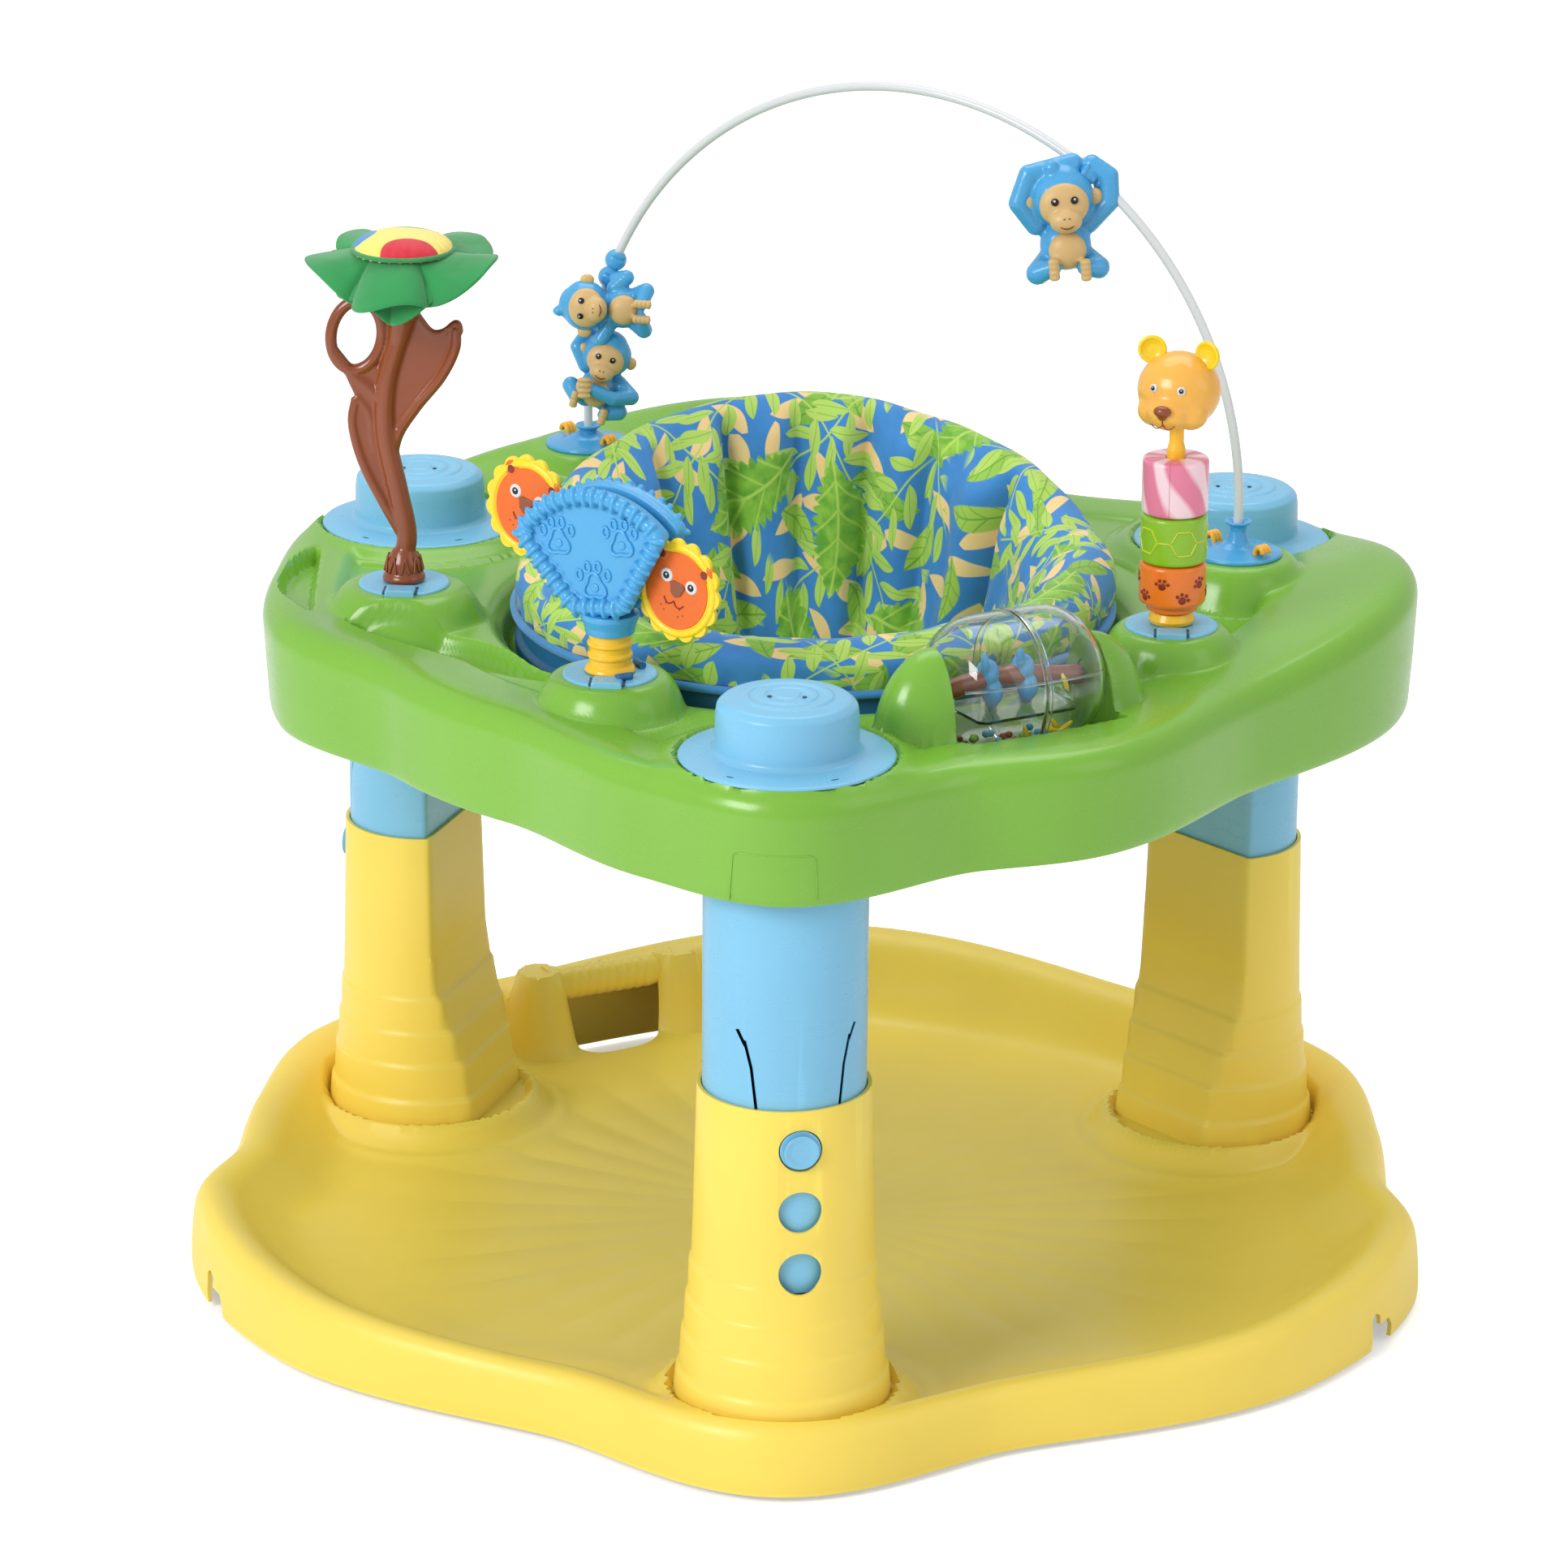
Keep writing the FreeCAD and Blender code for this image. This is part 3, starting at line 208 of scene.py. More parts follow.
def set_uv(piece, uv, count_u, count_v, flip):
    """UVs from an array one larger than the sheet in each wrapped direction."""
    uv = np.asarray(uv, float)
    layer = piece.data.uv_layers.new(name="cloth")
    a, b = uv[:-1, :-1], uv[1:, :-1]
    c, d = uv[1:, 1:], uv[:-1, 1:]
    corners = np.stack([a, b, c, d] if not flip else [a, d, c, b], axis=2)
    layer.data.foreach_set("uv", corners.reshape(-1).astype(np.float32))


def fill_hole(piece, ring):
    """Close a ring of vertex numbers with one face."""
    work = bmesh.new()
    work.from_mesh(piece.data)
    work.verts.ensure_lookup_table()
    work.faces.new([work.verts[number] for number in ring])
    bmesh.ops.recalc_face_normals(work, faces=work.faces)
    work.to_mesh(piece.data)
    work.free()


def turned(name, profile, at=(0, 0, 0), count=96, corner=1.0 * MM, axis=None):
    """Piece of revolution from (radius, height) pairs; ends at radius 0 are closed."""
    line = rounded(profile, corner) if corner else np.array(profile, float)
    line = np.maximum(line, [0.0, -1e9])
    angles = np.arange(count) * TAU / count
    points = np.zeros((count, len(line), 3))
    points[..., 0] = np.cos(angles)[:, None] * line[:, 0]
    points[..., 1] = np.sin(angles)[:, None] * line[:, 0]
    points[..., 2] = line[:, 1]
    piece = sheet(name, points, wrap_u=True)
    weld(piece, 1e-7)
    outward(piece)
    if axis is not None:
        turn = Vector((0, 0, 1)).rotation_difference(Vector(axis))
        piece.data.transform(turn.to_matrix().to_4x4())
    piece.data.transform(Matrix.Translation(Vector(at)))
    return piece


def weld(piece, distance):
    work = bmesh.new()
    work.from_mesh(piece.data)
    bmesh.ops.remove_doubles(work, verts=work.verts, dist=distance)
    bmesh.ops.dissolve_degenerate(work, edges=work.edges, dist=1e-8)
    work.to_mesh(piece.data)
    work.free()


def outward(piece):
    work = bmesh.new()
    work.from_mesh(piece.data)
    bmesh.ops.recalc_face_normals(work, faces=work.faces)
    work.to_mesh(piece.data)
    work.free()


def blob(centre_at, half, turn=None, detail=3):
    """Ellipsoid to be merged into a moulded form."""
    work = bmesh.new()
    bmesh.ops.create_icosphere(work, subdivisions=detail, radius=1.0)
    mesh = bpy.data.meshes.new("blob")
    work.to_mesh(mesh)
    work.free()
    piece = bpy.data.objects.new("blob", mesh)
    scene.collection.objects.link(piece)
    matrix = Matrix.Diagonal((*half, 1.0))
    if turn is not None:
        matrix = turn.to_matrix().to_4x4() @ matrix
    mesh.transform(Matrix.Translation(Vector(centre_at)) @ matrix)
    return piece


def tube(name, path, radius, count=20, closed=False, capped=True):
    """Round bar along a path; radius is a number or one per point."""
    path = np.asarray(path, float)
    total = len(path)
    radii = np.broadcast_to(np.asarray(radius, float), (total,))
    if closed:
        tangents = np.roll(path, -1, 0) - np.roll(path, 1, 0)
    else:
        tangents = np.gradient(path, axis=0)
    tangents = tangents / np.linalg.norm(tangents, axis=1)[:, None]
    normal = Vector(tangents[0]).orthogonal().normalized()
    angles = np.arange(count) * TAU / count
    rings = np.zeros((total, count, 3))
    previous = Vector(tangents[0])
    for index in range(total):
        tangent = Vector(tangents[index])
        normal = previous.rotation_difference(tangent) @ normal
        side = tangent.cross(normal)
        ring = np.outer(np.cos(angles), normal) + np.outer(np.sin(angles), side)
        rings[index] = path[index] + ring * radii[index]
        previous = tangent
    piece = sheet(name, rings, wrap_u=closed, wrap_v=True)
    if capped and not closed:
        fill_hole(piece, range(count))
        fill_hole(piece, range((total - 1) * count, total * count))
    outward(piece)
    return piece


def plate(name, outline, low, high, matrix=None, bevel=0.8 * MM):
    """Flat plate with bevelled edges: outline of (x, z) pairs between two depths along Y."""
    work = bmesh.new()
    ring = [work.verts.new((x, low, z)) for x, z in outline]
    face = work.faces.new(ring)
    extruded = bmesh.ops.extrude_face_region(work, geom=[face])
    moved = [item for item in extruded["geom"] if isinstance(item, bmesh.types.BMVert)]
    bmesh.ops.translate(work, verts=moved, vec=(0, high - low, 0))
    bmesh.ops.recalc_face_normals(work, faces=work.faces)
    mesh = bpy.data.meshes.new(name)
    work.to_mesh(mesh)
    work.free()
    piece = bpy.data.objects.new(name, mesh)
    scene.collection.objects.link(piece)
    mesh.polygons.foreach_set("use_smooth", [True] * len(mesh.polygons))
    if bevel:
        edge = piece.modifiers.new("edge", "BEVEL")
        edge.width = bevel
        edge.segments = 3
        edge.limit_method = "ANGLE"
        edge.angle_limit = math.radians(35)
        edge.harden_normals = True
        bake(piece)
    if matrix is not None:
        piece.data.transform(matrix)
    return piece


def bake(piece):
    """Apply every modifier."""
    graph = bpy.context.evaluated_depsgraph_get()
    mesh = bpy.data.meshes.new_from_object(piece.evaluated_get(graph))
    piece.modifiers.clear()
    piece.data = mesh
    return piece


def joined(name, parts):
    """One mesh from several."""
    work = bmesh.new()
    materials = []
    for part in parts:
        start = len(work.faces)
        work.from_mesh(part.data)
        work.faces.ensure_lookup_table()
        slots = [material for material in part.data.materials]
        for number, material in enumerate(slots):
            if material not in materials:
                materials.append(material)
        for face in work.faces[start:]:
            if slots:
                face.material_index = materials.index(slots[face.material_index])
    mesh = bpy.data.meshes.new(name)
    work.to_mesh(mesh)
    work.free()
    for material in materials:
        mesh.materials.append(material)
    for part in parts:
        bpy.data.objects.remove(part)
    piece = bpy.data.objects.new(name, mesh)
    scene.collection.objects.link(piece)
    return piece


def moulded(name, parts, voxel, rounds=6, strength=0.5):
    """Parts merged into one skin with soft creases, as a moulded form."""
    piece = joined(name, parts)
    remesh = piece.modifiers.new("merge", "REMESH")
    remesh.mode = "VOXEL"
    remesh.voxel_size = voxel
    relax = piece.modifiers.new("relax", "SMOOTH")
    relax.factor = strength
    relax.iterations = rounds
    bake(piece)
    piece.data.polygons.foreach_set("use_smooth", [True] * len(piece.data.polygons))
    return piece


def carve(piece, cutters):
    """Subtract closed pieces and delete them."""
    cutter = joined("cutter", cutters) if len(cutters) > 1 else cutters[0]
    modifier = piece.modifiers.new("carve", "BOOLEAN")
    modifier.operation = "DIFFERENCE"
    modifier.solver = "EXACT"
    modifier.object = cutter
    bake(piece)
    bpy.data.objects.remove(cutter)
    return piece


def thicken(piece, thickness, rim=True):
    """Give a sheet a wall on its inner side."""
    modifier = piece.modifiers.new("wall", "SOLIDIFY")
    modifier.thickness = thickness
    modifier.offset = -1
    modifier.use_rim = rim
    return bake(piece)


def sharp_shading(piece, degrees=35):
    """Smooth shading that keeps creases sharper than an angle."""
    work = bmesh.new()
    work.from_mesh(piece.data)
    for edge in work.edges:
        angle = edge.calc_face_angle(0.0)
        edge.smooth = angle < math.radians(degrees)
    for face in work.faces:
        face.smooth = True
    work.to_mesh(piece.data)
    work.free()


def finish_piece(piece, material, body, slot, *nodes):
    """Give a piece its finish, its body and the CAD nodes that it stands for."""
    piece.data.materials.clear()
    if material is not None:
        piece.data.materials.append(material)
    return settle(piece, body, slot, *nodes)


def settle(piece, body, slot, *nodes):
    """Body and CAD nodes for a piece that already has its materials; the slot is not used."""
    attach(piece, body)
    if nodes:
        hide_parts(*nodes)
    return piece


# ---------------------------------------------------------------- shader helpers

class Shader:
    """A material's node tree with short calls for arithmetic between sockets."""

    def __init__(self, name):
        self.material = bpy.data.materials.new(name)
        self.material.use_nodes = True
        self.tree = self.material.node_tree
        self.bsdf = next(node for node in self.tree.nodes if node.type == "BSDF_PRINCIPLED")

    def node(self, kind, **settings):
        made = self.tree.nodes.new(kind)
        for key, value in settings.items():
            setattr(made, key, value)
        return made

    def feed(self, socket, value):
        if isinstance(value, bpy.types.NodeSocket):
            self.tree.links.new(value, socket)
        else:
            socket.default_value = value

    def calc(self, operation, *values, clamp=False):
        made = self.node("ShaderNodeMath", operation=operation, use_clamp=clamp)
        for number, value in enumerate(values):
            self.feed(made.inputs[number], value)
        return made.outputs[0]

    def vector(self, operation, *values):
        made = self.node("ShaderNodeVectorMath", operation=operation)
        for number, value in enumerate(values):
            self.feed(made.inputs[number], value)
        return made.outputs["Value" if operation in ("LENGTH", "DOT_PRODUCT") else "Vector"]

    def split(self, vector):
        made = self.node("ShaderNodeSeparateXYZ")
        self.feed(made.inputs[0], vector)
        return made.outputs[0], made.outputs[1], made.outputs[2]

    def pack(self, x, y, z=0.0):
        made = self.node("ShaderNodeCombineXYZ")
        for number, value in enumerate((x, y, z)):
            self.feed(made.inputs[number], value)
        return made.outputs[0]

    def place(self):
        return self.node("ShaderNodeTexCoord").outputs["Object"]

    def uv(self):
        return self.node("ShaderNodeTexCoord").outputs["UV"]

    def noise(self, where, scale, detail=3.0, roughness=0.5, output="Fac"):
        made = self.node("ShaderNodeTexNoise")
        self.feed(made.inputs["Vector"], where)
        made.inputs["Scale"].default_value = scale
        made.inputs["Detail"].default_value = detail
        made.inputs["Roughness"].default_value = roughness
        return made.outputs[output]

    def remap(self, value, low, high, new_low, new_high):
        made = self.node("ShaderNodeMapRange")
        for number, item in enumerate((value, low, high, new_low, new_high)):
            self.feed(made.inputs[number], item)
        return made.outputs[0]

    def mix(self, share, first, second):
        made = self.node("ShaderNodeMix", data_type="RGBA")
        self.feed(made.inputs["Factor"], share)
        self.feed(made.inputs["A"], first if isinstance(first, bpy.types.NodeSocket) else (*first, 1.0))
        self.feed(made.inputs["B"], second if isinstance(second, bpy.types.NodeSocket) else (*second, 1.0))
        return made.outputs["Result"]

    def bump(self, height, strength, distance, normal=None):
        made = self.node("ShaderNodeBump")
        self.feed(made.inputs["Height"], height)
        made.inputs["Strength"].default_value = strength
        made.inputs["Distance"].default_value = distance
        if normal is not None:
            self.feed(made.inputs["Normal"], normal)
        return made.outputs[0]

    def set(self, **values):
        for key, value in values.items():
            self.feed(self.bsdf.inputs[key.replace("_", " ")], value)
        return self.material


def srgb(red, green, blue):
    """Linear colour from 0-255 display values."""
    def line(value):
        value = value / 255
        return value / 12.92 if value <= 0.04045 else ((value + 0.055) / 1.055) ** 2.4
    return line(red), line(green), line(blue)


def shade(colour, factor):
    return tuple(min(1.0, channel * factor) for channel in colour)


def plastic(name, colour, rough=0.3, grain=0.25, mottle=0.06, coat=0.0, scatter=0.05):
    """Moulded plastic: faint mottling, fine texture, painted highlight on sharp edges and high spots, and soft light
    below the surface.
    """
    shader = Shader(name)
    where = shader.place()
    cloud = shader.noise(where, 9.0, 3.0)
    speck = shader.noise(where, 900.0, 2.0)
    flow = shader.noise(shader.vector("MULTIPLY", where, (30.0, 30.0, 140.0)), 1.0, 4.0)
    tone = shader.mix(shader.remap(cloud, 0.3, 0.7, 0.0, 1.0), shade(colour, 1 - mottle), shade(colour, 1 + mottle))
    # Painted highlight: sharp edges and high spots are lightened toward a brighter copy of the colour.
    pointed = shader.node("ShaderNodeNewGeometry").outputs["Pointiness"]
    edge = shader.remap(pointed, 0.52, 0.6, 0.0, 0.35)
    tone = shader.mix(edge, tone, shade(colour, 1.25))
    roughness = shader.calc("ADD", shader.remap(flow, 0.3, 0.7, rough - 0.04, rough + 0.05),
                            shader.remap(speck, 0.35, 0.65, -0.02, 0.02))
    height = shader.calc("ADD", speck, shader.calc("MULTIPLY", flow, 0.6))
    normal = shader.bump(height, grain, 0.15 * MM)
    return shader.set(Base_Color=tone, Roughness=roughness, Normal=normal, Coat_Weight=coat,
                      Coat_Roughness=0.12, Subsurface_Weight=scatter, Subsurface_Scale=0.004,
                      Subsurface_Radius=(1.0, 0.8, 0.6), IOR=1.49)


def metal(name, colour, rough=0.3):
    """Drawn steel with fine lengthwise marks."""
    shader = Shader(name)
    marks = shader.noise(shader.vector("MULTIPLY", shader.place(), (400.0, 400.0, 30.0)), 1.0, 3.0)
    return shader.set(Base_Color=(*colour, 1.0), Metallic=1.0,
                      Roughness=shader.remap(marks, 0.3, 0.7, rough - 0.08, rough + 0.1),
                      Normal=shader.bump(marks, 0.15, 0.05 * MM))


def clear_plastic(name):
    """Water-clear styrene with faint haze."""
    shader = Shader(name)
    haze = shader.noise(shader.place(), 25.0, 4.0)
    fine = shader.noise(shader.place(), 300.0, 2.0)
    return shader.set(Base_Color=(0.97, 0.985, 0.99, 1.0), Transmission_Weight=1.0, IOR=1.2,
                      Roughness=shader.remap(haze, 0.3, 0.7, 0.0, 0.05),
                      Normal=shader.bump(fine, 0.05, 0.05 * MM), Coat_Weight=0.6, Coat_Roughness=0.05)


def weave_height(shader, coordinates, pitch):
    """Plain weave: two crossed sets of threads."""
    x, y, _ = shader.split(coordinates)
    warp = shader.calc("SINE", shader.calc("MULTIPLY", x, TAU / pitch))
    weft = shader.calc("SINE", shader.calc("MULTIPLY", y, TAU / pitch))
    return shader.calc("MULTIPLY", warp, weft)


def cloth(name, colour, pitch=0.7 * MM):
    """Plain woven cloth, seen in object space, with painted shade in its folds and painted highlight on their crests.
    """
    shader = Shader(name)
    where = shader.place()
    fold = shader.noise(where, 40.0, 4.0)
    # Painted shade and highlight: the noise that bumps the folds also darkens their hollows and lightens their crests.
    tone = shader.mix(shader.remap(fold, 0.3, 0.7, 0.0, 1.0), shade(colour, 0.86), shade(colour, 1.1))
    threads = weave_height(shader, where, pitch)
    tone = shader.mix(shader.remap(threads, -1.0, 1.0, 0.0, 0.25), tone, shade(colour, 0.7))
    wrinkle = shader.bump(fold, 0.35, 1.2 * MM)
    normal = shader.bump(threads, 0.3, 0.12 * MM, wrinkle)
    return shader.set(Base_Color=tone, Roughness=0.85, Normal=normal, Sheen_Weight=0.35,
                      Sheen_Roughness=0.5)


YELLOW = srgb(247, 217, 92)
LIGHT_BLUE = srgb(124, 190, 224)
GREEN = srgb(122, 180, 56)
TOY_BLUE = srgb(74, 165, 219)
RING_BLUE = srgb(38, 105, 155)
BROWN = srgb(140, 68, 30)
TAN = srgb(216, 180, 122)

MATERIALS = {
    "yellow": plastic("moulded_yellow", YELLOW, 0.36, 0.35, 0.03),
    "light_blue": plastic("moulded_light_blue", LIGHT_BLUE, 0.3, 0.25, 0.03),
    "green": plastic("moulded_green", GREEN, 0.24, 0.2, 0.03, coat=0.15),
    "toy_blue": plastic("toy_blue", TOY_BLUE, 0.24, 0.15, 0.04, coat=0.2),
    "ring_blue": plastic("ring_blue", RING_BLUE, 0.35, 0.2, 0.04),
    # Painted shade: a dark blue that stands for the shade seen in slots, pin holes and latch gaps.
    "opening_shade": plastic("painted_shade_blue", srgb(30, 78, 110), 0.45, 0.2, 0.04),
    "brown": plastic("bark_brown", BROWN, 0.22, 0.25, 0.10, coat=0.3),
    "tan": plastic("soft_tan", TAN, 0.38, 0.15, 0.05),
    "mane": plastic("mane_yellow", srgb(255, 212, 30), 0.25, 0.15, 0.04, coat=0.2),
    "lion_orange": plastic("lion_orange", srgb(232, 105, 22), 0.3, 0.15, 0.06),
    "neck_yellow": plastic("neck_yellow", srgb(250, 196, 40), 0.25, 0.15, 0.04, coat=0.2),
    "orange": plastic("ring_orange", srgb(240, 122, 34), 0.25, 0.15, 0.04, coat=0.2),
    "bear": plastic("bear_yellow", srgb(245, 182, 76), 0.25, 0.15, 0.05, coat=0.2),
    "ear": plastic("ear_yellow", srgb(246, 214, 36), 0.25, 0.15, 0.05, coat=0.2),
    "dark_red": plastic("paw_red", srgb(132, 40, 24), 0.3, 0.15, 0.05),
    "clip": plastic("clip_orange", srgb(248, 178, 48), 0.28, 0.15, 0.05),
    "white": plastic("rod_white", srgb(216, 218, 220), 0.22, 0.12, 0.02, coat=0.2),
    "black": plastic("print_black", srgb(22, 16, 14), 0.3, 0.1, 0.05),
    "steel": metal("spring_steel", srgb(170, 172, 176)),
    "clear": clear_plastic("clear_styrene"),
    "petal": cloth("petal_cloth", srgb(40, 150, 78)),
    "lime": plastic("ring_lime", srgb(140, 190, 36), 0.25, 0.15, 0.05, coat=0.2),
    "hex_yellow": plastic("hex_yellow", srgb(200, 210, 50), 0.3, 0.1, 0.05),
    "bead_red": plastic("bead_red", srgb(170, 30, 40), 0.2, 0.1, 0.05, coat=0.3),
    "pad_blue": cloth("pad_blue_cloth", srgb(60, 140, 210)),
}


# ---------------------------------------------------------------- base

BASE_OUTLINE = (
    (0, 381, 46), (25, 336, 44), (57, 376, 50), (80, 391, 58), (91, 370, 60), (104, 380, 61),
    (120, 400, 64), (147, 370, 70), (180, 393, 78), (213, 370, 70), (240, 400, 64), (256, 380, 61),
    (269, 370, 60), (280, 391, 58), (303, 376, 50), (335, 336, 44),
)
BAR_START, BAR_END = np.array((-196.0, 262.0)), np.array((-108.0, 312.0))
SKIRT_NOTCHES = (201, 339, 90)
SKIRT_HOOK = ((-13.5, -6), (-13.5, 12), (-9, 18), (3, 18), (3, 24), (9, 27), (13.5, 24), (13.5, -6))


def swept_ring(section, angles, rows):
    """Points[angle][row] in mm of a wall whose section changes round the ring."""
    points = np.zeros((len(angles), rows, 3))
    for index, angle in enumerate(angles):
        line = section(angle)
        steps = np.linalg.norm(np.diff(line, axis=0), axis=1)
        along = np.concatenate([[0], np.cumsum(steps)])
        where = np.linspace(0, along[-1], rows)
        radius = np.interp(where, along, line[:, 0])
        points[index, :, 0] = radius * math.cos(math.radians(angle))
        points[index, :, 1] = radius * math.sin(math.radians(angle))
        points[index, :, 2] = np.interp(where, along, line[:, 1])
    return points


def base_section(angle):
    """Saucer wall from the hub over the floor and rim down to the skirt's foot."""
    from_front = np.array([(angle - 270) % 360])
    outer = stations(BASE_OUTLINE, 1, from_front)[0]
    rim = stations(BASE_OUTLINE, 2, from_front)[0]
    line = [(0, 14), (55, 14.5), (200, 20), (outer - 84, 25), (outer - 60, 29), (outer - 38, rim - 15),
            (outer - 26, rim - 4), (outer - 14, rim), (outer - 6, rim - 3.5), (outer - 1.5, rim - 14),
            (outer + 1, 12), (outer, 3.5)]
    return rounded(line, 16, 6)


def cone_field(x, y, place, foot, top, low, high):
    """Height of a mound with straight flanks and a flat top, in mm."""
    away = np.hypot(x - place[0], y - place[1])
    return low + (high - low) * np.clip((foot - away) / (foot - top), 0, 1)


def base_heights(points):
    """Leg mounds, carry-bar humps and shell-like flutes on the saucer."""
    x, y, z = points[..., 0], points[..., 1], points[..., 2].copy()
    radius, angle = np.hypot(x, y), np.arctan2(y, x)
    outer = stations(BASE_OUTLINE, 1, np.mod(np.degrees(angle) - 270, 360))
    top_side = smooth(16, 2, radius - outer + 16)
    flute = np.abs(np.sin(angle * 17 + 0.5 * np.sin(angle * 3))) ** 0.7
    reach = smooth(18, 90, radius) * smooth(300, 170, radius)
    z += reach * (flute - 0.55) * 4.2 * top_side
    swell = np.sin(angle * 7 + 1.0) * smooth(150, 260, radius) * smooth(345, 290, radius)
    z += swell * 2.2 * top_side
    for name in LEGS:
        place = CAPS[name] / MM
        spot = (place.x, place.y)
        mound = cone_field(x, y, spot, 96, 72, 8, 41)
        shoulder = cone_field(x, y, spot, 112, 90, 12, 27)
        lifted = soft_max(soft_max(z, shoulder, 8), mound, 6)
        z = np.where(top_side > 0.02, z + (lifted - z) * top_side, z)
        away = np.hypot(x - spot[0], y - spot[1])
        z = np.where(away < 67, np.minimum(z, 36.5), z)
    for spot in (BAR_START, BAR_END):
        hump = cone_field(x, y, spot, 29, 15, 20, 82)
        lifted = soft_max(z, hump, 7)
        z = z + (lifted - z) * smooth(16, 6, radius - outer + 16)
    result = points.copy()
    result[..., 2] = z
    return result


def make_base():
    angles = np.arange(600) * 0.6
    points = base_heights(swept_ring(base_section, angles, 150))
    piece = sheet("base_saucer_skin", points * MM, wrap_u=True)
    weld(piece, 1e-6)
    outward_up(piece)
    thicken(piece, 2.6 * MM)
    along = (BAR_END - BAR_START) / np.linalg.norm(BAR_END - BAR_START)
    turn = math.atan2(along[1], along[0])
    middle = (BAR_START + BAR_END) / 2
    hole = [(math.copysign(abs(math.cos(a)) ** 0.7 * 36, math.cos(a)) * MM, math.sin(a) * 29 * MM)
            for a in np.linspace(0, TAU, 48, endpoint=False)]
    upright = Matrix.Translation((middle[0] * MM, middle[1] * MM, 0)) @ Matrix.Rotation(turn, 4, "Z")
    upright = upright @ Matrix.Rotation(math.pi / 2, 4, "X")
    carve(piece, [plate("cutter", hole, -0.2, 0.1, upright, 0)])
    for angle in SKIRT_NOTCHES:
        outer = stations(BASE_OUTLINE, 1, np.array([(angle - 270) % 360]))[0]
        side = math.radians(angle)
        place = Matrix.Translation((math.cos(side) * outer * MM, math.sin(side) * outer * MM, 0))
        frame_at = place @ Matrix.Rotation(side - math.pi / 2, 4, "Z")
        outline = [(x * MM, z * MM) for x, z in SKIRT_HOOK]
        carve(piece, [plate("cutter", outline, -12 * MM, 8 * MM, frame_at, 0)])
    sharp_shading(piece, 42)
    finish_piece(piece, MATERIALS["yellow"], "base", "base_yellow", "base_saucer")
    make_carry_bar(middle, along)


def outward_up(piece):
    """Turn an open sheet so that its faces look up and out."""
    outward(piece)
    mesh = piece.data
    total = sum(face.normal.z * face.area for face in mesh.polygons)
    if total < 0:
        mesh.flip_normals()


def make_carry_bar(middle, along):
    """Ribbed grip between the two humps at the saucer's rear left."""
    start = np.array([*(BAR_START + along * 4), 70.0])
    end = np.array([*(BAR_END - along * 4), 70.0])
    share = np.linspace(0, 1, 90)
    path = start + (end - start) * share[:, None]
    rib = np.abs(np.sin(share * math.pi * 13)) ** 0.6 * 1.1 * smooth(0.12, 0.16, share) * smooth(0.88, 0.84, share)
    collar = 3.5 * smooth(0.10, 0.0, share) + 3.5 * smooth(0.90, 1.0, share)
    piece = tube("carry_bar_grip", path * MM, (10.2 + rib + collar) * MM, 28)
    finish_piece(piece, MATERIALS["yellow"], "base", "base_yellow")


# ---------------------------------------------------------------- legs

def leg_frame(name):
    """Frame on a leg's axis whose X points away from the middle, twisted with the D section."""
    place = CAPS[name]
    turn = math.atan2(place.y, place.x) + LEG_TWIST
    return Matrix.Translation((place.x, place.y, 0)) @ Matrix.Rotation(turn, 4, "Z")


def d_radius(angles, radius, flat, blend=3.0):
    """Polar radius of a circle cut by a flat on its inner (-X) side, with rounded corners."""
    cosine = np.cos(angles)
    limit = np.where(cosine < -1e-3, flat / np.maximum(-cosine, 1e-3), 1e3)
    return soft_min(np.full_like(angles, radius), np.minimum(limit, radius * 1.6), blend)


def d_tube(name, levels, flat_levels, wall, count=180):
    """Open D-section tube: levels are (height, radius), flat_levels the flat's distance at each."""
    angles = np.arange(count) * TAU / count
    points = np.zeros((len(levels), count, 3))
    for row, ((height, radius), flat) in enumerate(zip(levels, flat_levels)):
        around = d_radius(angles, radius, flat)
        points[row, :, 0] = np.cos(angles) * around
        points[row, :, 1] = np.sin(angles) * around
        points[row, :, 2] = height
    piece = sheet(name, points * MM, wrap_v=True)
    outward_side(piece)
    return thicken(piece, wall * MM)


def outward_side(piece):
    """Turn an open tube so that its faces look away from its axis."""
    outward(piece)
    total = sum(face.normal.dot(Vector((face.center.x, face.center.y, 0))) for face in piece.data.polygons)
    if total < 0:
        piece.data.flip_normals()


def drill(radius, height, reach=90):
    """Cutter along X through a sleeve's outer side."""
    line = [(0, -1), (radius, -1), (radius, 1), (0, 1)]
    cutter = turned("cutter", [(r * MM, z * reach / 2 * MM) for r, z in line], (0, 0, 0), 40, 0, (1, 0, 0))
    cutter.data.transform(Matrix.Translation((0.05, 0, height * MM)))
    return cutter


def make_sleeve(name):
    """Yellow outer leg: plain above, three moulded steps where it flares into its foot."""
    levels, flats = [], []
    corners = rounded([(35, 64.5), (52, 63), (55, 61), (76, 59.9), (78.5, 58.2), (98, 57.5), (100.5, 56),
                       (121, 55.3), (123.5, 53.9), (150, 53), (232, 51)], 1.6, 3)
    for height, radius in corners:
        levels.append((height, radius))
        flats.append(radius - 29.0 + 14.0 * float(smooth(150, 60, height)))
    piece = d_tube("sleeve_skin_" + name, levels, flats, 2.4)
    carve(piece, [drill(12.8, height) for height in (208, 170, 132)])
    soften_rims(piece)
    piece.data.transform(leg_frame(name))
    sharp_shading(piece, 38)
    finish_piece(piece, MATERIALS["yellow"], "base", "base_yellow", "leg_sleeve_" + name)


def soften_rims(piece):
    edge = piece.modifiers.new("rim", "BEVEL")
    edge.width = 0.7 * MM
    edge.segments = 2
    edge.limit_method = "ANGLE"
    edge.angle_limit = math.radians(60)
    bake(piece)


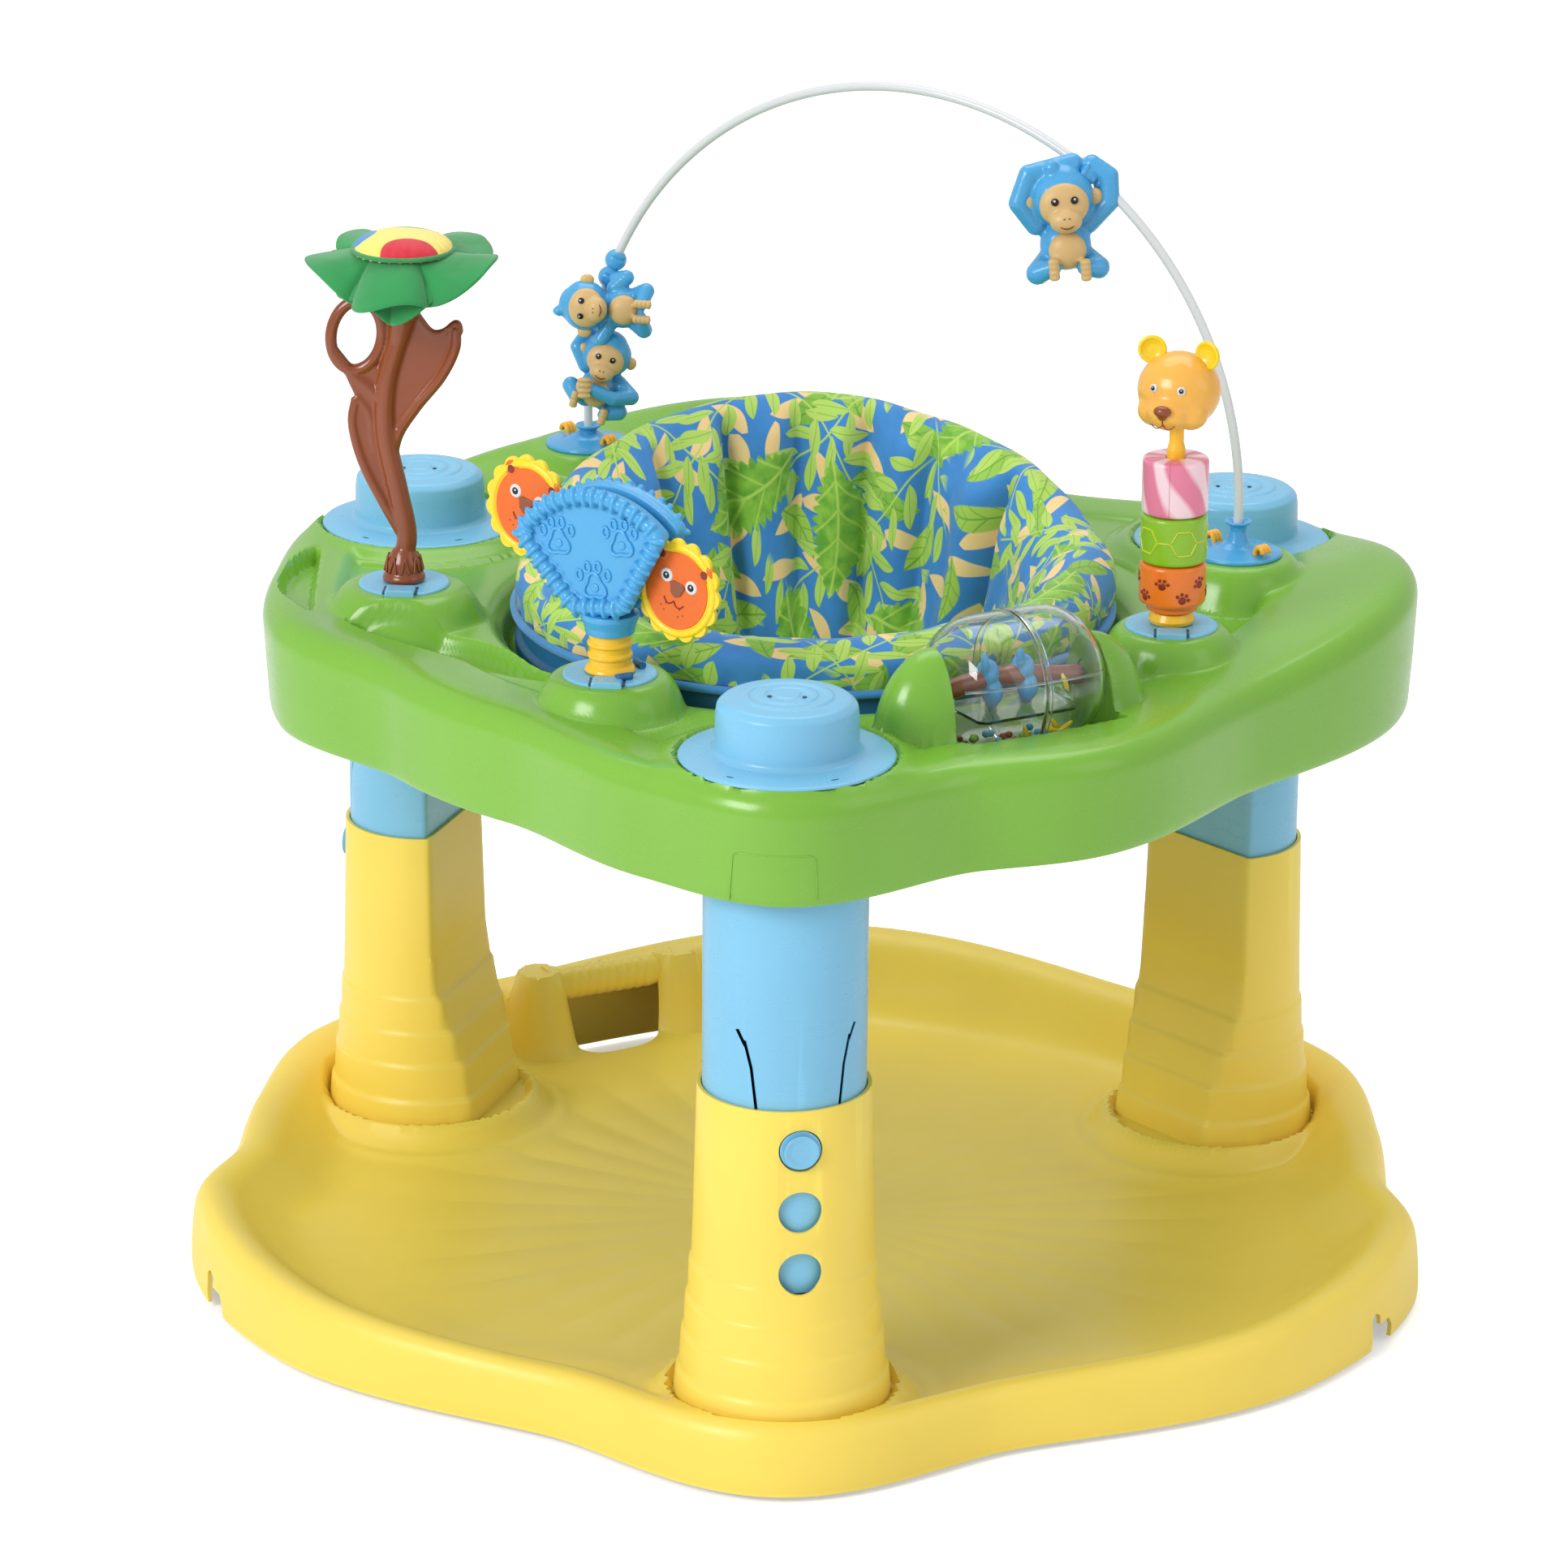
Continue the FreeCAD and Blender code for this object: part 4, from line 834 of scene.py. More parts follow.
def slot_cutter(points, width):
    """Narrow cutter along a path drawn on the tube's outer side, as (angle-offset mm, height mm)."""
    path = np.array([(60.0, side, height) for side, height in points])
    parts = []
    for start, end in zip(path, path[1:]):
        middle = (start + end) / 2
        length = np.linalg.norm(end - start)
        lean = math.atan2(end[1] - start[1], end[2] - start[2])
        work = bmesh.new()
        bmesh.ops.create_cube(work, size=1.0)
        mesh = bpy.data.meshes.new("cutter")
        work.to_mesh(mesh)
        work.free()
        cutter = bpy.data.objects.new("cutter", mesh)
        scene.collection.objects.link(cutter)
        stretch = Matrix.Diagonal((60 * MM, width * MM, (length + width) * MM, 1))
        turn = Matrix.Rotation(-lean, 4, "X")
        mesh.transform(Matrix.Translation(Vector(middle) * MM) @ turn @ stretch)
        parts.append(cutter)
    return parts


def make_tube(name):
    """Light blue inner leg with the V of slots that frees its button tongue."""
    piece = d_tube("tube_skin_" + name, [(h, 48) for h in (118, 200, 260, 300, 402)], [19.5] * 5, 2.2)
    for side in (-1, 1):
        cutters = slot_cutter([(side * 20, 190), (side * 27, 256), (side * 30.5, 272)], 1.8)
        hook = slot_cutter([(side * 30.5, 270), (side * 34, 278)], 1.8)
        carve(piece, [cutters[0]])
        carve(piece, [cutters[1]])
        carve(piece, hook)
    carve(piece, [drill(12.5, 208)])
    piece.data.transform(leg_frame(name))
    sharp_shading(piece, 38)
    finish_piece(piece, MATERIALS["light_blue"], "legs", "leg_blue", "leg_tube_" + name)


def make_button(name):
    """Round height button on its sprung tongue."""
    line = [(0, 50.0), (8.2, 50.0), (9.6, 52.4), (10.4, 54.3), (9.2, 54.4), (6, 53.6), (0, 53.4)]
    button = turned("cutter", [(r * MM, z * MM) for r, z in line], (0, 0, 0), 48, 0.6 * MM, (1, 0, 0))
    rim = turned("cutter", [(r * MM, z * MM) for r, z in [(0, 40), (12.0, 40), (12.0, 50.4), (8, 50.4), (8, 49.8),
                                                          (0, 49.8)]], (0, 0, 0), 48, 0.5 * MM, (1, 0, 0))
    piece = joined("button_face_" + name, [button, rim])
    piece.data.transform(Matrix.Translation((0, 0, 208 * MM)))
    piece.data.transform(leg_frame(name))
    sharp_shading(piece, 40)
    finish_piece(piece, MATERIALS["light_blue"], "button_" + name, "leg_blue")
    tongue = tongue_skin()
    tongue.name = "button_tongue_" + name
    tongue.data.transform(leg_frame(name))
    finish_piece(tongue, MATERIALS["light_blue"], "button_" + name, "leg_blue", "height_button_" + name)


def tongue_skin():
    """Curved tongue between the two slots, a little inside the tube's outer face."""
    heights = np.linspace(150, 288, 24)
    points = np.zeros((24, 25, 3))
    for row, height in enumerate(heights):
        half = np.interp(height, [150, 190, 256, 280, 288], [18.8, 18.8, 25.8, 28.5, 26])
        side = np.linspace(-half, half, 25)
        radius = 47.6
        points[row, :, 0] = np.sqrt(radius ** 2 - side ** 2)
        points[row, :, 1] = side
        points[row, :, 2] = height
    piece = sheet("tongue", points * MM)
    if sum(face.normal.x for face in piece.data.polygons) < 0:
        piece.data.flip_normals()
    return thicken(piece, 2.0 * MM)


# ---------------------------------------------------------------- tray

TRAY_OUTLINE = (
    (8, 376, 452, 92), (31, 372, 433, 60), (61, 314, 428, 44), (100, 384, 460, 96), (128, 352, 452, 70),
    (150, 370, 432, 46), (172, 346, 434, 44), (192, 335, 436, 46), (214, 294, 433, 50), (234, 293, 432, 50),
    (256, 338, 430, 50), (270, 371, 431, 44), (291, 323, 429, 46), (303, 328, 429, 48), (328, 310, 430, 60),
)
TOY_MOUNDS = (("tree_plug", 54, 30), ("fan_plug", 48, 30), ("bear_plug", 46, 29))
DRUM = centre("drum_branch")
DRUM_ALONG = Vector((-DRUM.y, DRUM.x, 0)).normalized()
DRUM_HUMPS = {-1: (474, 28, 40), 1: (468, 30, 36)}


def tray_section(angle):
    """Tray wall from the seat ledge over the deck, the inner step and the crest, down the skirt."""
    angle = np.array([angle % 360.0])
    outer = stations(TRAY_OUTLINE, 1, angle)[0]
    crest = stations(TRAY_OUTLINE, 2, angle)[0]
    band = min(stations(TRAY_OUTLINE, 3, angle)[0], outer - 226)
    step = 424 + 0.55 * (crest - 424)
    line = [(176, 401), (189, 401), (192, 414), (199, 422.5), (206, 424), (outer - band - 12, 424),
            (outer - band - 8, 424.6), (outer - band - 3, step), (outer - band + 6, step + 0.8),
            (outer - 17, crest), (outer - 6.5, crest - 2.6), (outer - 0.5, crest - 12), (outer - 2, 400),
            (outer - 4, 366), (outer - 6, 362.5)]
    return rounded(line, 6, 6)


def leaf_field(x, y, start, end, width, bow=0.0):
    """1 inside a leaf shape between two tips, 0 outside, with an eased edge; bow bends it sideways."""
    start, end = np.array(start, float), np.array(end, float)
    length = np.linalg.norm(end - start)
    along = (end - start) / length
    side = np.array((-along[1], along[0]))
    u = ((x - start[0]) * along[0] + (y - start[1]) * along[1]) / length
    v = (x - start[0]) * side[0] + (y - start[1]) * side[1] - bow * 4 * u * (1 - u)
    half = width * np.clip(4 * u * (1 - u), 0, 1) ** 0.75
    return smooth(-2.0, 3.5, half - np.abs(v)) * (u > -0.02) * (u < 1.02)


def mound_field(x, y, place, foot, top, low, high):
    """Smooth bell-shaped mound with a flat crown."""
    away = np.hypot(x - place[0], y - place[1])
    share = np.clip((foot - away) / (foot - top), 0, 1)
    return low + (high - low) * (1 - (1 - share) ** 2.2)


def drum_local(x, y):
    """Coordinates along the drum's spindles and across them, in mm from its middle."""
    dx, dy = x - DRUM.x / MM, y - DRUM.y / MM
    return dx * DRUM_ALONG.x + dy * DRUM_ALONG.y, -dx * DRUM_ALONG.y + dy * DRUM_ALONG.x


def tray_heights(points):
    """Caps' seats, toy mounds, recesses and the drum's humps and trough on the tray's deck."""
    x, y, z = points[..., 0], points[..., 1], points[..., 2].copy()
    radius = np.hypot(x, y)
    outer = stations(TRAY_OUTLINE, 1, np.mod(np.degrees(np.arctan2(y, x)), 360))
    inside = smooth(186, 196, radius) * smooth(0, 9, outer - 6 - radius)
    deck = z.copy()
    for plug, foot, top in TOY_MOUNDS:
        place = PLUGS[plug] / MM
        mound = mound_field(x, y, (place.x, place.y), foot, top, 412, place.z + 0.6)
        deck = soft_max(deck, mound, 5)
    for place in ARCH_FEET.values():
        spot = place / MM
        mound = mound_field(x, y, (spot.x, spot.y), 50, 30, 412, spot.z - 0.4)
        deck = soft_max(deck, mound, 5)
    along, across = drum_local(x, y)
    for side, (crown, half, reach) in DRUM_HUMPS.items():
        share = 1 - (across / half) ** 2 - ((along * side - 53) / reach) ** 2
        hump = 404 + (crown - 404) * np.sqrt(np.clip(share, 0, 1)) ** 0.9
        deck = np.where(along * side > 52.8, soft_max(deck, hump, 6), deck)
    deck = deck - 13.0 * leaf_field(x, y, (-278, -64), (-146, -150), 21, 9)
    deck = deck - 11.0 * leaf_field(x, y, (-318, 84), (-306, -52), 11, -10)
    along, across = drum_local(x, y)
    trough = DRUM.z / MM - np.sqrt(np.clip(46.5 ** 2 - across ** 2, 0, None))
    within = (np.abs(along) < 52.6) & (np.abs(across) < 46.4)
    deck = np.where(within, np.minimum(deck, np.maximum(trough, 398)), deck)
    z = z + (deck - z) * inside
    for name in LEGS:
        place = CAPS[name] / MM
        away = np.hypot(x - place.x, y - place.y)
        seat_height = CAP_SEAT / MM
        rim = CAP_FLANGE / MM
        collar = seat_height + 2.2 - 6.5 * smooth(rim + 3, rim + 19, away)
        lifted = np.where(away < rim + 19, soft_max(z, collar, 4), z)
        z = np.where(inside > 0.0, z + (lifted - z) * smooth(0, 0.4, inside), z)
        z = np.where((away < rim + 1.6) & (inside > 0.35), seat_height - 0.4, z)
    result = points.copy()
    result[..., 2] = z
    return result


def open_below_caps(piece):
    """Take the deck away under each spring cap's dome, where the tube and its spring come up."""
    work = bmesh.new()
    work.from_mesh(piece.data)
    hidden = []
    for face in work.faces:
        middle = face.calc_center_median()
        away = min((Vector(middle.xy) - Vector(place.xy)).length for place in CAPS.values())
        if away < 38 * MM and middle.z > 0.42:
            hidden.append(face)
    bmesh.ops.delete(work, geom=hidden, context="FACES")
    work.to_mesh(piece.data)
    work.free()


def make_tray():
    angles = np.arange(1000) * 0.36
    points = tray_heights(swept_ring(tray_section, angles, 132))
    piece = sheet("tray_skin", points * MM, wrap_u=True)
    outward_up(piece)
    open_below_caps(piece)
    thicken(piece, 2.4 * MM)
    sharp_shading(piece, 44)
    finish_piece(piece, MATERIALS["green"], "tray", "tray_green", "tray_shell")
    make_drum_cheeks()
    make_tray_marks()


def make_drum_cheeks():
    """Flat faces of the humps that hold the drum's spindles, towards the drum."""
    for side, (crown, half, _) in DRUM_HUMPS.items():
        height = (crown - 404) * MM
        outline = [(half * math.cos(a) * MM, math.sin(a) ** 0.9 * height) for a in np.linspace(0.001, math.pi - 0.001, 48)]
        frame_at = Matrix.Translation((DRUM.x, DRUM.y, 0.404)) @ Matrix.Translation(DRUM_ALONG * side * 54.2 * MM)
        frame_at = frame_at @ Matrix.Rotation(math.atan2(DRUM_ALONG.y, DRUM_ALONG.x) - math.pi / 2, 4, "Z")
        piece = plate("drum_cheek_%d" % (side + 1), outline, -1.5 * MM, 1.5 * MM, frame_at, 1.1 * MM)
        finish_piece(piece, MATERIALS["green"], "tray", "tray_green")


def on_skirt(x, height):
    """Point on the tray's front skirt at an x and a height in mm."""
    angle = np.array([math.degrees(math.atan2(-370, x)) % 360])
    outer = stations(TRAY_OUTLINE, 1, angle)[0]
    radius = outer - 2 - 2 * (400 - height) / 34
    return x, -math.sqrt(radius ** 2 - x * x), height


def make_tray_marks():
    """Fine moulded line: the label's outline on the front skirt."""
    outline = [(-29, 364), (-27, 392), (-24, 394), (17, 394), (20, 392), (21, 364)]
    path = []
    for (x0, z0), (x1, z1) in zip(outline, outline[1:]):
        path += [on_skirt(x0 + (x1 - x0) * share, z0 + (z1 - z0) * share) for share in np.linspace(0, 1, 9)[:-1]]
    piece = tube("tray_marks", np.array(path) * MM, 0.4 * MM, 6)
    finish_piece(piece, MATERIALS["green"], "tray", "tray_green")


# ---------------------------------------------------------------- caps and seat ring

def make_cap(name):
    """Spring cap: flange with arrow slots, drum-shaped dome with raised rings and two pin holes; the slots and holes
    are dark pieces of painted shade.
    """
    low, high = CAP_SEAT / MM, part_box("spring_cap_" + name)[1].z / MM
    flange = CAP_FLANGE / MM
    line = [(flange - 1.6, low - 0.2), (flange, low + 0.6), (flange - 0.6, low + 2.2), (52, low + 3.6),
            (44, low + 4.6), (41.6, low + 7), (41.2, high - 12), (40.4, high - 6), (36.5, high - 2.6),
            (30, high - 1.8), (27, high - 1.6), (26, high - 0.6), (22.5, high - 0.5), (21.5, high - 1.3),
            (18, high - 1.2), (17, high - 0.3), (13, high - 0.2), (12, high - 1.0), (8, high - 0.9),
            (7, high - 0.1), (0, high)]
    piece = turned("cap_skin_" + name, [(r * MM, z * MM) for r, z in line], (CAPS[name].x, CAPS[name].y, 0),
                   144, 1.4 * MM)
    finish_piece(piece, MATERIALS["light_blue"], "tray", "leg_blue", "spring_cap_" + name)
    # Painted shade: each arrow slot is a dark plate on the flange, not a cut.
    for side in (-1, 1):
        for turn in (0, math.pi):
            mark = math.radians(-90 + side * 32) + turn
            away = Vector((math.cos(mark), math.sin(mark), 0))
            spot = CAPS[name] * 1.0
            spot.z = (low + 2.6) * MM
            piece = slot_shade_plate("cap_slot_%s_%d_%d" % (name, side + 1, int(turn)), spot + away * (flange - 7) * MM,
                              mark, (1.2, 5.0, 1.2))
            finish_piece(piece, MATERIALS["opening_shade"], "tray", "leg_blue")
    # Painted shade: each pin hole is a dark disc on the dome, not a hole.
    for side in (-1, 1):
        hole = turned("cap_pin_%s_%d" % (name, side + 1), [(0, 0), (1.3 * MM, 0), (1.3 * MM, 0.5 * MM), (0, 0.5 * MM)],
                      (CAPS[name].x + side * 10 * MM, CAPS[name].y - 4 * MM, (high - 0.75) * MM), 16, 0)
        finish_piece(hole, MATERIALS["opening_shade"], "tray", "leg_blue")


def slot_shade_plate(name, middle, turn, size):
    """Small rounded dark plate of painted shade where a slot is."""
    half = size[1] / 2
    angles = np.linspace(0, TAU, 24, endpoint=False)
    outline = [(math.cos(a) * half * MM, math.sin(a) * size[0] / 2 * MM) for a in angles]
    frame = Matrix.Translation(middle) @ Matrix.Rotation(turn + math.pi / 2, 4, "Z") @ Matrix.Rotation(math.pi / 2, 4, "X")
    return plate(name, outline, -0.4 * MM, size[2] / 2 * MM, frame, 0)


def make_seat_ring():
    """Blue swivel ring that carries the fabric seat."""
    low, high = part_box("seat_ring")
    middle = (low + high) / 2
    outer = (high.x - low.x) / 2 / MM
    bottom, top = low.z / MM, high.z / MM
    line = [(outer - 34, bottom), (outer - 2, bottom), (outer, bottom + 2), (outer, bottom + 9),
            (outer - 4, bottom + 12), (outer - 5, top - 5), (outer - 2, top - 3), (outer - 1, top),
            (outer - 14, top), (outer - 30, top - 4), (outer - 34, top - 12), (outer - 34, bottom)]
    piece = turned("seat_ring_skin", [(r * MM, z * MM) for r, z in line], (middle.x, middle.y, 0), 160, 1.2 * MM)
    finish_piece(piece, MATERIALS["ring_blue"], "seat", "ring_blue", "seat_ring")


def toy_plug(node, body, latch_side=-math.pi / 2):
    """Light blue disc under a toy, with its sprung latch at the front in a recessed ring."""
    low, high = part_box(node)
    middle = (low + high) / 2
    top = PLUGS[node].z / MM if node in PLUGS else high.z / MM
    line = [(0, -9), (12, -9), (12, -1), (27.2, -0.6), (28, 0.2), (28, 1.6), (26.8, 2.4), (0, 3.0)]
    piece = turned(node + "_skin", [(r * MM, z * MM) for r, z in line], (middle.x, middle.y, top * MM), 80, 0.7 * MM)
    finish_piece(piece, MATERIALS["light_blue"], body, "leg_blue", node)
    outline = [(-9, -0.6), (9, -0.6), (9, 3.4), (7.6, 4.4), (-7.6, 4.4), (-9, 3.4)]
    frame = Matrix.Translation((middle.x, middle.y, top * MM)) @ Matrix.Rotation(latch_side + math.pi / 2, 4, "Z")
    latch = plate(node + "_latch", [(a * MM, b * MM) for a, b in outline], -28.4 * MM, -15 * MM, frame, 0.8 * MM)
    finish_piece(latch, MATERIALS["light_blue"], body, "leg_blue")
    # Painted shade: a dark plate fills the gap round the latch.
    outline = [(-10.6, 1.6), (10.6, 1.6), (10.6, 2.75), (-10.6, 2.75)]
    gap = plate(node + "_latch_gap", [(a * MM, b * MM) for a, b in outline], -27.0 * MM, -13.6 * MM, frame, 0)
    finish_piece(gap, MATERIALS["opening_shade"], body, "leg_blue")


# ---------------------------------------------------------------- seat cloth

SEAT_CREST = ((10, 474), (52, 503), (97, 521), (145, 501), (186, 468), (230, 459), (270, 460), (330, 464))
PLEATS = (38, 62, 80, 97, 115, 136, 160)


def seat_section(angle):
    """Cloth line from the ring up over the padded crest and down to the bottom of the bowl, in mm."""
    crest = stations(SEAT_CREST, 1, np.array([angle % 360.0]))[0]
    line = [(180.5, 426), (183.5, 438), (184, (crest + 440) / 2 - 4), (177, crest - 8), (164, crest),
            (151, crest - 5), (140, crest - 26), (122, 396), (96, 340), (44, 312), (4, 309)]
    return rounded(line, 14, 6)


def seat_points(columns, rows):
    """Rest shape of the cloth with deep pleats in the high back and soft puckers along the ring."""
    angles = np.arange(columns) * 360.0 / columns
    points = np.zeros((columns, rows, 3))
    rng = np.random.default_rng(11)
    phases = rng.uniform(0, TAU, 6)
    for index, angle in enumerate(angles):
        line = seat_section(angle)
        steps = np.linalg.norm(np.diff(line, axis=0), axis=1)
        along = np.concatenate([[0], np.cumsum(steps)])
        where = np.linspace(0, along[-1], rows)
        radius = np.interp(where, along, line[:, 0])
        height = np.interp(where, along, line[:, 1])
        crest = stations(SEAT_CREST, 1, np.array([angle]))[0]
        turn = math.radians(angle)
        inner = smooth(crest - 2, crest - 26, height) * (radius < 158)
        back = 1 if 25 < angle < 172 else 0.35
        fold = 0.0
        for number, pleat in enumerate(PLEATS):
            gap = (angle - pleat + 180) % 360 - 180
            depth = (17, 9, 14, 8, 15, 9, 13)[number]
            fold += depth * math.exp(-(gap / 2.0) ** 2) - 0.75 * depth * math.exp(-((gap - 6.5) / 5.0) ** 2)
        radius = radius + fold * inner * back * smooth(330, 400, height)
        for number, phase in enumerate(phases):
            radius += 0.9 * math.sin(turn * (5 + 3 * number) + phase) * np.sin(where / (16 + 7 * number) + phase)
        pucker = 1.6 * math.sin(turn * 46) * smooth(446, 428, height) * (radius > 160)
        radius = radius + pucker
        points[index, :, 0] = radius * math.cos(turn)
        points[index, :, 1] = radius * math.sin(turn)
        points[index, :, 2] = height
    return points, angles


def settle_cloth(piece, group, pressure, frames, stiffness=12.0):
    """Puff a sewn cover out against its pinned seams."""
    modifier = piece.modifiers.new("cloth", "CLOTH")
    settings = modifier.settings
    settings.quality = 6
    settings.mass = 0.25
    settings.tension_stiffness = stiffness
    settings.compression_stiffness = stiffness
    settings.shear_stiffness = 4
    settings.bending_stiffness = 0.6
    settings.vertex_group_mass = group
    settings.use_pressure = True
    settings.uniform_pressure_force = pressure
    settings.effector_weights.gravity = 0
    modifier.collision_settings.use_collision = False
    modifier.collision_settings.use_self_collision = False
    modifier.point_cache.frame_start = 1
    modifier.point_cache.frame_end = frames
    rest = np.array([tuple(v.co) for v in piece.data.vertices])
    for number in range(1, frames + 1):
        scene.frame_set(number)
        bpy.context.view_layer.update()
    bake(piece)
    scene.frame_set(1)
    return rest


def limit_travel(piece, rest, most):
    """Keep cloth within a distance of its rest shape."""
    now = np.array([tuple(v.co) for v in piece.data.vertices])
    move = now - rest
    length = np.linalg.norm(move, axis=1)
    scale = np.where(length > most, most / np.maximum(length, 1e-9), 1.0)
    piece.data.vertices.foreach_set("co", (rest + move * scale[:, None]).reshape(-1))
    piece.data.update()


def pin_group(piece, weights):
    group = piece.vertex_groups.new(name="pin")
    for number, weight in enumerate(weights):
        if weight > 0.01:
            group.add([number], float(weight), "REPLACE")
    return group.name


def make_seat_cloth():
    columns, rows = 300, 84
    points, angles = seat_points(columns, rows)
    arc = np.linspace(0, 0.36, rows)
    uv = np.zeros((columns + 1, rows, 2))
    uv[..., 0] = (np.arange(columns + 1) * TAU / columns * 0.165)[:, None]
    uv[..., 1] = arc[None, :]
    piece = sheet("seat_cover", points * MM, wrap_u=True, uv=uv)
    outward_up(piece)
    weights = np.zeros((columns, rows))
    weights[:, :5] = 1
    weights[:, -18:] = 1
    for pleat in PLEATS:
        column = int(round(pleat / 360 * columns)) % columns
        weights[column, 38:] = np.maximum(weights[column, 38:], 0.8)
    group = pin_group(piece, weights.reshape(-1))
    rest = settle_cloth(piece, group, 3.0, 16)
    limit_travel(piece, rest, 7 * MM)
    wall = piece.modifiers.new("wall", "SOLIDIFY")
    wall.thickness = 2.5 * MM
    wall.offset = -1
    round_off = piece.modifiers.new("round", "SUBSURF")
    round_off.levels = 1
    round_off.render_levels = 1
    bake(piece)
    finish_piece(piece, leaf_print("seat_print"), "seat", "seat_cloth", "seat_fabric")
    ridge = points[:, 2, :].copy()
    away = np.hypot(ridge[:, 0], ridge[:, 1])
    ridge[:, 0] *= 184.2 / away
    ridge[:, 1] *= 184.2 / away
    ridge[:, 2] = 429
    band = tube("seat_binding", ridge * MM, 2.6 * MM, 10, closed=True)
    finish_piece(band, MATERIALS["pad_blue"], "seat", "seat_cloth")


def leaf_layer(shader, uv, cell, length, width, seed, serrated=False):
    """Mask and rib mask of leaves scattered one to a cell with random turns, in uv metres."""
    scaled = shader.vector("MULTIPLY", uv, (1 / cell, 1 / cell, 0.0))
    scaled = shader.vector("ADD", scaled, (seed * 3.7, seed * 1.3, 0.0))
    voronoi = shader.node("ShaderNodeTexVoronoi", feature="F1")
    voronoi.voronoi_dimensions = "2D"
    voronoi.inputs["Randomness"].default_value = 0.75
    voronoi.inputs["Scale"].default_value = 1.0
    shader.feed(voronoi.inputs["Vector"], scaled)
    local = shader.vector("SUBTRACT", scaled, voronoi.outputs["Position"])
    x, y, _ = shader.split(local)
    tint = shader.split(voronoi.outputs["Color"])[0]
    pick = shader.split(voronoi.outputs["Color"])[1]
    turn = shader.calc("MULTIPLY", tint, TAU)
    cosine, sine = shader.calc("COSINE", turn), shader.calc("SINE", turn)
    along = shader.calc("ADD", shader.calc("MULTIPLY", x, cosine), shader.calc("MULTIPLY", y, sine))
    across = shader.calc("SUBTRACT", shader.calc("MULTIPLY", y, cosine), shader.calc("MULTIPLY", x, sine))
    bow = shader.calc("MULTIPLY", shader.calc("MULTIPLY", along, along), 0.35)
    across = shader.calc("ADD", across, bow)
    share = shader.calc("DIVIDE", along, length / cell / 2)
    body = shader.calc("SUBTRACT", 1.0, shader.calc("MULTIPLY", share, share), clamp=True)
    half = shader.calc("MULTIPLY", body, width / cell / 2)
    if serrated:
        teeth = shader.calc("ABSOLUTE", shader.calc("SINE", shader.calc("MULTIPLY", share, 22.0)))
        half = shader.calc("MULTIPLY", half, shader.calc("ADD", 0.8, shader.calc("MULTIPLY", teeth, 0.25)))
    edge = shader.calc("SUBTRACT", half, shader.calc("ABSOLUTE", across))
    mask = shader.remap(edge, 0.0, 0.02, 0.0, 1.0)
    rib = shader.remap(shader.calc("ABSOLUTE", across), 0.0, 0.02, 1.0, 0.0)
    slant = shader.calc("ADD", shader.calc("MULTIPLY", share, 16.0),
                        shader.calc("MULTIPLY", shader.calc("ABSOLUTE", across), -30.0))
    veins = shader.remap(shader.calc("SINE", slant), 0.86, 1.0, 0.0, 0.7)
    return mask, shader.calc("MAXIMUM", rib, veins), pick


def sprig_layer(shader, uv, pitch, turn, offset):
    """Long stems with paired slanting leaflets, in rows across the cloth."""
    cosine, sine = math.cos(turn), math.sin(turn)
    x, y, _ = shader.split(uv)
    along = shader.calc("ADD", shader.calc("MULTIPLY", x, cosine), shader.calc("MULTIPLY", y, sine))
    across = shader.calc("SUBTRACT", shader.calc("MULTIPLY", y, cosine), shader.calc("MULTIPLY", x, sine))
    sway = shader.calc("MULTIPLY", shader.calc("SINE", shader.calc("MULTIPLY", along, 40.0)), 0.006)
    across = shader.calc("ADD", shader.calc("ADD", across, sway), offset)
    row = shader.calc("SUBTRACT", shader.calc("FRACT", shader.calc("DIVIDE", across, pitch)), 0.5)
    away = shader.calc("MULTIPLY", row, pitch)
    distance = shader.calc("ABSOLUTE", away)
    stem = shader.remap(distance, 0.0003, 0.0009, 1.0, 0.0)
    slanted = shader.calc("SUBTRACT", along, shader.calc("MULTIPLY", distance, 0.9))
    flip = shader.calc("MULTIPLY", shader.calc("GREATER_THAN", away, 0.0), 0.5)
    cell = shader.calc("FRACT", shader.calc("ADD", shader.calc("DIVIDE", slanted, 0.019), flip))
    middle = shader.calc("MULTIPLY", shader.calc("ABSOLUTE", shader.calc("SUBTRACT", cell, 0.5)), 2.0)
    reach = shader.calc("DIVIDE", shader.calc("SUBTRACT", distance, 0.0015), 0.019)
    share = shader.calc("MULTIPLY", shader.calc("SUBTRACT", reach, 0.5), 2.0)
    body = shader.calc("SUBTRACT", 1.0, shader.calc("MULTIPLY", share, share), clamp=True)
    edge = shader.calc("SUBTRACT", shader.calc("MULTIPLY", body, 0.62), middle)
    leaflet = shader.remap(edge, 0.0, 0.05, 0.0, 1.0)
    window = shader.noise(uv, 9.0 + offset * 40, 1.0)
    here = shader.remap(window, 0.44, 0.47, 0.0, 1.0)
    mask = shader.calc("MULTIPLY", shader.calc("MAXIMUM", leaflet, stem), here)
    rib = shader.calc("MULTIPLY", shader.remap(middle, 0.0, 0.06, 1.0, 0.0), leaflet)
    return mask, rib


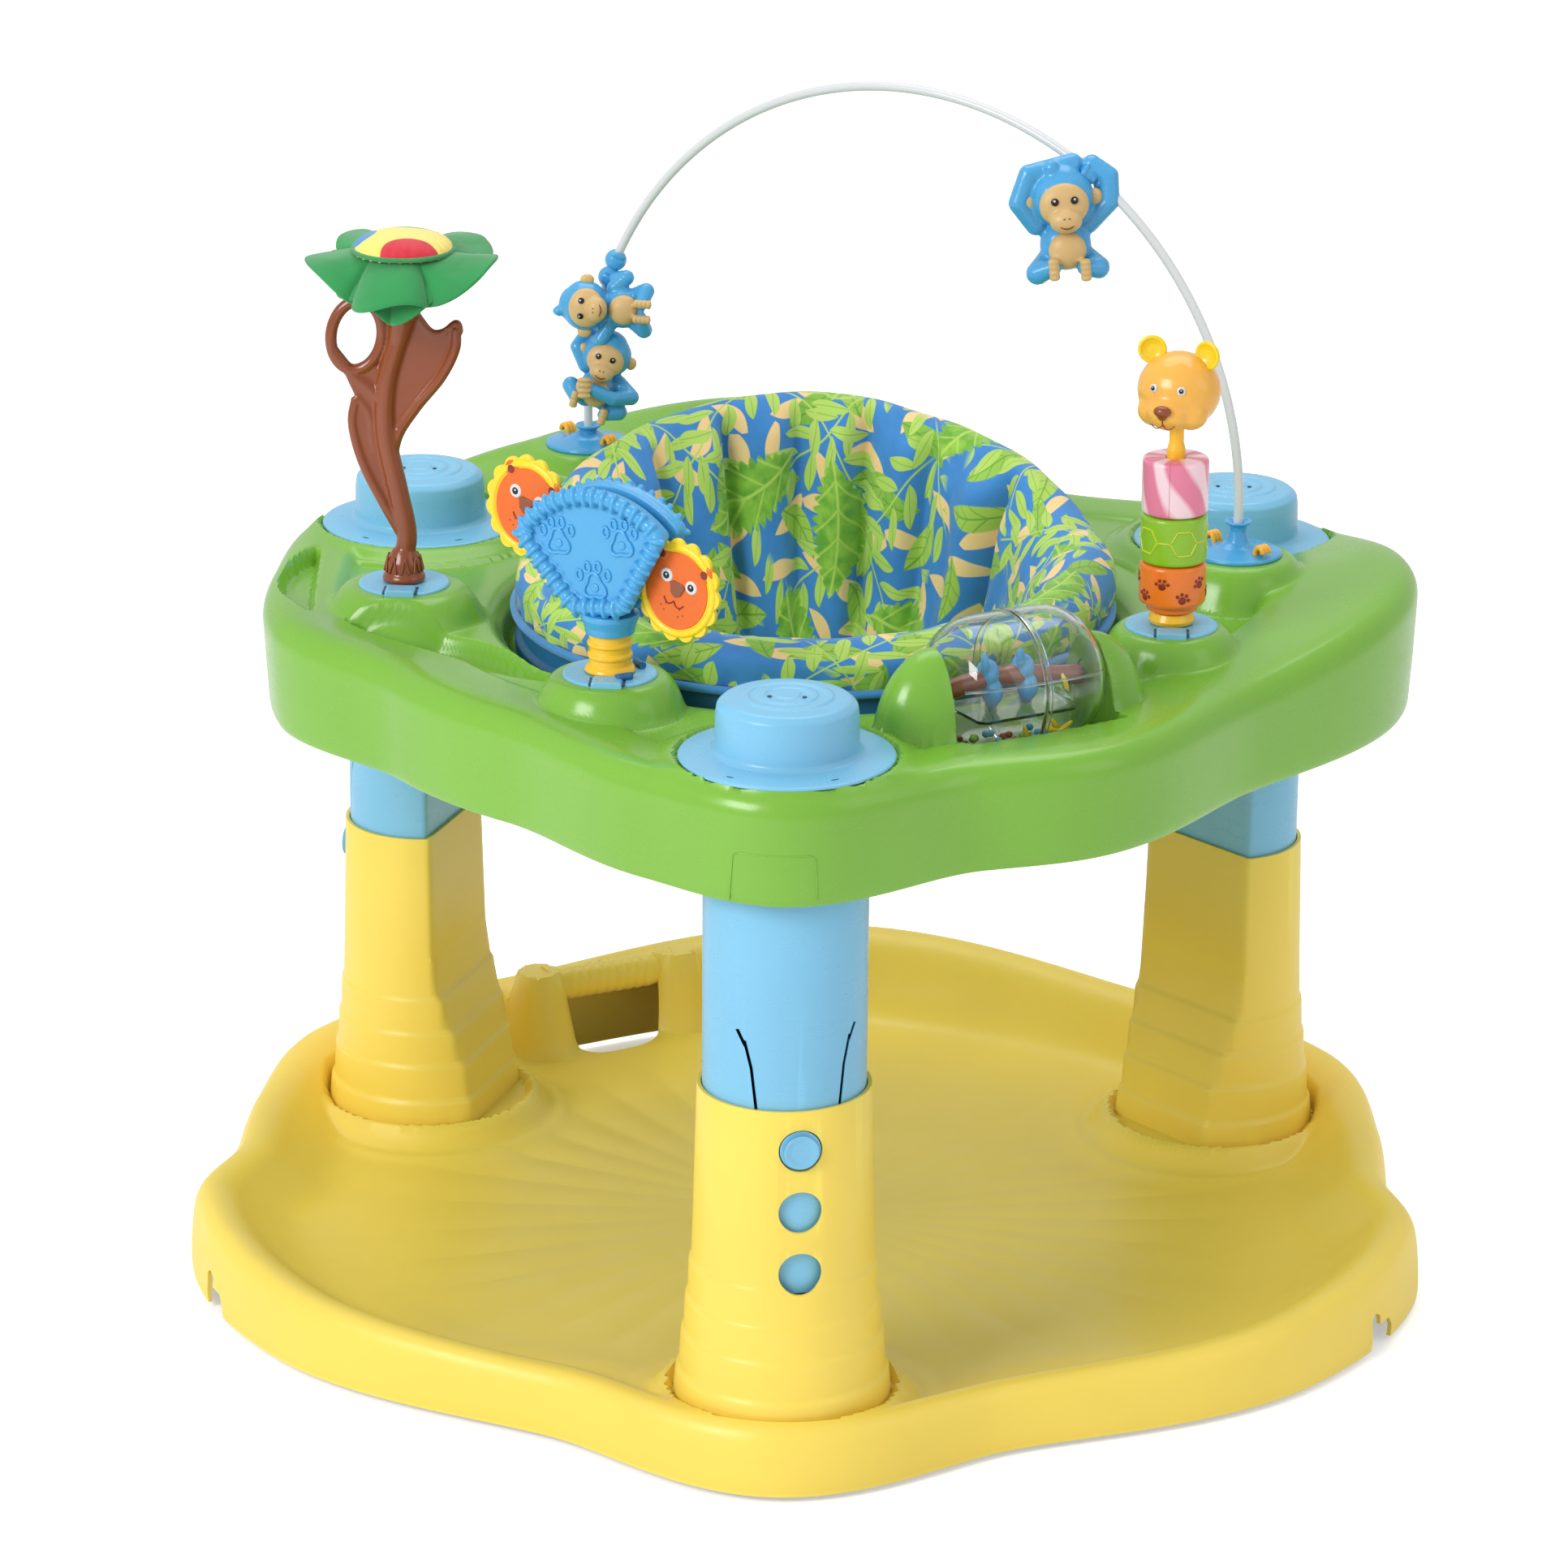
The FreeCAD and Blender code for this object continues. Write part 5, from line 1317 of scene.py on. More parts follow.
def leaf_print(name):
    """Blue cloth printed with cream leaves, green sprigs and large serrated leaves, over a weave."""
    shader = Shader(name)
    uv = shader.uv()
    blue = shader.mix(shader.noise(uv, 60.0, 3.0), srgb(44, 122, 196), srgb(66, 148, 218))
    cream, rib, pick = leaf_layer(shader, uv, 0.034, 0.034, 0.012, 1)
    colour = shader.mix(cream, blue, srgb(248, 214, 146))
    leaf, rib, pick = leaf_layer(shader, uv, 0.048, 0.044, 0.018, 5)
    green = shader.mix(pick, srgb(176, 214, 84), srgb(128, 186, 60))
    colour = shader.mix(leaf, colour, shader.mix(rib, green, srgb(96, 160, 44)))
    for pitch, turn, offset in ((0.062, 0.75, 0.0), (0.075, 2.2, 0.02)):
        sprig, rib = sprig_layer(shader, uv, pitch, turn, offset)
        tone = shader.mix(shader.noise(uv, 30.0, 1.0), srgb(168, 212, 84), srgb(196, 224, 110))
        colour = shader.mix(sprig, colour, shader.mix(rib, tone, srgb(120, 182, 58)))
    big, rib, pick = leaf_layer(shader, uv, 0.085, 0.084, 0.042, 9, serrated=True)
    paint = shader.noise(uv, 90.0, 3.0)
    deep = shader.mix(shader.remap(paint, 0.35, 0.65, 0.0, 1.0), srgb(98, 168, 44), srgb(150, 204, 64))
    present = shader.calc("MULTIPLY", big, shader.calc("GREATER_THAN", pick, 0.35))
    colour = shader.mix(present, colour, shader.mix(rib, deep, srgb(190, 222, 96)))
    threads = weave_height(shader, uv, 0.9 * MM)
    colour = shader.mix(shader.remap(threads, -1.0, 1.0, 0.0, 0.10), colour, (0.02, 0.05, 0.08))
    wrinkle = shader.noise(uv, 55.0, 4.0)
    normal = shader.bump(threads, 0.25, 0.1 * MM, shader.bump(wrinkle, 0.45, 1.5 * MM))
    return shader.set(Base_Color=colour, Roughness=0.8, Normal=normal, Sheen_Weight=0.2, Sheen_Roughness=0.5)


# ---------------------------------------------------------------- faces

def disc(name, middle, facing, radius, height, domed=0.5):
    """Small printed or set-in eye, nose or cheek disc that faces a direction."""
    line = [(0, 0), (radius, 0), (radius * 0.92, height * 0.6), (radius * 0.6, height * (0.8 + 0.2 * domed)),
            (0, height)]
    return turned(name, line, middle, 32, 0.2 * MM, facing)


def eye(name, middle, facing, up, radius, body, slot, white=True, rise=1.0):
    """White eye with a dark pupil and a small highlight; rise scales how far it stands out."""
    facing = Vector(facing).normalized()
    middle = Vector(middle)
    if white:
        finish_piece(disc(name + "_white", middle, facing, radius, 0.5 * radius * rise), MATERIALS["white"], body, slot)
    pupil = radius * (0.55 if white else 1.0)
    lift = 0.32 * radius * rise if white else 0.0
    finish_piece(disc(name + "_pupil", middle + facing * lift, facing, pupil, 0.42 * radius * rise), MATERIALS["black"],
                 body, slot)
    spot = middle + facing * (lift + 0.34 * radius * rise) + Vector(up) * pupil * 0.3
    finish_piece(disc(name + "_glint", spot, facing, pupil * 0.3, 0.12 * radius * rise), MATERIALS["white"], body, slot)


def smile(name, middle, across, up, facing, width, drop, thick, material, body, slot, depth=0.0):
    """Thin curved mouth line; depth bends its ends back round a muzzle."""
    share = np.linspace(-1, 1, 17)
    path = [middle + across * width * s + up * drop * (s * s - 1) - facing * depth * s * s for s in share]
    piece = tube(name, [tuple(p) for p in path], thick, 8)
    finish_piece(piece, material, body, slot)


# ---------------------------------------------------------------- monkeys

ARCH_MIDDLE = (ARCH_FEET["arch_socket_right"] + ARCH_FEET["arch_socket_left"]) / 2
ARCH_MIDDLE.z = 0.480
ARCH_X = ARCH_FEET["arch_socket_right"] - ARCH_FEET["arch_socket_left"]
ARCH_X.z = 0
ARCH_X.normalize()
ARCH_RADIUS = 237.5 * MM


def arch_point(station, radius=ARCH_RADIUS):
    turn = math.radians(station)
    return ARCH_MIDDLE + ARCH_X * radius * math.cos(turn) + Vector((0, 0, radius * math.sin(turn)))


def toy_frame(origin, forward, up):
    """Frame with Y away from the viewer's side of a toy and Z up along it."""
    up = Vector(up).normalized()
    back = -Vector(forward)
    back = (back - up * back.dot(up)).normalized()
    right = back.cross(up)
    matrix = Matrix((right, back, up)).transposed().to_4x4()
    matrix.translation = origin
    return matrix


def limb(name, points, radii):
    """Bent arm or leg made of short overlapping balls."""
    points, radii = np.array(points, float), np.array(radii, float)
    parts = []
    for start, end, thin, thick in zip(points, points[1:], radii, radii[1:]):
        count = max(2, int(np.linalg.norm(end - start) / (0.45 * min(thin, thick))))
        for share in np.linspace(0, 1, count):
            spot = start + (end - start) * share
            radius = thin + (thick - thin) * share
            parts.append(blob(spot * MM, (radius * MM,) * 3, None, 2))
    return parts


def make_monkey(name, body, matrix, arms, legs, scale, blink=False):
    """Blue monkey with tan face, belly, hands and toes; arms and legs are paths in its own frame."""
    tilt = Quaternion((1, 0, 0), 0.12)
    blue = [blob(np.array((0, 2, 15)) * MM, (18.5 * MM, 15 * MM, 17 * MM)),
            blob(np.array((0, 3, 24)) * MM, (13 * MM, 11 * MM, 10 * MM)),
            blob(np.array((0, 3, -13)) * MM, (15 * MM, 12 * MM, 15 * MM)),
            blob(np.array((-5, -1, 33)) * MM, (4 * MM, 4 * MM, 5 * MM), None, 2)]
    for path, radii in arms + legs:
        blue += limb("limb", path, radii)
    skin = moulded(name + "_skin", blue, 1.1 * MM, 5)
    face = [blob(np.array((0, -9.5, 13)) * MM, (14.5 * MM, 6.5 * MM, 13 * MM)),
            blob(np.array((0, -14.5, 5)) * MM, (9.5 * MM, 7 * MM, 7.5 * MM)),
            blob(np.array((0, -8, -14)) * MM, (11 * MM, 6.5 * MM, 11 * MM)),
            blob(np.array((-19, 0, 14)) * MM, (4.5 * MM, 3 * MM, 5.5 * MM), tilt, 2),
            blob(np.array((19, 0, 14)) * MM, (4.5 * MM, 3 * MM, 5.5 * MM), tilt, 2)]
    for path, radii in legs:
        toe = np.array(path[-1], float)
        for finger in range(4):
            spot = toe + np.array((0, -3.2, 4.2 - finger * 3.2))
            face.append(blob(spot * MM, (3.6 * MM, 3.4 * MM, 2.0 * MM), None, 2))
    tan = moulded(name + "_face_skin", face, 0.9 * MM, 4)
    grow = Matrix.Scale(scale, 4)
    for piece, material, node in ((skin, "toy_blue", name), (tan, "tan", name + "_face")):
        piece.data.transform(matrix @ grow)
        finish_piece(piece, MATERIALS[material], body, "toy_blue" if node == name else "tan", node)
    turn = matrix.to_3x3()
    facing, up, across = turn @ Vector((0, -1, 0)), turn @ Vector((0, 0, 1)), turn @ Vector((1, 0, 0))
    for number, side in enumerate((-1, 1)):
        spot = matrix @ (Vector((side * 5.6, -15.4, 16.5)) * MM * scale)
        aim = (facing + across * side * 0.25 + up * 0.1).normalized()
        eye(name + "_eye_%d" % number, spot, aim, up, 2.3 * MM * scale, body, "tan", white=False)
        nostril = matrix @ (Vector((side * 1.5, -21.3, 7.5)) * MM * scale)
        finish_piece(disc(name + "_nostril_%d" % number, nostril, facing, 0.5 * MM * scale, 0.4 * MM),
                     MATERIALS["dark_red"], body, "tan")
    mouth = matrix @ (Vector((0, -21.2, 3.4)) * MM * scale)
    smile(name + "_mouth", mouth, across, up, facing, 4.6 * MM * scale, 1.8 * MM * scale, 0.4 * MM,
          MATERIALS["dark_red"], body, "tan", depth=1.6 * MM * scale)
    return skin


def monkey_hands(name, body, spot, along, facing):
    """Two clasped fists round the rod, with finger creases between them."""
    along, facing = Vector(along).normalized(), Vector(facing).normalized()
    side = along.cross(facing)
    parts = []
    for offset in (-6.5, 6.5):
        middle = spot + along * offset * MM
        parts.append(blob(middle, (7.2 * MM, 7.2 * MM, 7.2 * MM)))
        for finger in range(3):
            knuckle = middle + facing * 5.2 * MM + along * (finger - 1) * 3.8 * MM
            turn = Vector((0, 0, 1)).rotation_difference(side)
            parts.append(blob(knuckle, (2.1 * MM, 2.1 * MM, 5.6 * MM), turn, 2))
    piece = moulded(name + "_fists", parts, 0.8 * MM, 2)
    finish_piece(piece, MATERIALS["toy_blue"], body, "toy_blue")


def make_monkeys():
    front = Vector((0.18, -1, 0.12))
    spot = arch_point(56)
    hang = toy_frame(spot + Vector((-0.019, -0.012, -0.026)), (0.1, -1, 0.1), (-0.10, 0, 1))
    arms = [([(-16, 4, 0), (-25, 2, 14), (-18, 3, 30), (8, 8, 33)], (6.5, 6.2, 6, 6)),
            ([(14, 4, -2), (27, 2, 10), (28, 4, 24), (19, 8, 31)], (6.5, 6.2, 6, 6))]
    legs = [([(-10, 4, -22), (-18, -6, -26), (-9, -12, -22)], (8, 7, 5)),
            ([(10, 4, -22), (17, -6, -26), (9, -12, -24)], (8, 7, 5))]
    make_monkey("monkey_right", "monkey_a", hang, arms, legs, 1.08)
    monkey_hands("monkey_right", "monkey_a", spot, (0.83, 0.3, -0.56), front)

    spot = arch_point(161)
    lying = toy_frame(spot + Vector((0.002, -0.020, -0.006)), (0.25, -1, 0.1), (-1, 0, 0.05))
    arms = [([(-12, 4, -4), (-24, 2, 2), (-26, 8, 6)], (6, 5.5, 5.5)),
            ([(14, 4, -6), (22, 2, -14), (20, 10, -6)], (6.2, 6, 5.5))]
    legs = [([(-8, 4, -20), (-14, -4, -29), (-5, -12, -27)], (7, 6.5, 5)),
            ([(8, 4, -20), (14, -4, -29), (6, -12, -27)], (7, 6.5, 5))]
    make_monkey("monkey_upper", "monkey_b", lying, arms, legs, 0.9)
    monkey_hands("monkey_upper", "monkey_b", arch_point(157), (0.35, -0.15, 0.9), front)

    spot = arch_point(174.4)
    hugging = toy_frame(spot + Vector((0.010, -0.020, 0.002)), (0.0, -1, 0.15), (0.28, 0, 1))
    arms = [([(-14, 2, 2), (-24, 2, 14), (-20, 12, 26), (-8, 14, 20)], (6, 5.6, 5.2, 5)),
            ([(14, 2, -4), (26, -4, -10), (14, -16, -12), (-6, -20, -8)], (6.4, 6.6, 5.8, 5))]
    legs = [([(-8, 4, -22), (-20, -6, -14), (-14, -14, -20)], (8, 7, 5)),
            ([(8, 4, -22), (20, -4, -24), (10, -10, -28)], (8, 7, 5))]
    make_monkey("monkey_lower", "monkey_c", hugging, arms, legs, 0.86)
    hand = hugging @ (Vector((-9, -20, -8)) * 0.86 * MM)
    parts = [blob(hand, (6 * MM, 5 * MM, 6 * MM))]
    for finger in range(4):
        parts.append(blob(hand + Vector((0.0, -0.004, 0.0055 - 0.0036 * finger)), (5 * MM, 2.6 * MM, 1.9 * MM),
                          None, 2))
    finish_piece(moulded("monkey_lower_hand", parts, 0.8 * MM, 2), MATERIALS["tan"], "monkey_c", "tan")


def make_arch_feet():
    """Blue trumpet sockets of the arch with their discs."""
    for name, foot in ARCH_FEET.items():
        top = ARCH_RISE[name] / MM
        low = foot.z / MM
        line = [(0, low - 5), (12, low - 5), (12, low - 1), (27.2, low - 0.6), (28, low + 0.4), (27.4, low + 2.2),
                (20, low + 3.4), (12, low + 5.0), (7, low + 8), (5.2, low + top - 6), (5.6, low + top - 3),
                (8.4, low + top - 1), (8.6, low + top), (7.6, low + top + 0.6), (3.4, low + top - 1.2), (2.8, low + top - 3)]
        piece = turned(name + "_skin", [(r * MM, z * MM) for r, z in line], (foot.x, foot.y, 0), 80, 0.9 * MM)
        finish_piece(piece, MATERIALS["toy_blue"], "tray", "toy_blue", name)


def make_arch_rod():
    """White rod bent to a half circle with straight ends that drop into the sockets."""
    right, left = ARCH_FEET["arch_socket_right"], ARCH_FEET["arch_socket_left"]
    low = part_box("arch_rod")[0].z
    path = [arch_point(station) for station in np.linspace(0, 180, 140)]
    drop = np.linspace(0, ARCH_MIDDLE.z - low, 8)[1:]
    path = [path[0] - Vector((0, 0, d)) for d in drop[::-1]] + path + [path[-1] - Vector((0, 0, d)) for d in drop]
    piece = tube("arch_rod_skin", [tuple(point) for point in path], 2.9 * MM, 24)
    finish_piece(piece, MATERIALS["white"], "tray", "rod_white", "arch_rod")
    for number, foot in enumerate((right, left)):
        clips = []
        for side in (-1, 1):
            turn = math.radians(45 + 90 * side)
            away, along = Vector((math.cos(turn), math.sin(turn), 0)), Vector((-math.sin(turn), math.cos(turn), 0))
            spot = foot + away * 21 * MM
            bend = [(-3.0, 0.4), (-3.2, 5.0), (-1.0, 8.6), (2.2, 8.0), (3.4, 5.2)]
            path = smooth_path([tuple(spot + away * a * MM + Vector((0, 0, z * MM))) for a, z in bend], 14)
            for offset in (-2.6, 0.0, 2.6):
                clips.append(tube("part", path + np.array(along) * offset * MM, 1.7 * MM, 12))
        piece = joined("arch_clips_%d" % number, clips)
        nodes = ("arch_clips",) if number == 0 else ()
        finish_piece(piece, MATERIALS["clip"], "tray", "clip_orange", *nodes)


# ---------------------------------------------------------------- tree toy

def smooth_path(points, count):
    """Catmull-Rom curve through points."""
    points = np.array(points, float)
    padded = np.vstack([2 * points[0] - points[1], points, 2 * points[-1] - points[-2]])
    result = []
    spans = len(points) - 1
    for share in np.linspace(0, spans, count):
        index = min(int(share), spans - 1)
        t = share - index
        a, b, c, d = padded[index:index + 4]
        result.append(0.5 * (2 * b + (c - a) * t + (2 * a - 5 * b + 4 * c - d) * t ** 2 + (3 * b - a - 3 * c + d) * t ** 3))
    return np.array(result)


def make_tree():
    """Brown tree: root cup, bent stem, oval loop, leaf blades with raised edges, cup under the flower."""
    base = PLUGS["tree_plug"]
    x0, y0, z0 = base.x / MM, base.y / MM, 443.0

    def at(points):
        return np.array([(x0 + x, y0 + y, z0 + z) for x, y, z in points])

    stem = smooth_path(at([(0, 0, 16), (2, 0, 34), (-3, 0, 60), (-10, 0, 96), (-9, 0, 128), (-1, 0, 158), (2, 0, 176)]), 90)
    radii = np.interp(np.linspace(0, 1, 90), [0, 0.2, 0.5, 0.8, 0.92, 1], [6.4, 6.2, 6.4, 6.4, 8.5, 11.5])
    parts = [tube("part", stem * MM, radii * MM, 28)]
    angles = np.linspace(0, TAU, 64, endpoint=False)
    loop = np.array([(x0 - 27 + 15.5 * math.cos(a) + 2 * math.sin(a), y0, 600 + 21.5 * math.sin(a)) for a in angles])
    parts.append(tube("part", loop * MM, 3.7 * MM, 20, closed=True))
    parts.append(tube("part", smooth_path(at([(-42, 0, 148), (-30, 0, 133), (-14, 0, 118), (-8, 0, 96)]), 30) * MM,
                      np.linspace(3.6, 4.2, 30) * MM, 16))
    parts.append(tube("part", smooth_path(at([(34, -2, 163), (33, -2, 150), (24, -1, 132), (8, 0, 112), (-4, 0, 92), (-8, 0, 64)]),
                                          50) * MM, np.linspace(3.0, 4.0, 50) * MM, 16))
    parts.append(tube("part", smooth_path(at([(-28, 0, 118), (-30, 0, 100), (-22, 0, 72), (-2, 0, 34)]), 40) * MM,
                      np.linspace(3.0, 3.6, 40) * MM, 14))
    parts.append(tube("part", smooth_path(at([(-27, 0, 119), (-20, 0, 108), (-18, 0, 92), (-16, 0, 84)]), 24) * MM,
                      2.6 * MM, 14))
    parts.append(tube("part", smooth_path(at([(10, 0, 170), (18, 0, 160), (26, 0, 160), (34, -1, 166), (36, -2, 160)]), 24) * MM,
                      2.6 * MM, 14))
    frame = Matrix.Translation((x0 * MM, y0 * MM, z0 * MM))
    blades = ([(-4, 172), (8, 172), (17, 160), (27, 160), (35, 165), (33, 150), (24, 132), (8, 112), (-4, 92), (-9, 60), (-14, 90)],
              [(-36, 136), (-28, 138), (-12, 138), (-4, 120), (-6, 90), (-10, 52), (-20, 92), (-28, 118)],
              [(-28, 118), (-19, 106), (-17, 88), (-9, 60), (-2, 34), (-22, 72), (-30, 100)])
    for outline in blades:
        parts.append(plate("part", [(x * MM, z * MM) for x, z in outline], -1.8 * MM, 1.8 * MM, frame, 0.6 * MM))
    cup = [(0, 20), (6.5, 20), (8.2, 17), (10.6, 12), (11.4, 5), (12.4, 4.2), (13.2, 2.4), (13.2, 0.6), (12.6, -0.2), (0, -0.2)]
    parts.append(turned("part", [(r * MM, z * MM) for r, z in cup], (x0 * MM, y0 * MM, (z0 + 3.4) * MM), 64, 0.6 * MM))
    piece = moulded("tree_skin", parts, 0.9 * MM, 3, 0.45)
    finish_piece(piece, MATERIALS["brown"], "tray", "bark_brown", "tree_stem")
    leaves = []
    for index in range(9):
        turn = index * TAU / 9
        for side in (-1, 1):
            path = [(12.0 - 2.0 * s, side * 2.6 * (1 - s), 6.0 + 10 * s) for s in np.linspace(0, 1, 8)]
            path = [(r * math.cos(turn + d / 12), r * math.sin(turn + d / 12), h) for r, d, h in path]
            path = np.array(path) + np.array((x0, y0, z0 + 3.4))
            leaves.append(tube("part", path * MM, 0.65 * MM, 8))
    piece = joined("tree_root_marks", leaves)
    finish_piece(piece, MATERIALS["brown"], "tray", "bark_brown")
    cup = [(0, 168), (9, 168), (11.5, 176), (13, 186), (16.5, 196), (21.5, 203), (21.5, 207), (0, 207)]
    piece = turned("tree_flower_cup", [(r * MM, z * MM) for r, z in cup], ((x0 + 2) * MM, y0 * MM, z0 * MM), 64, 1.2 * MM)
    finish_piece(piece, MATERIALS["brown"], "tray", "bark_brown")


def petal_points(columns, rows, centre_at, reach, phase):
    """Round skirt of five drooping, arched petals, in mm."""
    points = np.zeros((columns, rows, 3))
    for index in range(columns):
        angle = index * TAU / columns
        lobe = abs(math.cos(2.5 * (angle + phase)))
        outer = 36 + (reach - 36) * lobe ** 0.36
        front = max(0.0, math.cos(angle + 1.75)) ** 1.2
        sideways = abs(math.cos(angle)) ** 2
        twist = math.sin(5 * (angle + phase))
        for row in range(rows):
            share = row / (rows - 1)
            radius = 20 + (outer - 20) * share * (1 - 0.26 * front * share)
            drop = (3 + 21 * front + 9 * (1 - lobe)) * share ** 1.6
            curl = 5.5 * sideways * lobe * max(0.0, share - 0.55) + 3.4 * twist * share ** 1.5
            points[index, row] = (centre_at[0] + radius * math.cos(angle), centre_at[1] + radius * math.sin(angle),
                                  centre_at[2] - drop + curl)
    return points


def make_flower():
    """Sewn flower: drooping green petals in two layers and a puffed patchwork pad."""
    pad_low, pad_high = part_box("flower_pad")
    middle = (pad_low + pad_high) / 2 / MM
    top = pad_low.z / MM
    columns, rows = 200, 20
    for number, (height, reach, phase) in enumerate(((top + 1.0, 62, 0.45), (top - 5.0, 48, 1.08))):
        points = petal_points(columns, rows, (middle.x, middle.y, height), reach, phase)
        name = "flower_petals_%d" % number
        piece = sheet(name, points * MM, wrap_u=True)
        outward_up(piece)
        weights = np.zeros((columns, rows))
        weights[:, :4] = 1
        weights[::20, :12] = 0.6
        group = pin_group(piece, weights.reshape(-1))
        rest = settle_cloth(piece, group, 1.5, 12)
        limit_travel(piece, rest, 4 * MM)
        wall = piece.modifiers.new("wall", "SOLIDIFY")
        wall.thickness = 2.2 * MM
        round_off = piece.modifiers.new("round", "SUBSURF")
        round_off.levels = round_off.render_levels = 1
        bake(piece)
        nodes = ("flower_petals",) if number == 0 else ()
        finish_piece(piece, MATERIALS["petal"], "tray", "petal_cloth", *nodes)
    rim = np.array([(middle.x + 30 * math.cos(a), middle.y + 30 * math.sin(a), top + 1.2) for a in np.linspace(0, TAU, 80, endpoint=False)])
    piece = tube("flower_seam", rim * MM, 1.5 * MM, 10, closed=True)
    finish_piece(piece, MATERIALS["petal"], "tray", "petal_cloth")
    columns, rows = 120, 26
    points = np.zeros((columns, rows, 3))
    for index in range(columns):
        angle = index * TAU / columns
        for row in range(rows):
            share = row / (rows - 1)
            radius = 30.5 * (1 - share)
            pucker = 0.7 * math.sin(angle * 30) * smooth(0.30, 0.05, share)
            points[index, row] = (middle.x + radius * math.cos(angle), middle.y + radius * math.sin(angle),
                                  top + 12.5 * math.sqrt(max(0.0, 1 - (1 - share) ** 2.4)) + pucker)
    piece = sheet("flower_pad_skin", points * MM, wrap_u=True)
    weld(piece, 1e-5)
    outward_up(piece)
    finish_piece(piece, pad_patches(middle), "tray", "pad_cloth", "flower_pad")


def pad_patches(middle):
    """Pad cover: yellow field, red and blue-green patches with gathered edges."""
    shader = Shader("flower_pad_cover")
    where = shader.vector("SUBTRACT", shader.place(), tuple(middle * MM))
    x, y, _ = shader.split(where)
    field = shader.mix(shader.noise(where, 60.0, 3.0), srgb(250, 216, 92), srgb(255, 232, 130))
    red = shader.mix(shader.noise(where, 120.0, 3.0), srgb(196, 24, 44), srgb(224, 48, 66))

    def patch(cx, cy, rx, ry):
        u = shader.calc("DIVIDE", shader.calc("SUBTRACT", x, cx * MM), rx * MM)
        v = shader.calc("DIVIDE", shader.calc("SUBTRACT", y, cy * MM), ry * MM)
        away = shader.calc("ADD", shader.calc("MULTIPLY", u, u), shader.calc("MULTIPLY", v, v))
        return shader.remap(away, 0.94, 1.0, 1.0, 0.0)

    colour = shader.mix(patch(9, -27, 20, 13), field, red)
    colour = shader.mix(patch(-25, 2, 9, 12), colour, srgb(70, 140, 200))
    colour = shader.mix(patch(6, 20, 18, 12), colour, srgb(120, 180, 70))
    threads = weave_height(shader, where, 0.9 * MM)
    gathers = shader.noise(shader.vector("MULTIPLY", where, (220.0, 60.0, 60.0)), 1.0, 2.0)
    normal = shader.bump(threads, 0.25, 0.1 * MM, shader.bump(gathers, 0.5, 1.2 * MM))
    return shader.set(Base_Color=colour, Roughness=0.75, Normal=normal, Sheen_Weight=0.3)


# ---------------------------------------------------------------- fan toy

FAN = PLUGS["fan_plug"]
FAN_TURN, FAN_TILT = math.radians(-32), math.radians(-8)
FAN_BASE = Matrix.Translation((FAN.x, FAN.y, 0.484)) @ Matrix.Rotation(FAN_TURN, 4, "Z") @ Matrix.Rotation(FAN_TILT, 4, "Y")


def fan_edge(inset, count=40):
    """Fan outline as (x, z) pairs in mm, moved in by an inset."""
    half, bow = 56.0 - inset * 1.25, 76.0 - inset
    points = [(-half, 49.0 - inset * 0.2), (-20 + inset * 0.55, 0 + inset), (20 - inset * 0.55, 0 + inset),
              (half, 49.0 - inset * 0.2)]
    arc = []
    sag = bow - points[0][1]
    radius = (half * half + sag * sag) / (2 * sag)
    reach = math.asin(half / radius)
    for turn in np.linspace(reach, -reach, count)[1:-1]:
        arc.append((radius * math.sin(turn), bow - radius + radius * math.cos(turn)))
    return points, arc


def fan_border_path(inset, spacing=1.5):
    points, arc = fan_edge(inset)
    line = np.array(points + arc + [points[0]])
    steps = np.linalg.norm(np.diff(line, axis=0), axis=1)
    along = np.concatenate([[0], np.cumsum(steps)])
    where = np.linspace(0, along[-1], int(along[-1] / spacing), endpoint=False)
    path = np.stack([np.interp(where, along, line[:, 0]), np.interp(where, along, line[:, 1])], axis=1)
    for _ in range(3):
        path = (np.roll(path, 1, 0) + 2 * path + np.roll(path, -1, 0)) / 4
    return path


def make_fan_shell(name, side):
    """One fan shell: recessed face, padded border with short cross ribs, three raised paw prints."""
    front = side < 0
    outline = [tuple(p * MM) for p in fan_border_path(1.5)]
    low, high = (-10.2, -3.8) if front else (3.8, 10.2)
    board = plate("part", outline, low * MM, high * MM, None, 0.8 * MM)
    face = low if front else high
    border = fan_border_path(4.6)
    path = np.stack([border[:, 0], np.full(len(border), face * 1.0), border[:, 1]], axis=1)
    ring = tube("part", path * MM, 4.4 * MM, 16, closed=True)
    parts = [board, ring]
    count = 36
    indexes = np.linspace(0, len(border), count, endpoint=False).astype(int)
    for index in indexes:
        here = border[index]
        ahead = border[(index + 2) % len(border)] - border[index - 2]
        ahead = ahead / np.linalg.norm(ahead)
        across = np.array((-ahead[1], ahead[0]))
        bend = np.linspace(-1, 1, 9)
        rib = [(here[0] + across[0] * 5.6 * b, face + (-1 if front else 1) * 4.6 * math.sqrt(max(0, 1 - (b * 0.96) ** 2)),
                here[1] + across[1] * 5.6 * b) for b in bend]
        parts.append(tube("part", np.array(rib) * MM, 1.7 * MM, 8))
    shell = moulded(name + "_skin", parts, 0.7 * MM, 1, 0.4)
    shell.data.transform(FAN_BASE)
    finish_piece(shell, MATERIALS["toy_blue"], "tray", "toy_blue", name)
    prints = []
    for cx, cz, size in ((-24, 46, 1.0), (22, 46, 1.0), (-1, 20, 1.0)):
        prints += paw_print(cx, cz, size, face + (-0.3 if front else 0.3))
    piece = joined(name + "_prints", prints)
    piece.data.transform(FAN_BASE)
    finish_piece(piece, MATERIALS["toy_blue"], "tray", "toy_blue")


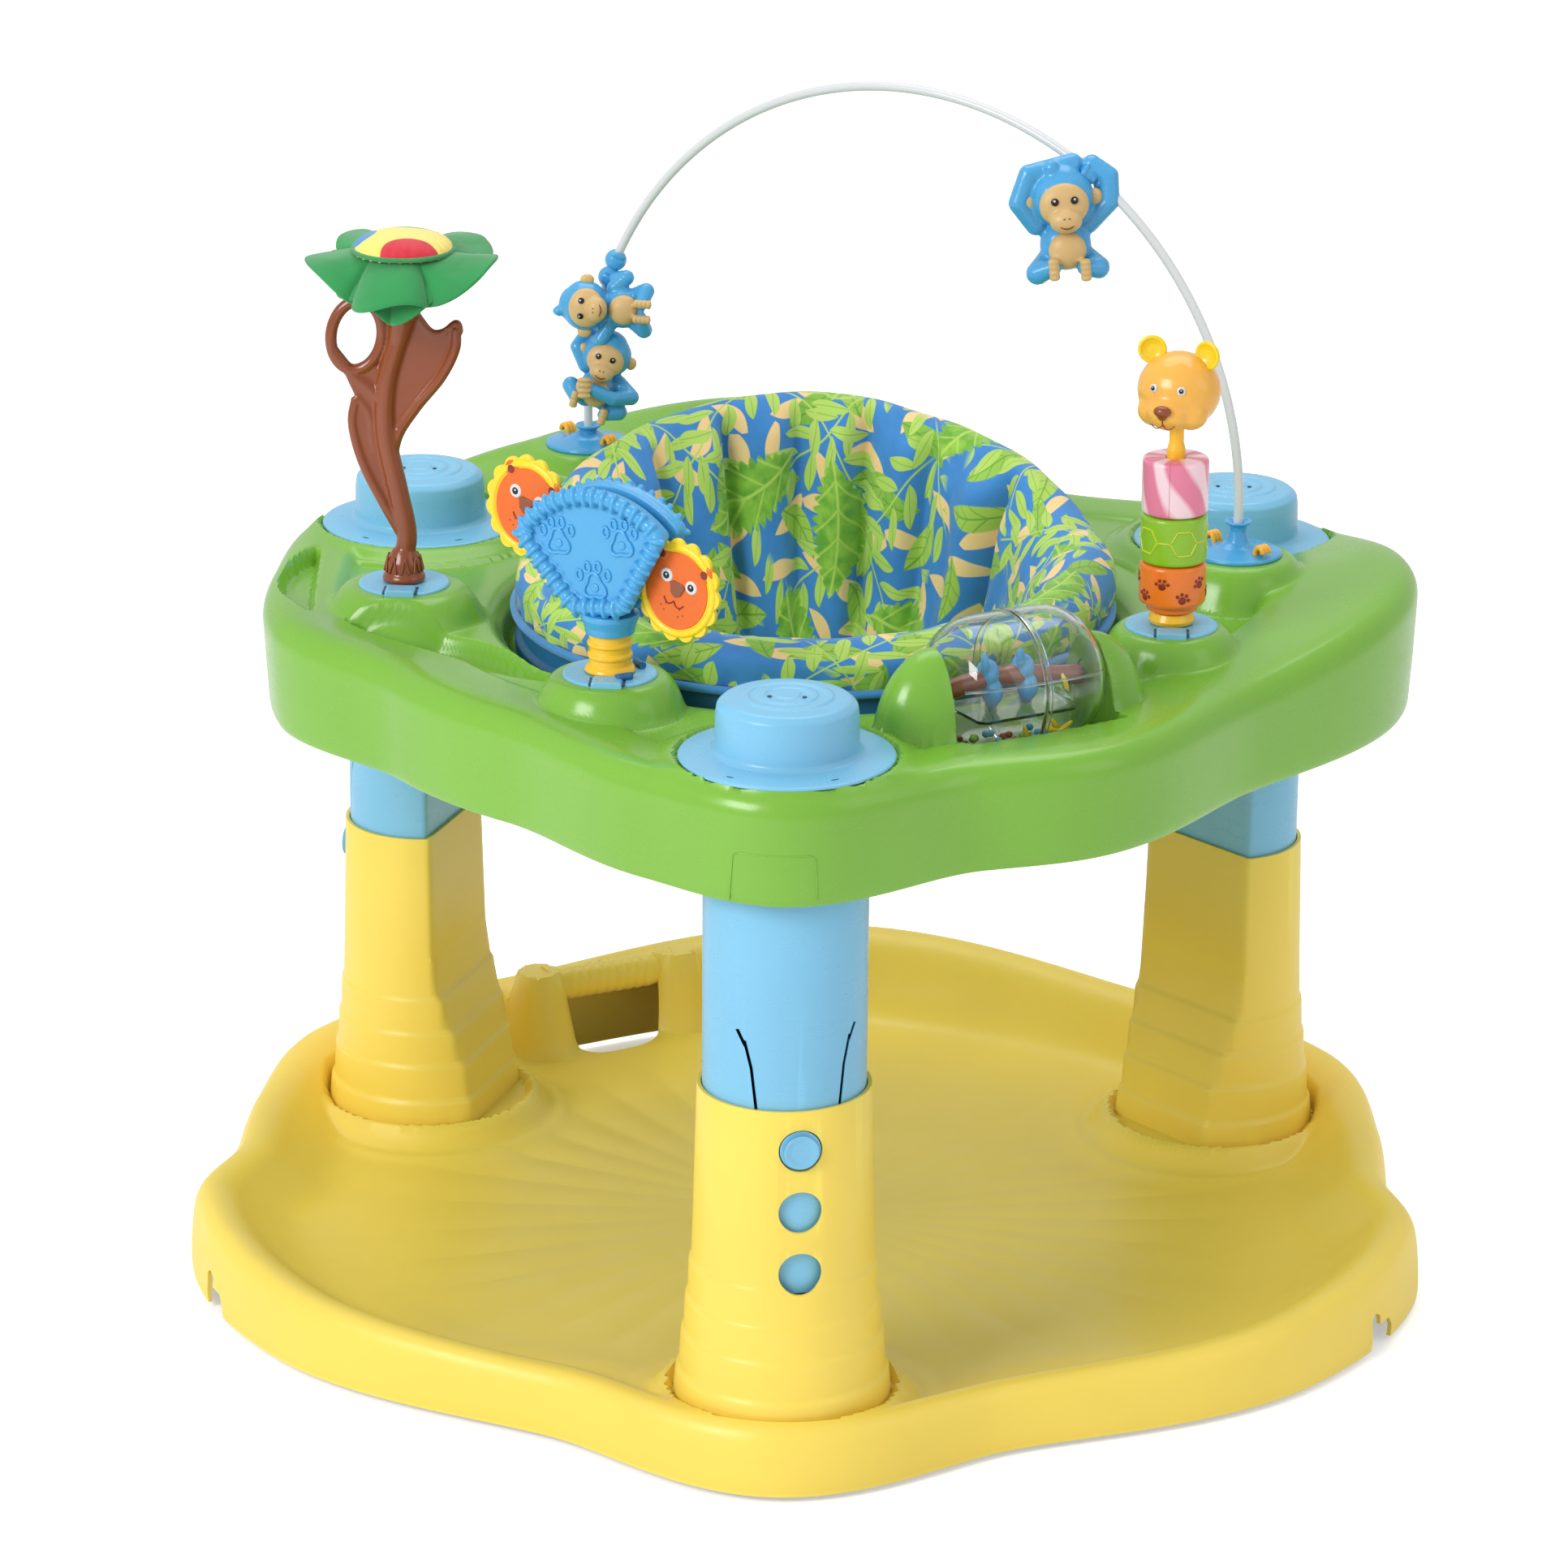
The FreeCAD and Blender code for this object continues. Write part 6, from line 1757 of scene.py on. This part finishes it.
def paw_print(cx, cz, size, y):
    """Raised paw: rounded three-cornered pad outline with a boss in it and four toe rings."""
    pad = []
    for turn in np.linspace(0, TAU, 60, endpoint=False):
        radius = (7.2 + 1.5 * math.cos(3 * (turn - math.pi / 2))) * size
        pad.append((cx + radius * math.cos(turn), y, cz - 3 + radius * math.sin(turn)))
    parts = [tube("part", smooth_ring(np.array(pad)) * MM, 1.2 * MM, 8, closed=True)]
    parts.append(blob(np.array((cx, y, cz - 3.5)) * MM, (3.0 * MM, 0.9 * MM, 2.6 * MM), None, 3))
    for angle in (35, 72, 108, 145):
        turn = math.radians(angle)
        spot = (cx + 12.5 * size * math.cos(turn), cz - 3 + 12.5 * size * math.sin(turn))
        ring = [(spot[0] + 2.2 * math.cos(a), y, spot[1] + 3.0 * math.sin(a)) for a in np.linspace(0, TAU, 24, endpoint=False)]
        parts.append(tube("part", np.array(ring) * MM, 0.9 * MM, 8, closed=True))
    return parts


def smooth_ring(path):
    for _ in range(2):
        path = (np.roll(path, 1, 0) + 2 * path + np.roll(path, -1, 0)) / 4
    return path


def lion_outline(cx, scallops, depth, radius):
    """Scalloped lobe as (x, z) pairs."""
    result = []
    for turn in np.linspace(0, TAU, 180, endpoint=False):
        wave = abs(math.sin(turn * scallops / 2)) ** 0.8 * depth
        result.append((cx + (radius + wave) * math.cos(turn) * 0.94, (radius + wave) * math.sin(turn)))
    return result


def make_lion():
    """Swinging plate with a lion's face at each end, both sides."""
    pivot = FAN_BASE @ Vector((0, 0, 38 * MM))
    tilt = math.radians(16)
    frame = Matrix.Translation(pivot) @ Matrix.Rotation(FAN_TURN, 4, "Z") @ Matrix.Rotation(tilt, 4, "Y")
    plates = []
    for side in (-1, 1):
        outline = [(x * MM, z * MM) for x, z in lion_outline(side * 57, 15, 3.2, 28.3)]
        plates.append(plate("part", outline, -1.5 * MM, 1.5 * MM, None, 0.6 * MM))
        ring = [(side * 57 + 26.2 * math.cos(a) * 0.94, 0, 26.2 * math.sin(a))
                for a in np.linspace(0, TAU, 90, endpoint=False)]
        plates.append(tube("part", np.array(ring) * MM, 2.8 * MM, 12, closed=True))
    link = [(-40, -17), (40, -17), (40, 17), (-40, 17)]
    plates.append(plate("part", [(x * MM, z * MM) for x, z in link], -1.5 * MM, 1.5 * MM, None, 0.6 * MM))
    mane = joined("lion_mane", plates)
    mane.data.transform(frame)
    finish_piece(mane, MATERIALS["mane"], "lion", "lion_yellow", "lion_plate")
    for side in (-1, 1):
        for face in (-1, 1):
            make_lion_face("lion_%s_%s" % ("a" if side < 0 else "b", "f" if face < 0 else "r"), frame, side * 57, face)


def make_lion_face(name, frame, cx, face):
    """Orange face disc with ears, eyes, nose, smile and cheek dots on one side of the plate."""
    y = face * 1.5
    disc_points = []
    for angle in np.linspace(0, TAU, 96, endpoint=False):
        disc_points.append(((cx + 21.5 * math.cos(angle)) * MM, 23.5 * math.sin(angle) * MM))
    board = plate(name, disc_points, (y - 0.7) * MM, (y + 0.7) * MM, None, 0.5 * MM)
    ears = []
    for ear in (-1, 1):
        spot = np.array((cx + ear * 15.5, y, 18.0))
        ears.append(blob(spot * MM, (5.2 * MM, 1.3 * MM, 5.2 * MM)))
    head = joined(name + "_head", [board] + ears)
    head.data.transform(frame)
    finish_piece(head, MATERIALS["lion_orange"], "lion", "orange")
    facing = frame.to_3x3() @ Vector((0, face, 0))
    up, across = frame.to_3x3() @ Vector((0, 0, 1)), frame.to_3x3() @ Vector((1, 0, 0))

    def at(x, z, lift=0.65):
        return frame @ (Vector((cx + x, y + face * lift, z)) * MM)

    for ear in (-1, 1):
        spot = at(ear * 9.0, 6.5)
        eye(name + "_eye_%d" % (ear + 1), spot, facing, up, 4.2 * MM, "lion", "orange", rise=0.35)
        inner = disc(name + "_ear_in_%d" % (ear + 1), at(ear * 15.5, 18.0, 1.15), facing, 2.6 * MM, 0.4 * MM)
        finish_piece(inner, MATERIALS["dark_red"], "lion", "orange")
        for dot, (dx, dz) in enumerate(((5.0, -10.0), (8.0, -12.5), (5.2, -14.5))):
            cheek = disc(name + "_dot_%d_%d" % (ear + 1, dot), at(ear * dx, dz), facing, 0.55 * MM, 0.2 * MM)
            finish_piece(cheek, MATERIALS["dark_red"], "lion", "orange")
    nose = [((cx + x) * MM, z * MM) for x, z in ((-5.5, 4.0), (-3, 5.6), (3, 5.6), (5.5, 4.0), (3.5, -2.0), (0, -4.2), (-3.5, -2.0))]
    low, high = sorted((y + face * 0.3, y + face * 1.6))
    piece = plate(name + "_nose", nose, low * MM, high * MM, None, 0.5 * MM)
    piece.data.transform(frame)
    finish_piece(piece, MATERIALS["brown"], "lion", "orange")
    for ear in (-1, 1):
        smile(name + "_mouth_%d" % (ear + 1), at(ear * 3.6, -6.5, 0.8), across, up, facing, 3.6 * MM, 3.0 * MM,
              0.45 * MM, MATERIALS["dark_red"], "lion", "orange")


def make_fan_neck():
    """Blue cone collar and the bellows-like yellow neck below the fan."""
    line = [(0, 484), (17.2, 484), (17.2, 481), (15.2, 476), (14.5, 471.5), (0, 471.5)]
    piece = turned("fan_collar_skin", [(r * MM, z * MM) for r, z in line], (FAN.x, FAN.y, 0), 64, 0.8 * MM)
    finish_piece(piece, MATERIALS["toy_blue"], "tray", "toy_blue", "fan_collar")
    line = [(0, 472), (11.8, 472), (12.4, 469), (12.2, 467), (13.4, 466), (13.5, 464.5), (12.3, 463.5), (12.0, 460),
            (13.2, 459), (13.4, 457.4), (12.4, 456), (12.6, 452.5), (14.2, 451), (15, 449.6), (15, 448.4), (0, 448.4)]
    piece = turned("fan_neck_skin", [(r * MM, z * MM) for r, z in line], (FAN.x, FAN.y, 0), 64, 0.5 * MM)
    finish_piece(piece, MATERIALS["neck_yellow"], "tray", "neck_yellow", "fan_neck")
    for number, angle in enumerate((-60, 30)):
        turn = math.radians(angle)
        spot = np.array((FAN.x / MM + 19 * math.cos(turn), FAN.y / MM + 19 * math.sin(turn), 449.5))
        side = np.array((-math.sin(turn), math.cos(turn), 0))
        bar = tube("fan_clip_%d" % number, (spot + np.outer(np.linspace(-5, 5, 6), side)) * MM, 2.2 * MM, 14)
        finish_piece(bar, MATERIALS["ring_blue"], "tray", "toy_blue")


# ---------------------------------------------------------------- bear stack

BEAR = PLUGS["bear_plug"]


def stack_ring(node, body, slot, material, foot=None):
    """Turning ring on the post with rounded edges."""
    low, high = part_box(node)
    outer = (high.x - low.x) / 2 / MM
    bottom, top = low.z / MM, high.z / MM
    start = outer if foot is None else foot
    line = [(5.2, bottom), (start - 1, bottom), (start, bottom + 0.8), (start, bottom + 3), (outer - 0.6, bottom + 5.5),
            (outer, bottom + 7), (outer, top - 2.2), (outer - 0.8, top - 0.6), (outer - 2.6, top), (7, top), (6, top - 0.6),
            (5.2, top - 2)]
    if foot is None:
        line = [(5.2, bottom), (outer - 1.2, bottom), (outer, bottom + 1.4)] + line[6:]
    piece = turned(node + "_skin", [(r * MM, z * MM) for r, z in line], (BEAR.x, BEAR.y, 0), 112, 0.9 * MM)
    finish_piece(piece, material, body, slot, node)


def pink_marble():
    """Pink plastic swirled with white and a parting line."""
    shader = Shader("ring_pink")
    where = shader.vector("SUBTRACT", shader.place(), tuple(BEAR))
    x, y, z = shader.split(where)
    turn = shader.calc("ARCTAN2", y, x)
    band = shader.node("ShaderNodeTexWave", wave_type="BANDS", bands_direction="DIAGONAL")
    shader.feed(band.inputs["Vector"], shader.pack(turn, shader.calc("MULTIPLY", z, 26.0), 0.0))
    band.inputs["Scale"].default_value = 0.55
    band.inputs["Distortion"].default_value = 5.5
    band.inputs["Detail"].default_value = 2.0
    band.inputs["Detail Scale"].default_value = 0.7
    swirl = shader.remap(band.outputs["Fac"], 0.35, 0.75, 0.0, 1.0)
    colour = shader.mix(swirl, srgb(232, 128, 160), srgb(250, 214, 224))
    seam = shader.remap(shader.calc("ABSOLUTE", shader.calc("ADD", turn, 1.75)), 0.0, 0.02, 1.0, 0.0)
    colour = shader.mix(shader.calc("MULTIPLY", seam, 0.5), colour, srgb(150, 60, 90))
    normal = shader.bump(seam, 0.6, -0.4 * MM)
    return shader.set(Base_Color=colour, Roughness=0.22, Normal=normal, Coat_Weight=0.3, Subsurface_Weight=0.15,
                      Subsurface_Scale=0.004)


def make_hex_lines():
    """Raised honeycomb lines round the green ring."""
    low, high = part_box("green_ring")
    radius = (high.x - low.x) / 2 + 0.05 * MM
    columns = 10
    side = TAU * radius / columns / 1.5
    middle = (low.z + high.z) / 2
    parts, seen = [], set()
    for column in range(columns):
        for row in range(-2, 3):
            along = column * 1.5 * side
            height = middle + (row + 0.5 * (column % 2)) * side * math.sqrt(3)
            corners = [(along + side * math.cos(a), height + side * math.sin(a)) for a in np.arange(6) * TAU / 6]
            for start, end in zip(corners, corners[1:] + corners[:1]):
                key = tuple(sorted((round((p[0] % (TAU * radius)) / MM * 2), round(p[1] / MM * 2)) for p in (start, end)))
                inside = min(start[1], end[1]) > low.z + 1.2 * MM and max(start[1], end[1]) < high.z - 1.2 * MM
                if inside and key not in seen:
                    seen.add(key)
                    line = []
                    for share in np.linspace(0, 1, 6):
                        turn = (start[0] + (end[0] - start[0]) * share) / radius
                        line.append((BEAR.x + radius * math.cos(turn), BEAR.y + radius * math.sin(turn),
                                     start[1] + (end[1] - start[1]) * share))
                    parts.append(tube("part", line, 0.5 * MM, 6))
    piece = joined("green_ring_lines", parts)
    finish_piece(piece, MATERIALS["hex_yellow"], "ring_mid", "lime")


def make_ring_paws():
    """Dark red paw prints moulded on the orange ring."""
    low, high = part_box("orange_ring")
    radius = (high.x - low.x) / 2
    parts = []
    for number in range(10):
        angle = number * TAU / 10 - 1.9
        z = low.z + (20 if number % 2 == 0 else 11.5) * MM
        outwards = Vector((math.cos(angle), math.sin(angle), 0))
        place = Vector((BEAR.x, BEAR.y, z)) + outwards * (radius - 0.2 * MM)
        turn = toy_frame(place, outwards, (0, 0, 1))
        tilt = 0.5 * math.sin(number * 2.4)
        pads = [(0, -0.8, 2.5)] + [(3.9 * math.sin(tilt + a), 3.9 * math.cos(tilt + a) - 0.8, 1.15) for a in (-1.2, -0.4, 0.4, 1.2)]
        for px, pz, size in pads:
            bulge = -((px / 20) ** 2) * 10
            pad = blob(np.array((px, -0.25 - bulge * 0.5, pz)) * MM, (size * MM, 0.55 * MM, size * MM), None, 2)
            pad.data.transform(turn)
            parts.append(pad)
    piece = joined("orange_ring_paws", parts)
    finish_piece(piece, MATERIALS["dark_red"], "ring_low", "orange")


def make_bear():
    """Bear head: moulded skull and muzzle, cupped yellow ears, nose, eyes and smile."""
    matrix = toy_frame(Vector((BEAR.x, BEAR.y, 0.590)), (-0.34, -0.93, 0.0), (0, 0, 1))
    parts = [blob(np.array((0, 2, 2)) * MM, (25.5 * MM, 23 * MM, 23.5 * MM)),
             blob(np.array((0, -14, -8)) * MM, (14 * MM, 13 * MM, 11 * MM)),
             blob(np.array((-11, -8, -9)) * MM, (11 * MM, 11 * MM, 10 * MM)),
             blob(np.array((11, -8, -9)) * MM, (11 * MM, 11 * MM, 10 * MM))]
    head = moulded("bear_head_skin", parts, 1.2 * MM, 10)
    head.data.transform(matrix)
    finish_piece(head, MATERIALS["bear"], "bear", "bear_yellow", "bear_head")
    for number, side in enumerate((-1, 1)):
        line = [(0, -2.2), (6.5, -2.0), (8.8, 0), (8.6, 1.8), (7.2, 2.2), (5.8, 0.8), (3.0, -0.4), (0, -0.6)]
        ear = turned("bear_ear_%d" % number, [(r * MM, z * MM) for r, z in line], (0, 0, 0), 48, 0.8 * MM, (0, -1, 0))
        ear.data.transform(matrix @ Matrix.Translation((side * 17.5 * MM, 2 * MM, 25 * MM)) @ Matrix.Rotation(side * -0.3, 4, "Z"))
        finish_piece(ear, MATERIALS["ear"], "bear", "bear_yellow")
    turn = matrix.to_3x3()
    facing, up, across = turn @ Vector((0, -1, 0)), turn @ Vector((0, 0, 1)), turn @ Vector((1, 0, 0))
    for number, side in enumerate((-1, 1)):
        aim = (facing + across * side * 0.35 + up * 0.15).normalized()
        spot = matrix @ (Vector((side * 8.5, -18.6, 7)) * MM)
        eye("bear_eye_%d" % number, spot, aim, up, 2.7 * MM, "bear", "bear_yellow")
    nose = [blob(np.array((0, -27, -4.5)) * MM, (5.6 * MM, 4.0 * MM, 3.6 * MM)),
            blob(np.array((0, -26.6, -7)) * MM, (3.2 * MM, 3.4 * MM, 3.2 * MM))]
    piece = moulded("bear_nose", nose, 0.6 * MM, 3)
    piece.data.transform(matrix)
    finish_piece(piece, MATERIALS["brown"], "bear", "bear_yellow")
    for side in (-1, 1):
        smile("bear_smile_%d" % (side + 1), matrix @ (Vector((side * 3.6, -26.0, -13.0)) * MM), across, up, facing,
              3.6 * MM, 2.2 * MM, 0.35 * MM, MATERIALS["dark_red"], "bear", "bear_yellow", depth=0.9 * MM)
    crease = [matrix @ (Vector((0, -26.8 + 0.25 * s, -9.4 - s)) * MM) for s in np.linspace(0, 4.2, 6)]
    piece = tube("bear_lip", [tuple(p) for p in crease], 0.35 * MM, 8)
    finish_piece(piece, MATERIALS["dark_red"], "bear", "bear_yellow")


def make_bear_stack():
    stack_ring("orange_ring", "ring_low", "orange", MATERIALS["orange"], 15.5)
    stack_ring("green_ring", "ring_mid", "lime", MATERIALS["lime"])
    stack_ring("pink_ring", "ring_high", "pink", pink_marble())
    make_hex_lines()
    make_ring_paws()
    low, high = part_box("bear_post")
    line = [(0, low.z), (13 * MM, low.z), (14 * MM, low.z + 2.5 * MM), (12 * MM, low.z + 7 * MM), (5 * MM, low.z + 7.5 * MM),
            (4.9 * MM, 0.54), (5.6 * MM, 0.556), (4.4 * MM, 0.5605), (4.4 * MM, high.z), (0, high.z)]
    piece = turned("bear_post_skin", line, (BEAR.x, BEAR.y, 0), 48, 0.4 * MM)
    finish_piece(piece, MATERIALS["neck_yellow"], "tray", "neck_yellow", "bear_post")
    make_bear()


# ---------------------------------------------------------------- drum

def drum_frame():
    """Frame of the drum with Z along its spindles, Y up."""
    along = DRUM_ALONG
    up = Vector((0, 0, 1))
    side = up.cross(along)
    matrix = Matrix((side, up, along)).transposed().to_4x4()
    matrix.translation = DRUM
    return matrix


def make_drum():
    frame = drum_frame()
    inner, outer, half = 39.8, 42.0, 50.0
    for name, side in (("drum_half_left", -1), ("drum_half_right", 1)):
        line = [(outer, 0), (outer + 0.0, 22), (outer - 1.5, 32), (outer - 8, 43), (outer - 18, 48.6), (outer - 30, half), (5, half),
                (5, half - 2), (inner - 28, half - 2), (inner - 17, 46.4), (inner - 8, 41.5), (inner - 1.4, 31), (inner, 21.6), (inner, 0)]
        piece = turned(name + "_skin", [(r * MM, z * MM * side) for r, z in line], (0, 0, 0), 128, 5 * MM)
        piece.data.transform(frame)
        finish_piece(piece, MATERIALS["clear"], "drum", "clear", name)
    for number, offset in enumerate((0.0,)):
        line = [(39.9, -2.1), (42.6, -2.1), (43.0, -1.4), (43.0, 1.4), (42.6, 2.1), (39.9, 2.1), (39.9, -2.1)]
        piece = turned("drum_band_%d" % number, [(r * MM, (z + offset) * MM) for r, z in line], (0, 0, 0), 128, 0.3 * MM)
        piece.data.transform(frame)
        finish_piece(piece, MATERIALS["clear"], "drum", "clear")
    angles = np.linspace(0, math.pi, 60)
    for number, turn in enumerate((-0.25,)):
        path = []
        for a in angles:
            z = -46.5 * math.cos(a)
            r = 42.4 if abs(z) < 24 else 42.4 - 18.0 * ((abs(z) - 24) / 23) ** 2
            path.append((r * math.cos(turn + math.pi), r * math.sin(turn + math.pi), z))
        piece = tube("drum_seam_%d" % number, np.array(path) * MM, 0.8 * MM, 8)
        piece.data.transform(frame)
        finish_piece(piece, MATERIALS["clear"], "drum", "clear")
    make_drum_inside(frame)


def make_drum_inside(frame):
    """Branch bar with two blue figures, clear shelf, yellow leaves and coloured beads."""
    bar = tube("drum_branch_skin", np.array([(0, 4 * math.sin(s * 4), -46.0 + 92 * s) for s in np.linspace(0, 1, 24)]) * MM,
               (5.6 + 0.5 * np.sin(np.linspace(0, 14, 24))) * MM, 24)
    bar.data.transform(frame)
    finish_piece(bar, MATERIALS["brown"], "drum", "bark_brown", "drum_branch")
    for number, offset in enumerate((-17, 7)):
        parts = [blob(np.array((0, 7, offset)) * MM, (8 * MM, 8.5 * MM, 6.5 * MM)),
                 blob(np.array((-2, -4, offset + 2)) * MM, (7.5 * MM, 9 * MM, 6 * MM)),
                 blob(np.array((-5, 15, offset - 5)) * MM, (3 * MM, 7 * MM, 2.6 * MM), None, 2),
                 blob(np.array((4, -13, offset + 5)) * MM, (4 * MM, 6 * MM, 4 * MM), None, 2)]
        piece = moulded("drum_figure_%d" % number, parts, 0.9 * MM, 3)
        piece.data.transform(frame)
        finish_piece(piece, MATERIALS["toy_blue"], "drum", "toy_blue")
    low, high = -34, 34
    outline = [(-22, low + 4), (-18, low), (18, low), (22, low + 4), (22, high - 4), (18, high), (-18, high), (-22, high - 4)]
    shelf = plate("drum_shelf_skin", [(x * MM, z * MM) for x, z in outline], -16.6 * MM, -14.6 * MM, None, 0.5 * MM)
    shelf.data.transform(frame)
    finish_piece(shelf, MATERIALS["clear"], "drum", "clear", "drum_shelf")
    leaves = []
    for x, y, z, turn in ((-12, -30, 20, 0.2), (-8, -29, 25, 0.9), (-14, -29, 28, -0.5), (-10, -31, 4, 1.3), (-10, -3, 30, 1.2)):
        quat = Quaternion((1, 0, 0), turn)
        leaves.append(blob(np.array((x, y, z)) * MM, (1.6 * MM, 1.6 * MM, 6.5 * MM), quat, 2))
    piece = joined("drum_leaves", leaves)
    piece.data.transform(frame)
    finish_piece(piece, MATERIALS["mane"], "drum", "lion_yellow")
    colours = ("dark_red", "lime", "light_blue", "bead_red", "lime", "toy_blue", "mane")
    rng = np.random.default_rng(4)
    for number, colour in enumerate(colours):
        beads = []
        for _ in range(3):
            x, z = rng.uniform(-10, 10), -30 + 9.5 * number + rng.uniform(-3, 3)
            height = -math.sqrt(36.4 ** 2 - x * x)
            z = max(-30.0, min(30.0, z))
            beads.append(blob(np.array((x, height + 0.8, z)) * MM, (2.4 * MM,) * 3, None, 2))
        piece = joined("drum_bead_%d" % number, beads)
        piece.data.polygons.foreach_set("use_smooth", [True] * len(piece.data.polygons))
        piece.data.transform(frame)
        nodes = ("drum_beads",) if number == 0 else ()
        finish_piece(piece, MATERIALS[colour], "tray", "bead_red", *nodes)


# ---------------------------------------------------------------- parts below and inside

CAD_FINISHES = {
    "tube_plugs": "white", "sleeve_screws": "steel", "retainer_screws": "steel", "stabiliser_pins": "steel",
    "stabiliser_foot_rear": "light_blue", "stabiliser_foot_left": "light_blue", "stabiliser_foot_right": "light_blue",
    "seat_retainer": "ring_blue", "fan_axle": "steel",
}


def finish_cad_parts():
    """Finishes for the plain parts that keep their CAD shape: screws, pins, feet, plugs and the retainer."""
    for node, material in CAD_FINISHES.items():
        mesh = frame["nodes"][node].data
        mesh.materials.clear()
        mesh.materials.append(MATERIALS[material])


def make_springs():
    """Suspension springs below the caps, copied from the CAD coils."""
    node = frame["nodes"]["suspension_springs"]
    piece = bpy.data.objects.new("suspension_spring_coils", node.data.copy())
    scene.collection.objects.link(piece)
    finish_piece(piece, MATERIALS["steel"], node["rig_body"], "steel", "suspension_springs")
    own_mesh(piece)


# ---------------------------------------------------------------- picture

def make_camera():
    """Camera at the product picture's viewing angle."""
    azimuth, pitch, roll = math.radians(2.70), math.radians(18.98), math.radians(0.54)
    forward = Vector((-math.sin(azimuth) * math.cos(pitch), math.cos(azimuth) * math.cos(pitch), -math.sin(pitch)))
    right = Vector((math.cos(azimuth), math.sin(azimuth), 0))
    up = right.cross(forward)
    turned_right = right * math.cos(roll) + up * math.sin(roll)
    turned_up = up * math.cos(roll) - right * math.sin(roll)
    camera = bpy.data.objects.new("camera", bpy.data.cameras.new("camera"))
    scene.collection.objects.link(camera)
    frame_matrix = Matrix((turned_right, turned_up, -forward)).transposed().to_4x4()
    frame_matrix.translation = Vector((0.1693, -3.5902, 1.5469))
    camera.matrix_world = frame_matrix
    camera.data.sensor_width = 36
    camera.data.lens = 140.09
    camera.data.shift_x = -0.01752
    scene.camera = camera


def area_light(name, place, size, power, colour=(1, 1, 1)):
    light = bpy.data.lights.new(name, "AREA")
    light.shape = "RECTANGLE"
    light.size, light.size_y = size
    light.energy = power
    light.color = colour
    lamp = bpy.data.objects.new(name, light)
    scene.collection.objects.link(lamp)
    place = Vector(place)
    aim = Vector((0, 0, 0.3)) - place
    lamp.matrix_world = Matrix.Translation(place) @ aim.to_track_quat("-Z", "Y").to_matrix().to_4x4()
    return lamp


def make_studio():
    """Pale floor, soft light from above and both sides, white surround."""
    floor_z = cad_bounds[0].z - 0.0005
    points = np.array([[(x, y, floor_z) for y in np.linspace(-9, 9, 3)] for x in np.linspace(-9, 9, 3)])
    floor = sheet("studio_floor", points)
    if floor.data.polygons[0].normal.z < 0:
        floor.data.flip_normals()
    shader = Shader("studio_floor")
    fine = shader.noise(shader.place(), 40.0, 3.0)
    tone = shader.mix(fine, srgb(250, 250, 250), srgb(255, 255, 255))
    seen = shader.node("ShaderNodeLightPath").outputs["Is Camera Ray"]
    shader.set(Base_Color=tone, Roughness=0.7, Emission_Color=(1.0, 1.0, 1.0, 1.0),
               Emission_Strength=shader.calc("MULTIPLY", seen, 0.42))
    floor.data.materials.append(shader.material)
    world = bpy.data.worlds.new("studio")
    world.use_nodes = True
    world.node_tree.nodes["Background"].inputs["Color"].default_value = (1.0, 1.0, 1.0, 1.0)
    world.node_tree.nodes["Background"].inputs["Strength"].default_value = 0.66
    scene.world = world
    lights = [area_light("key", (-2.0, -2.2, 1.9), (1.4, 1.2), 52),
              area_light("fill", (2.4, -1.2, 1.6), (1.2, 1.6), 5),
              area_light("top", (0.0, 0.9, 2.8), (2.2, 1.6), 24)]


# ---------------------------------------------------------------- build

make_base()
for leg in LEGS:
    make_sleeve(leg)
    make_tube(leg)
    make_button(leg)
    make_cap(leg)
make_tray()
make_seat_ring()
toy_plug("tree_plug", "tray")
toy_plug("fan_plug", "tray")
toy_plug("bear_plug", "tray")
make_seat_cloth()
make_arch_feet()
make_arch_rod()
make_monkeys()
make_tree()
make_flower()
make_fan_shell("fan_shell_front", -1)
make_fan_shell("fan_shell_rear", 1)
make_lion()
make_fan_neck()
make_bear_stack()
make_drum()
make_springs()
finish_cad_parts()

make_camera()
make_studio()
scene.view_settings.view_transform = "Standard"
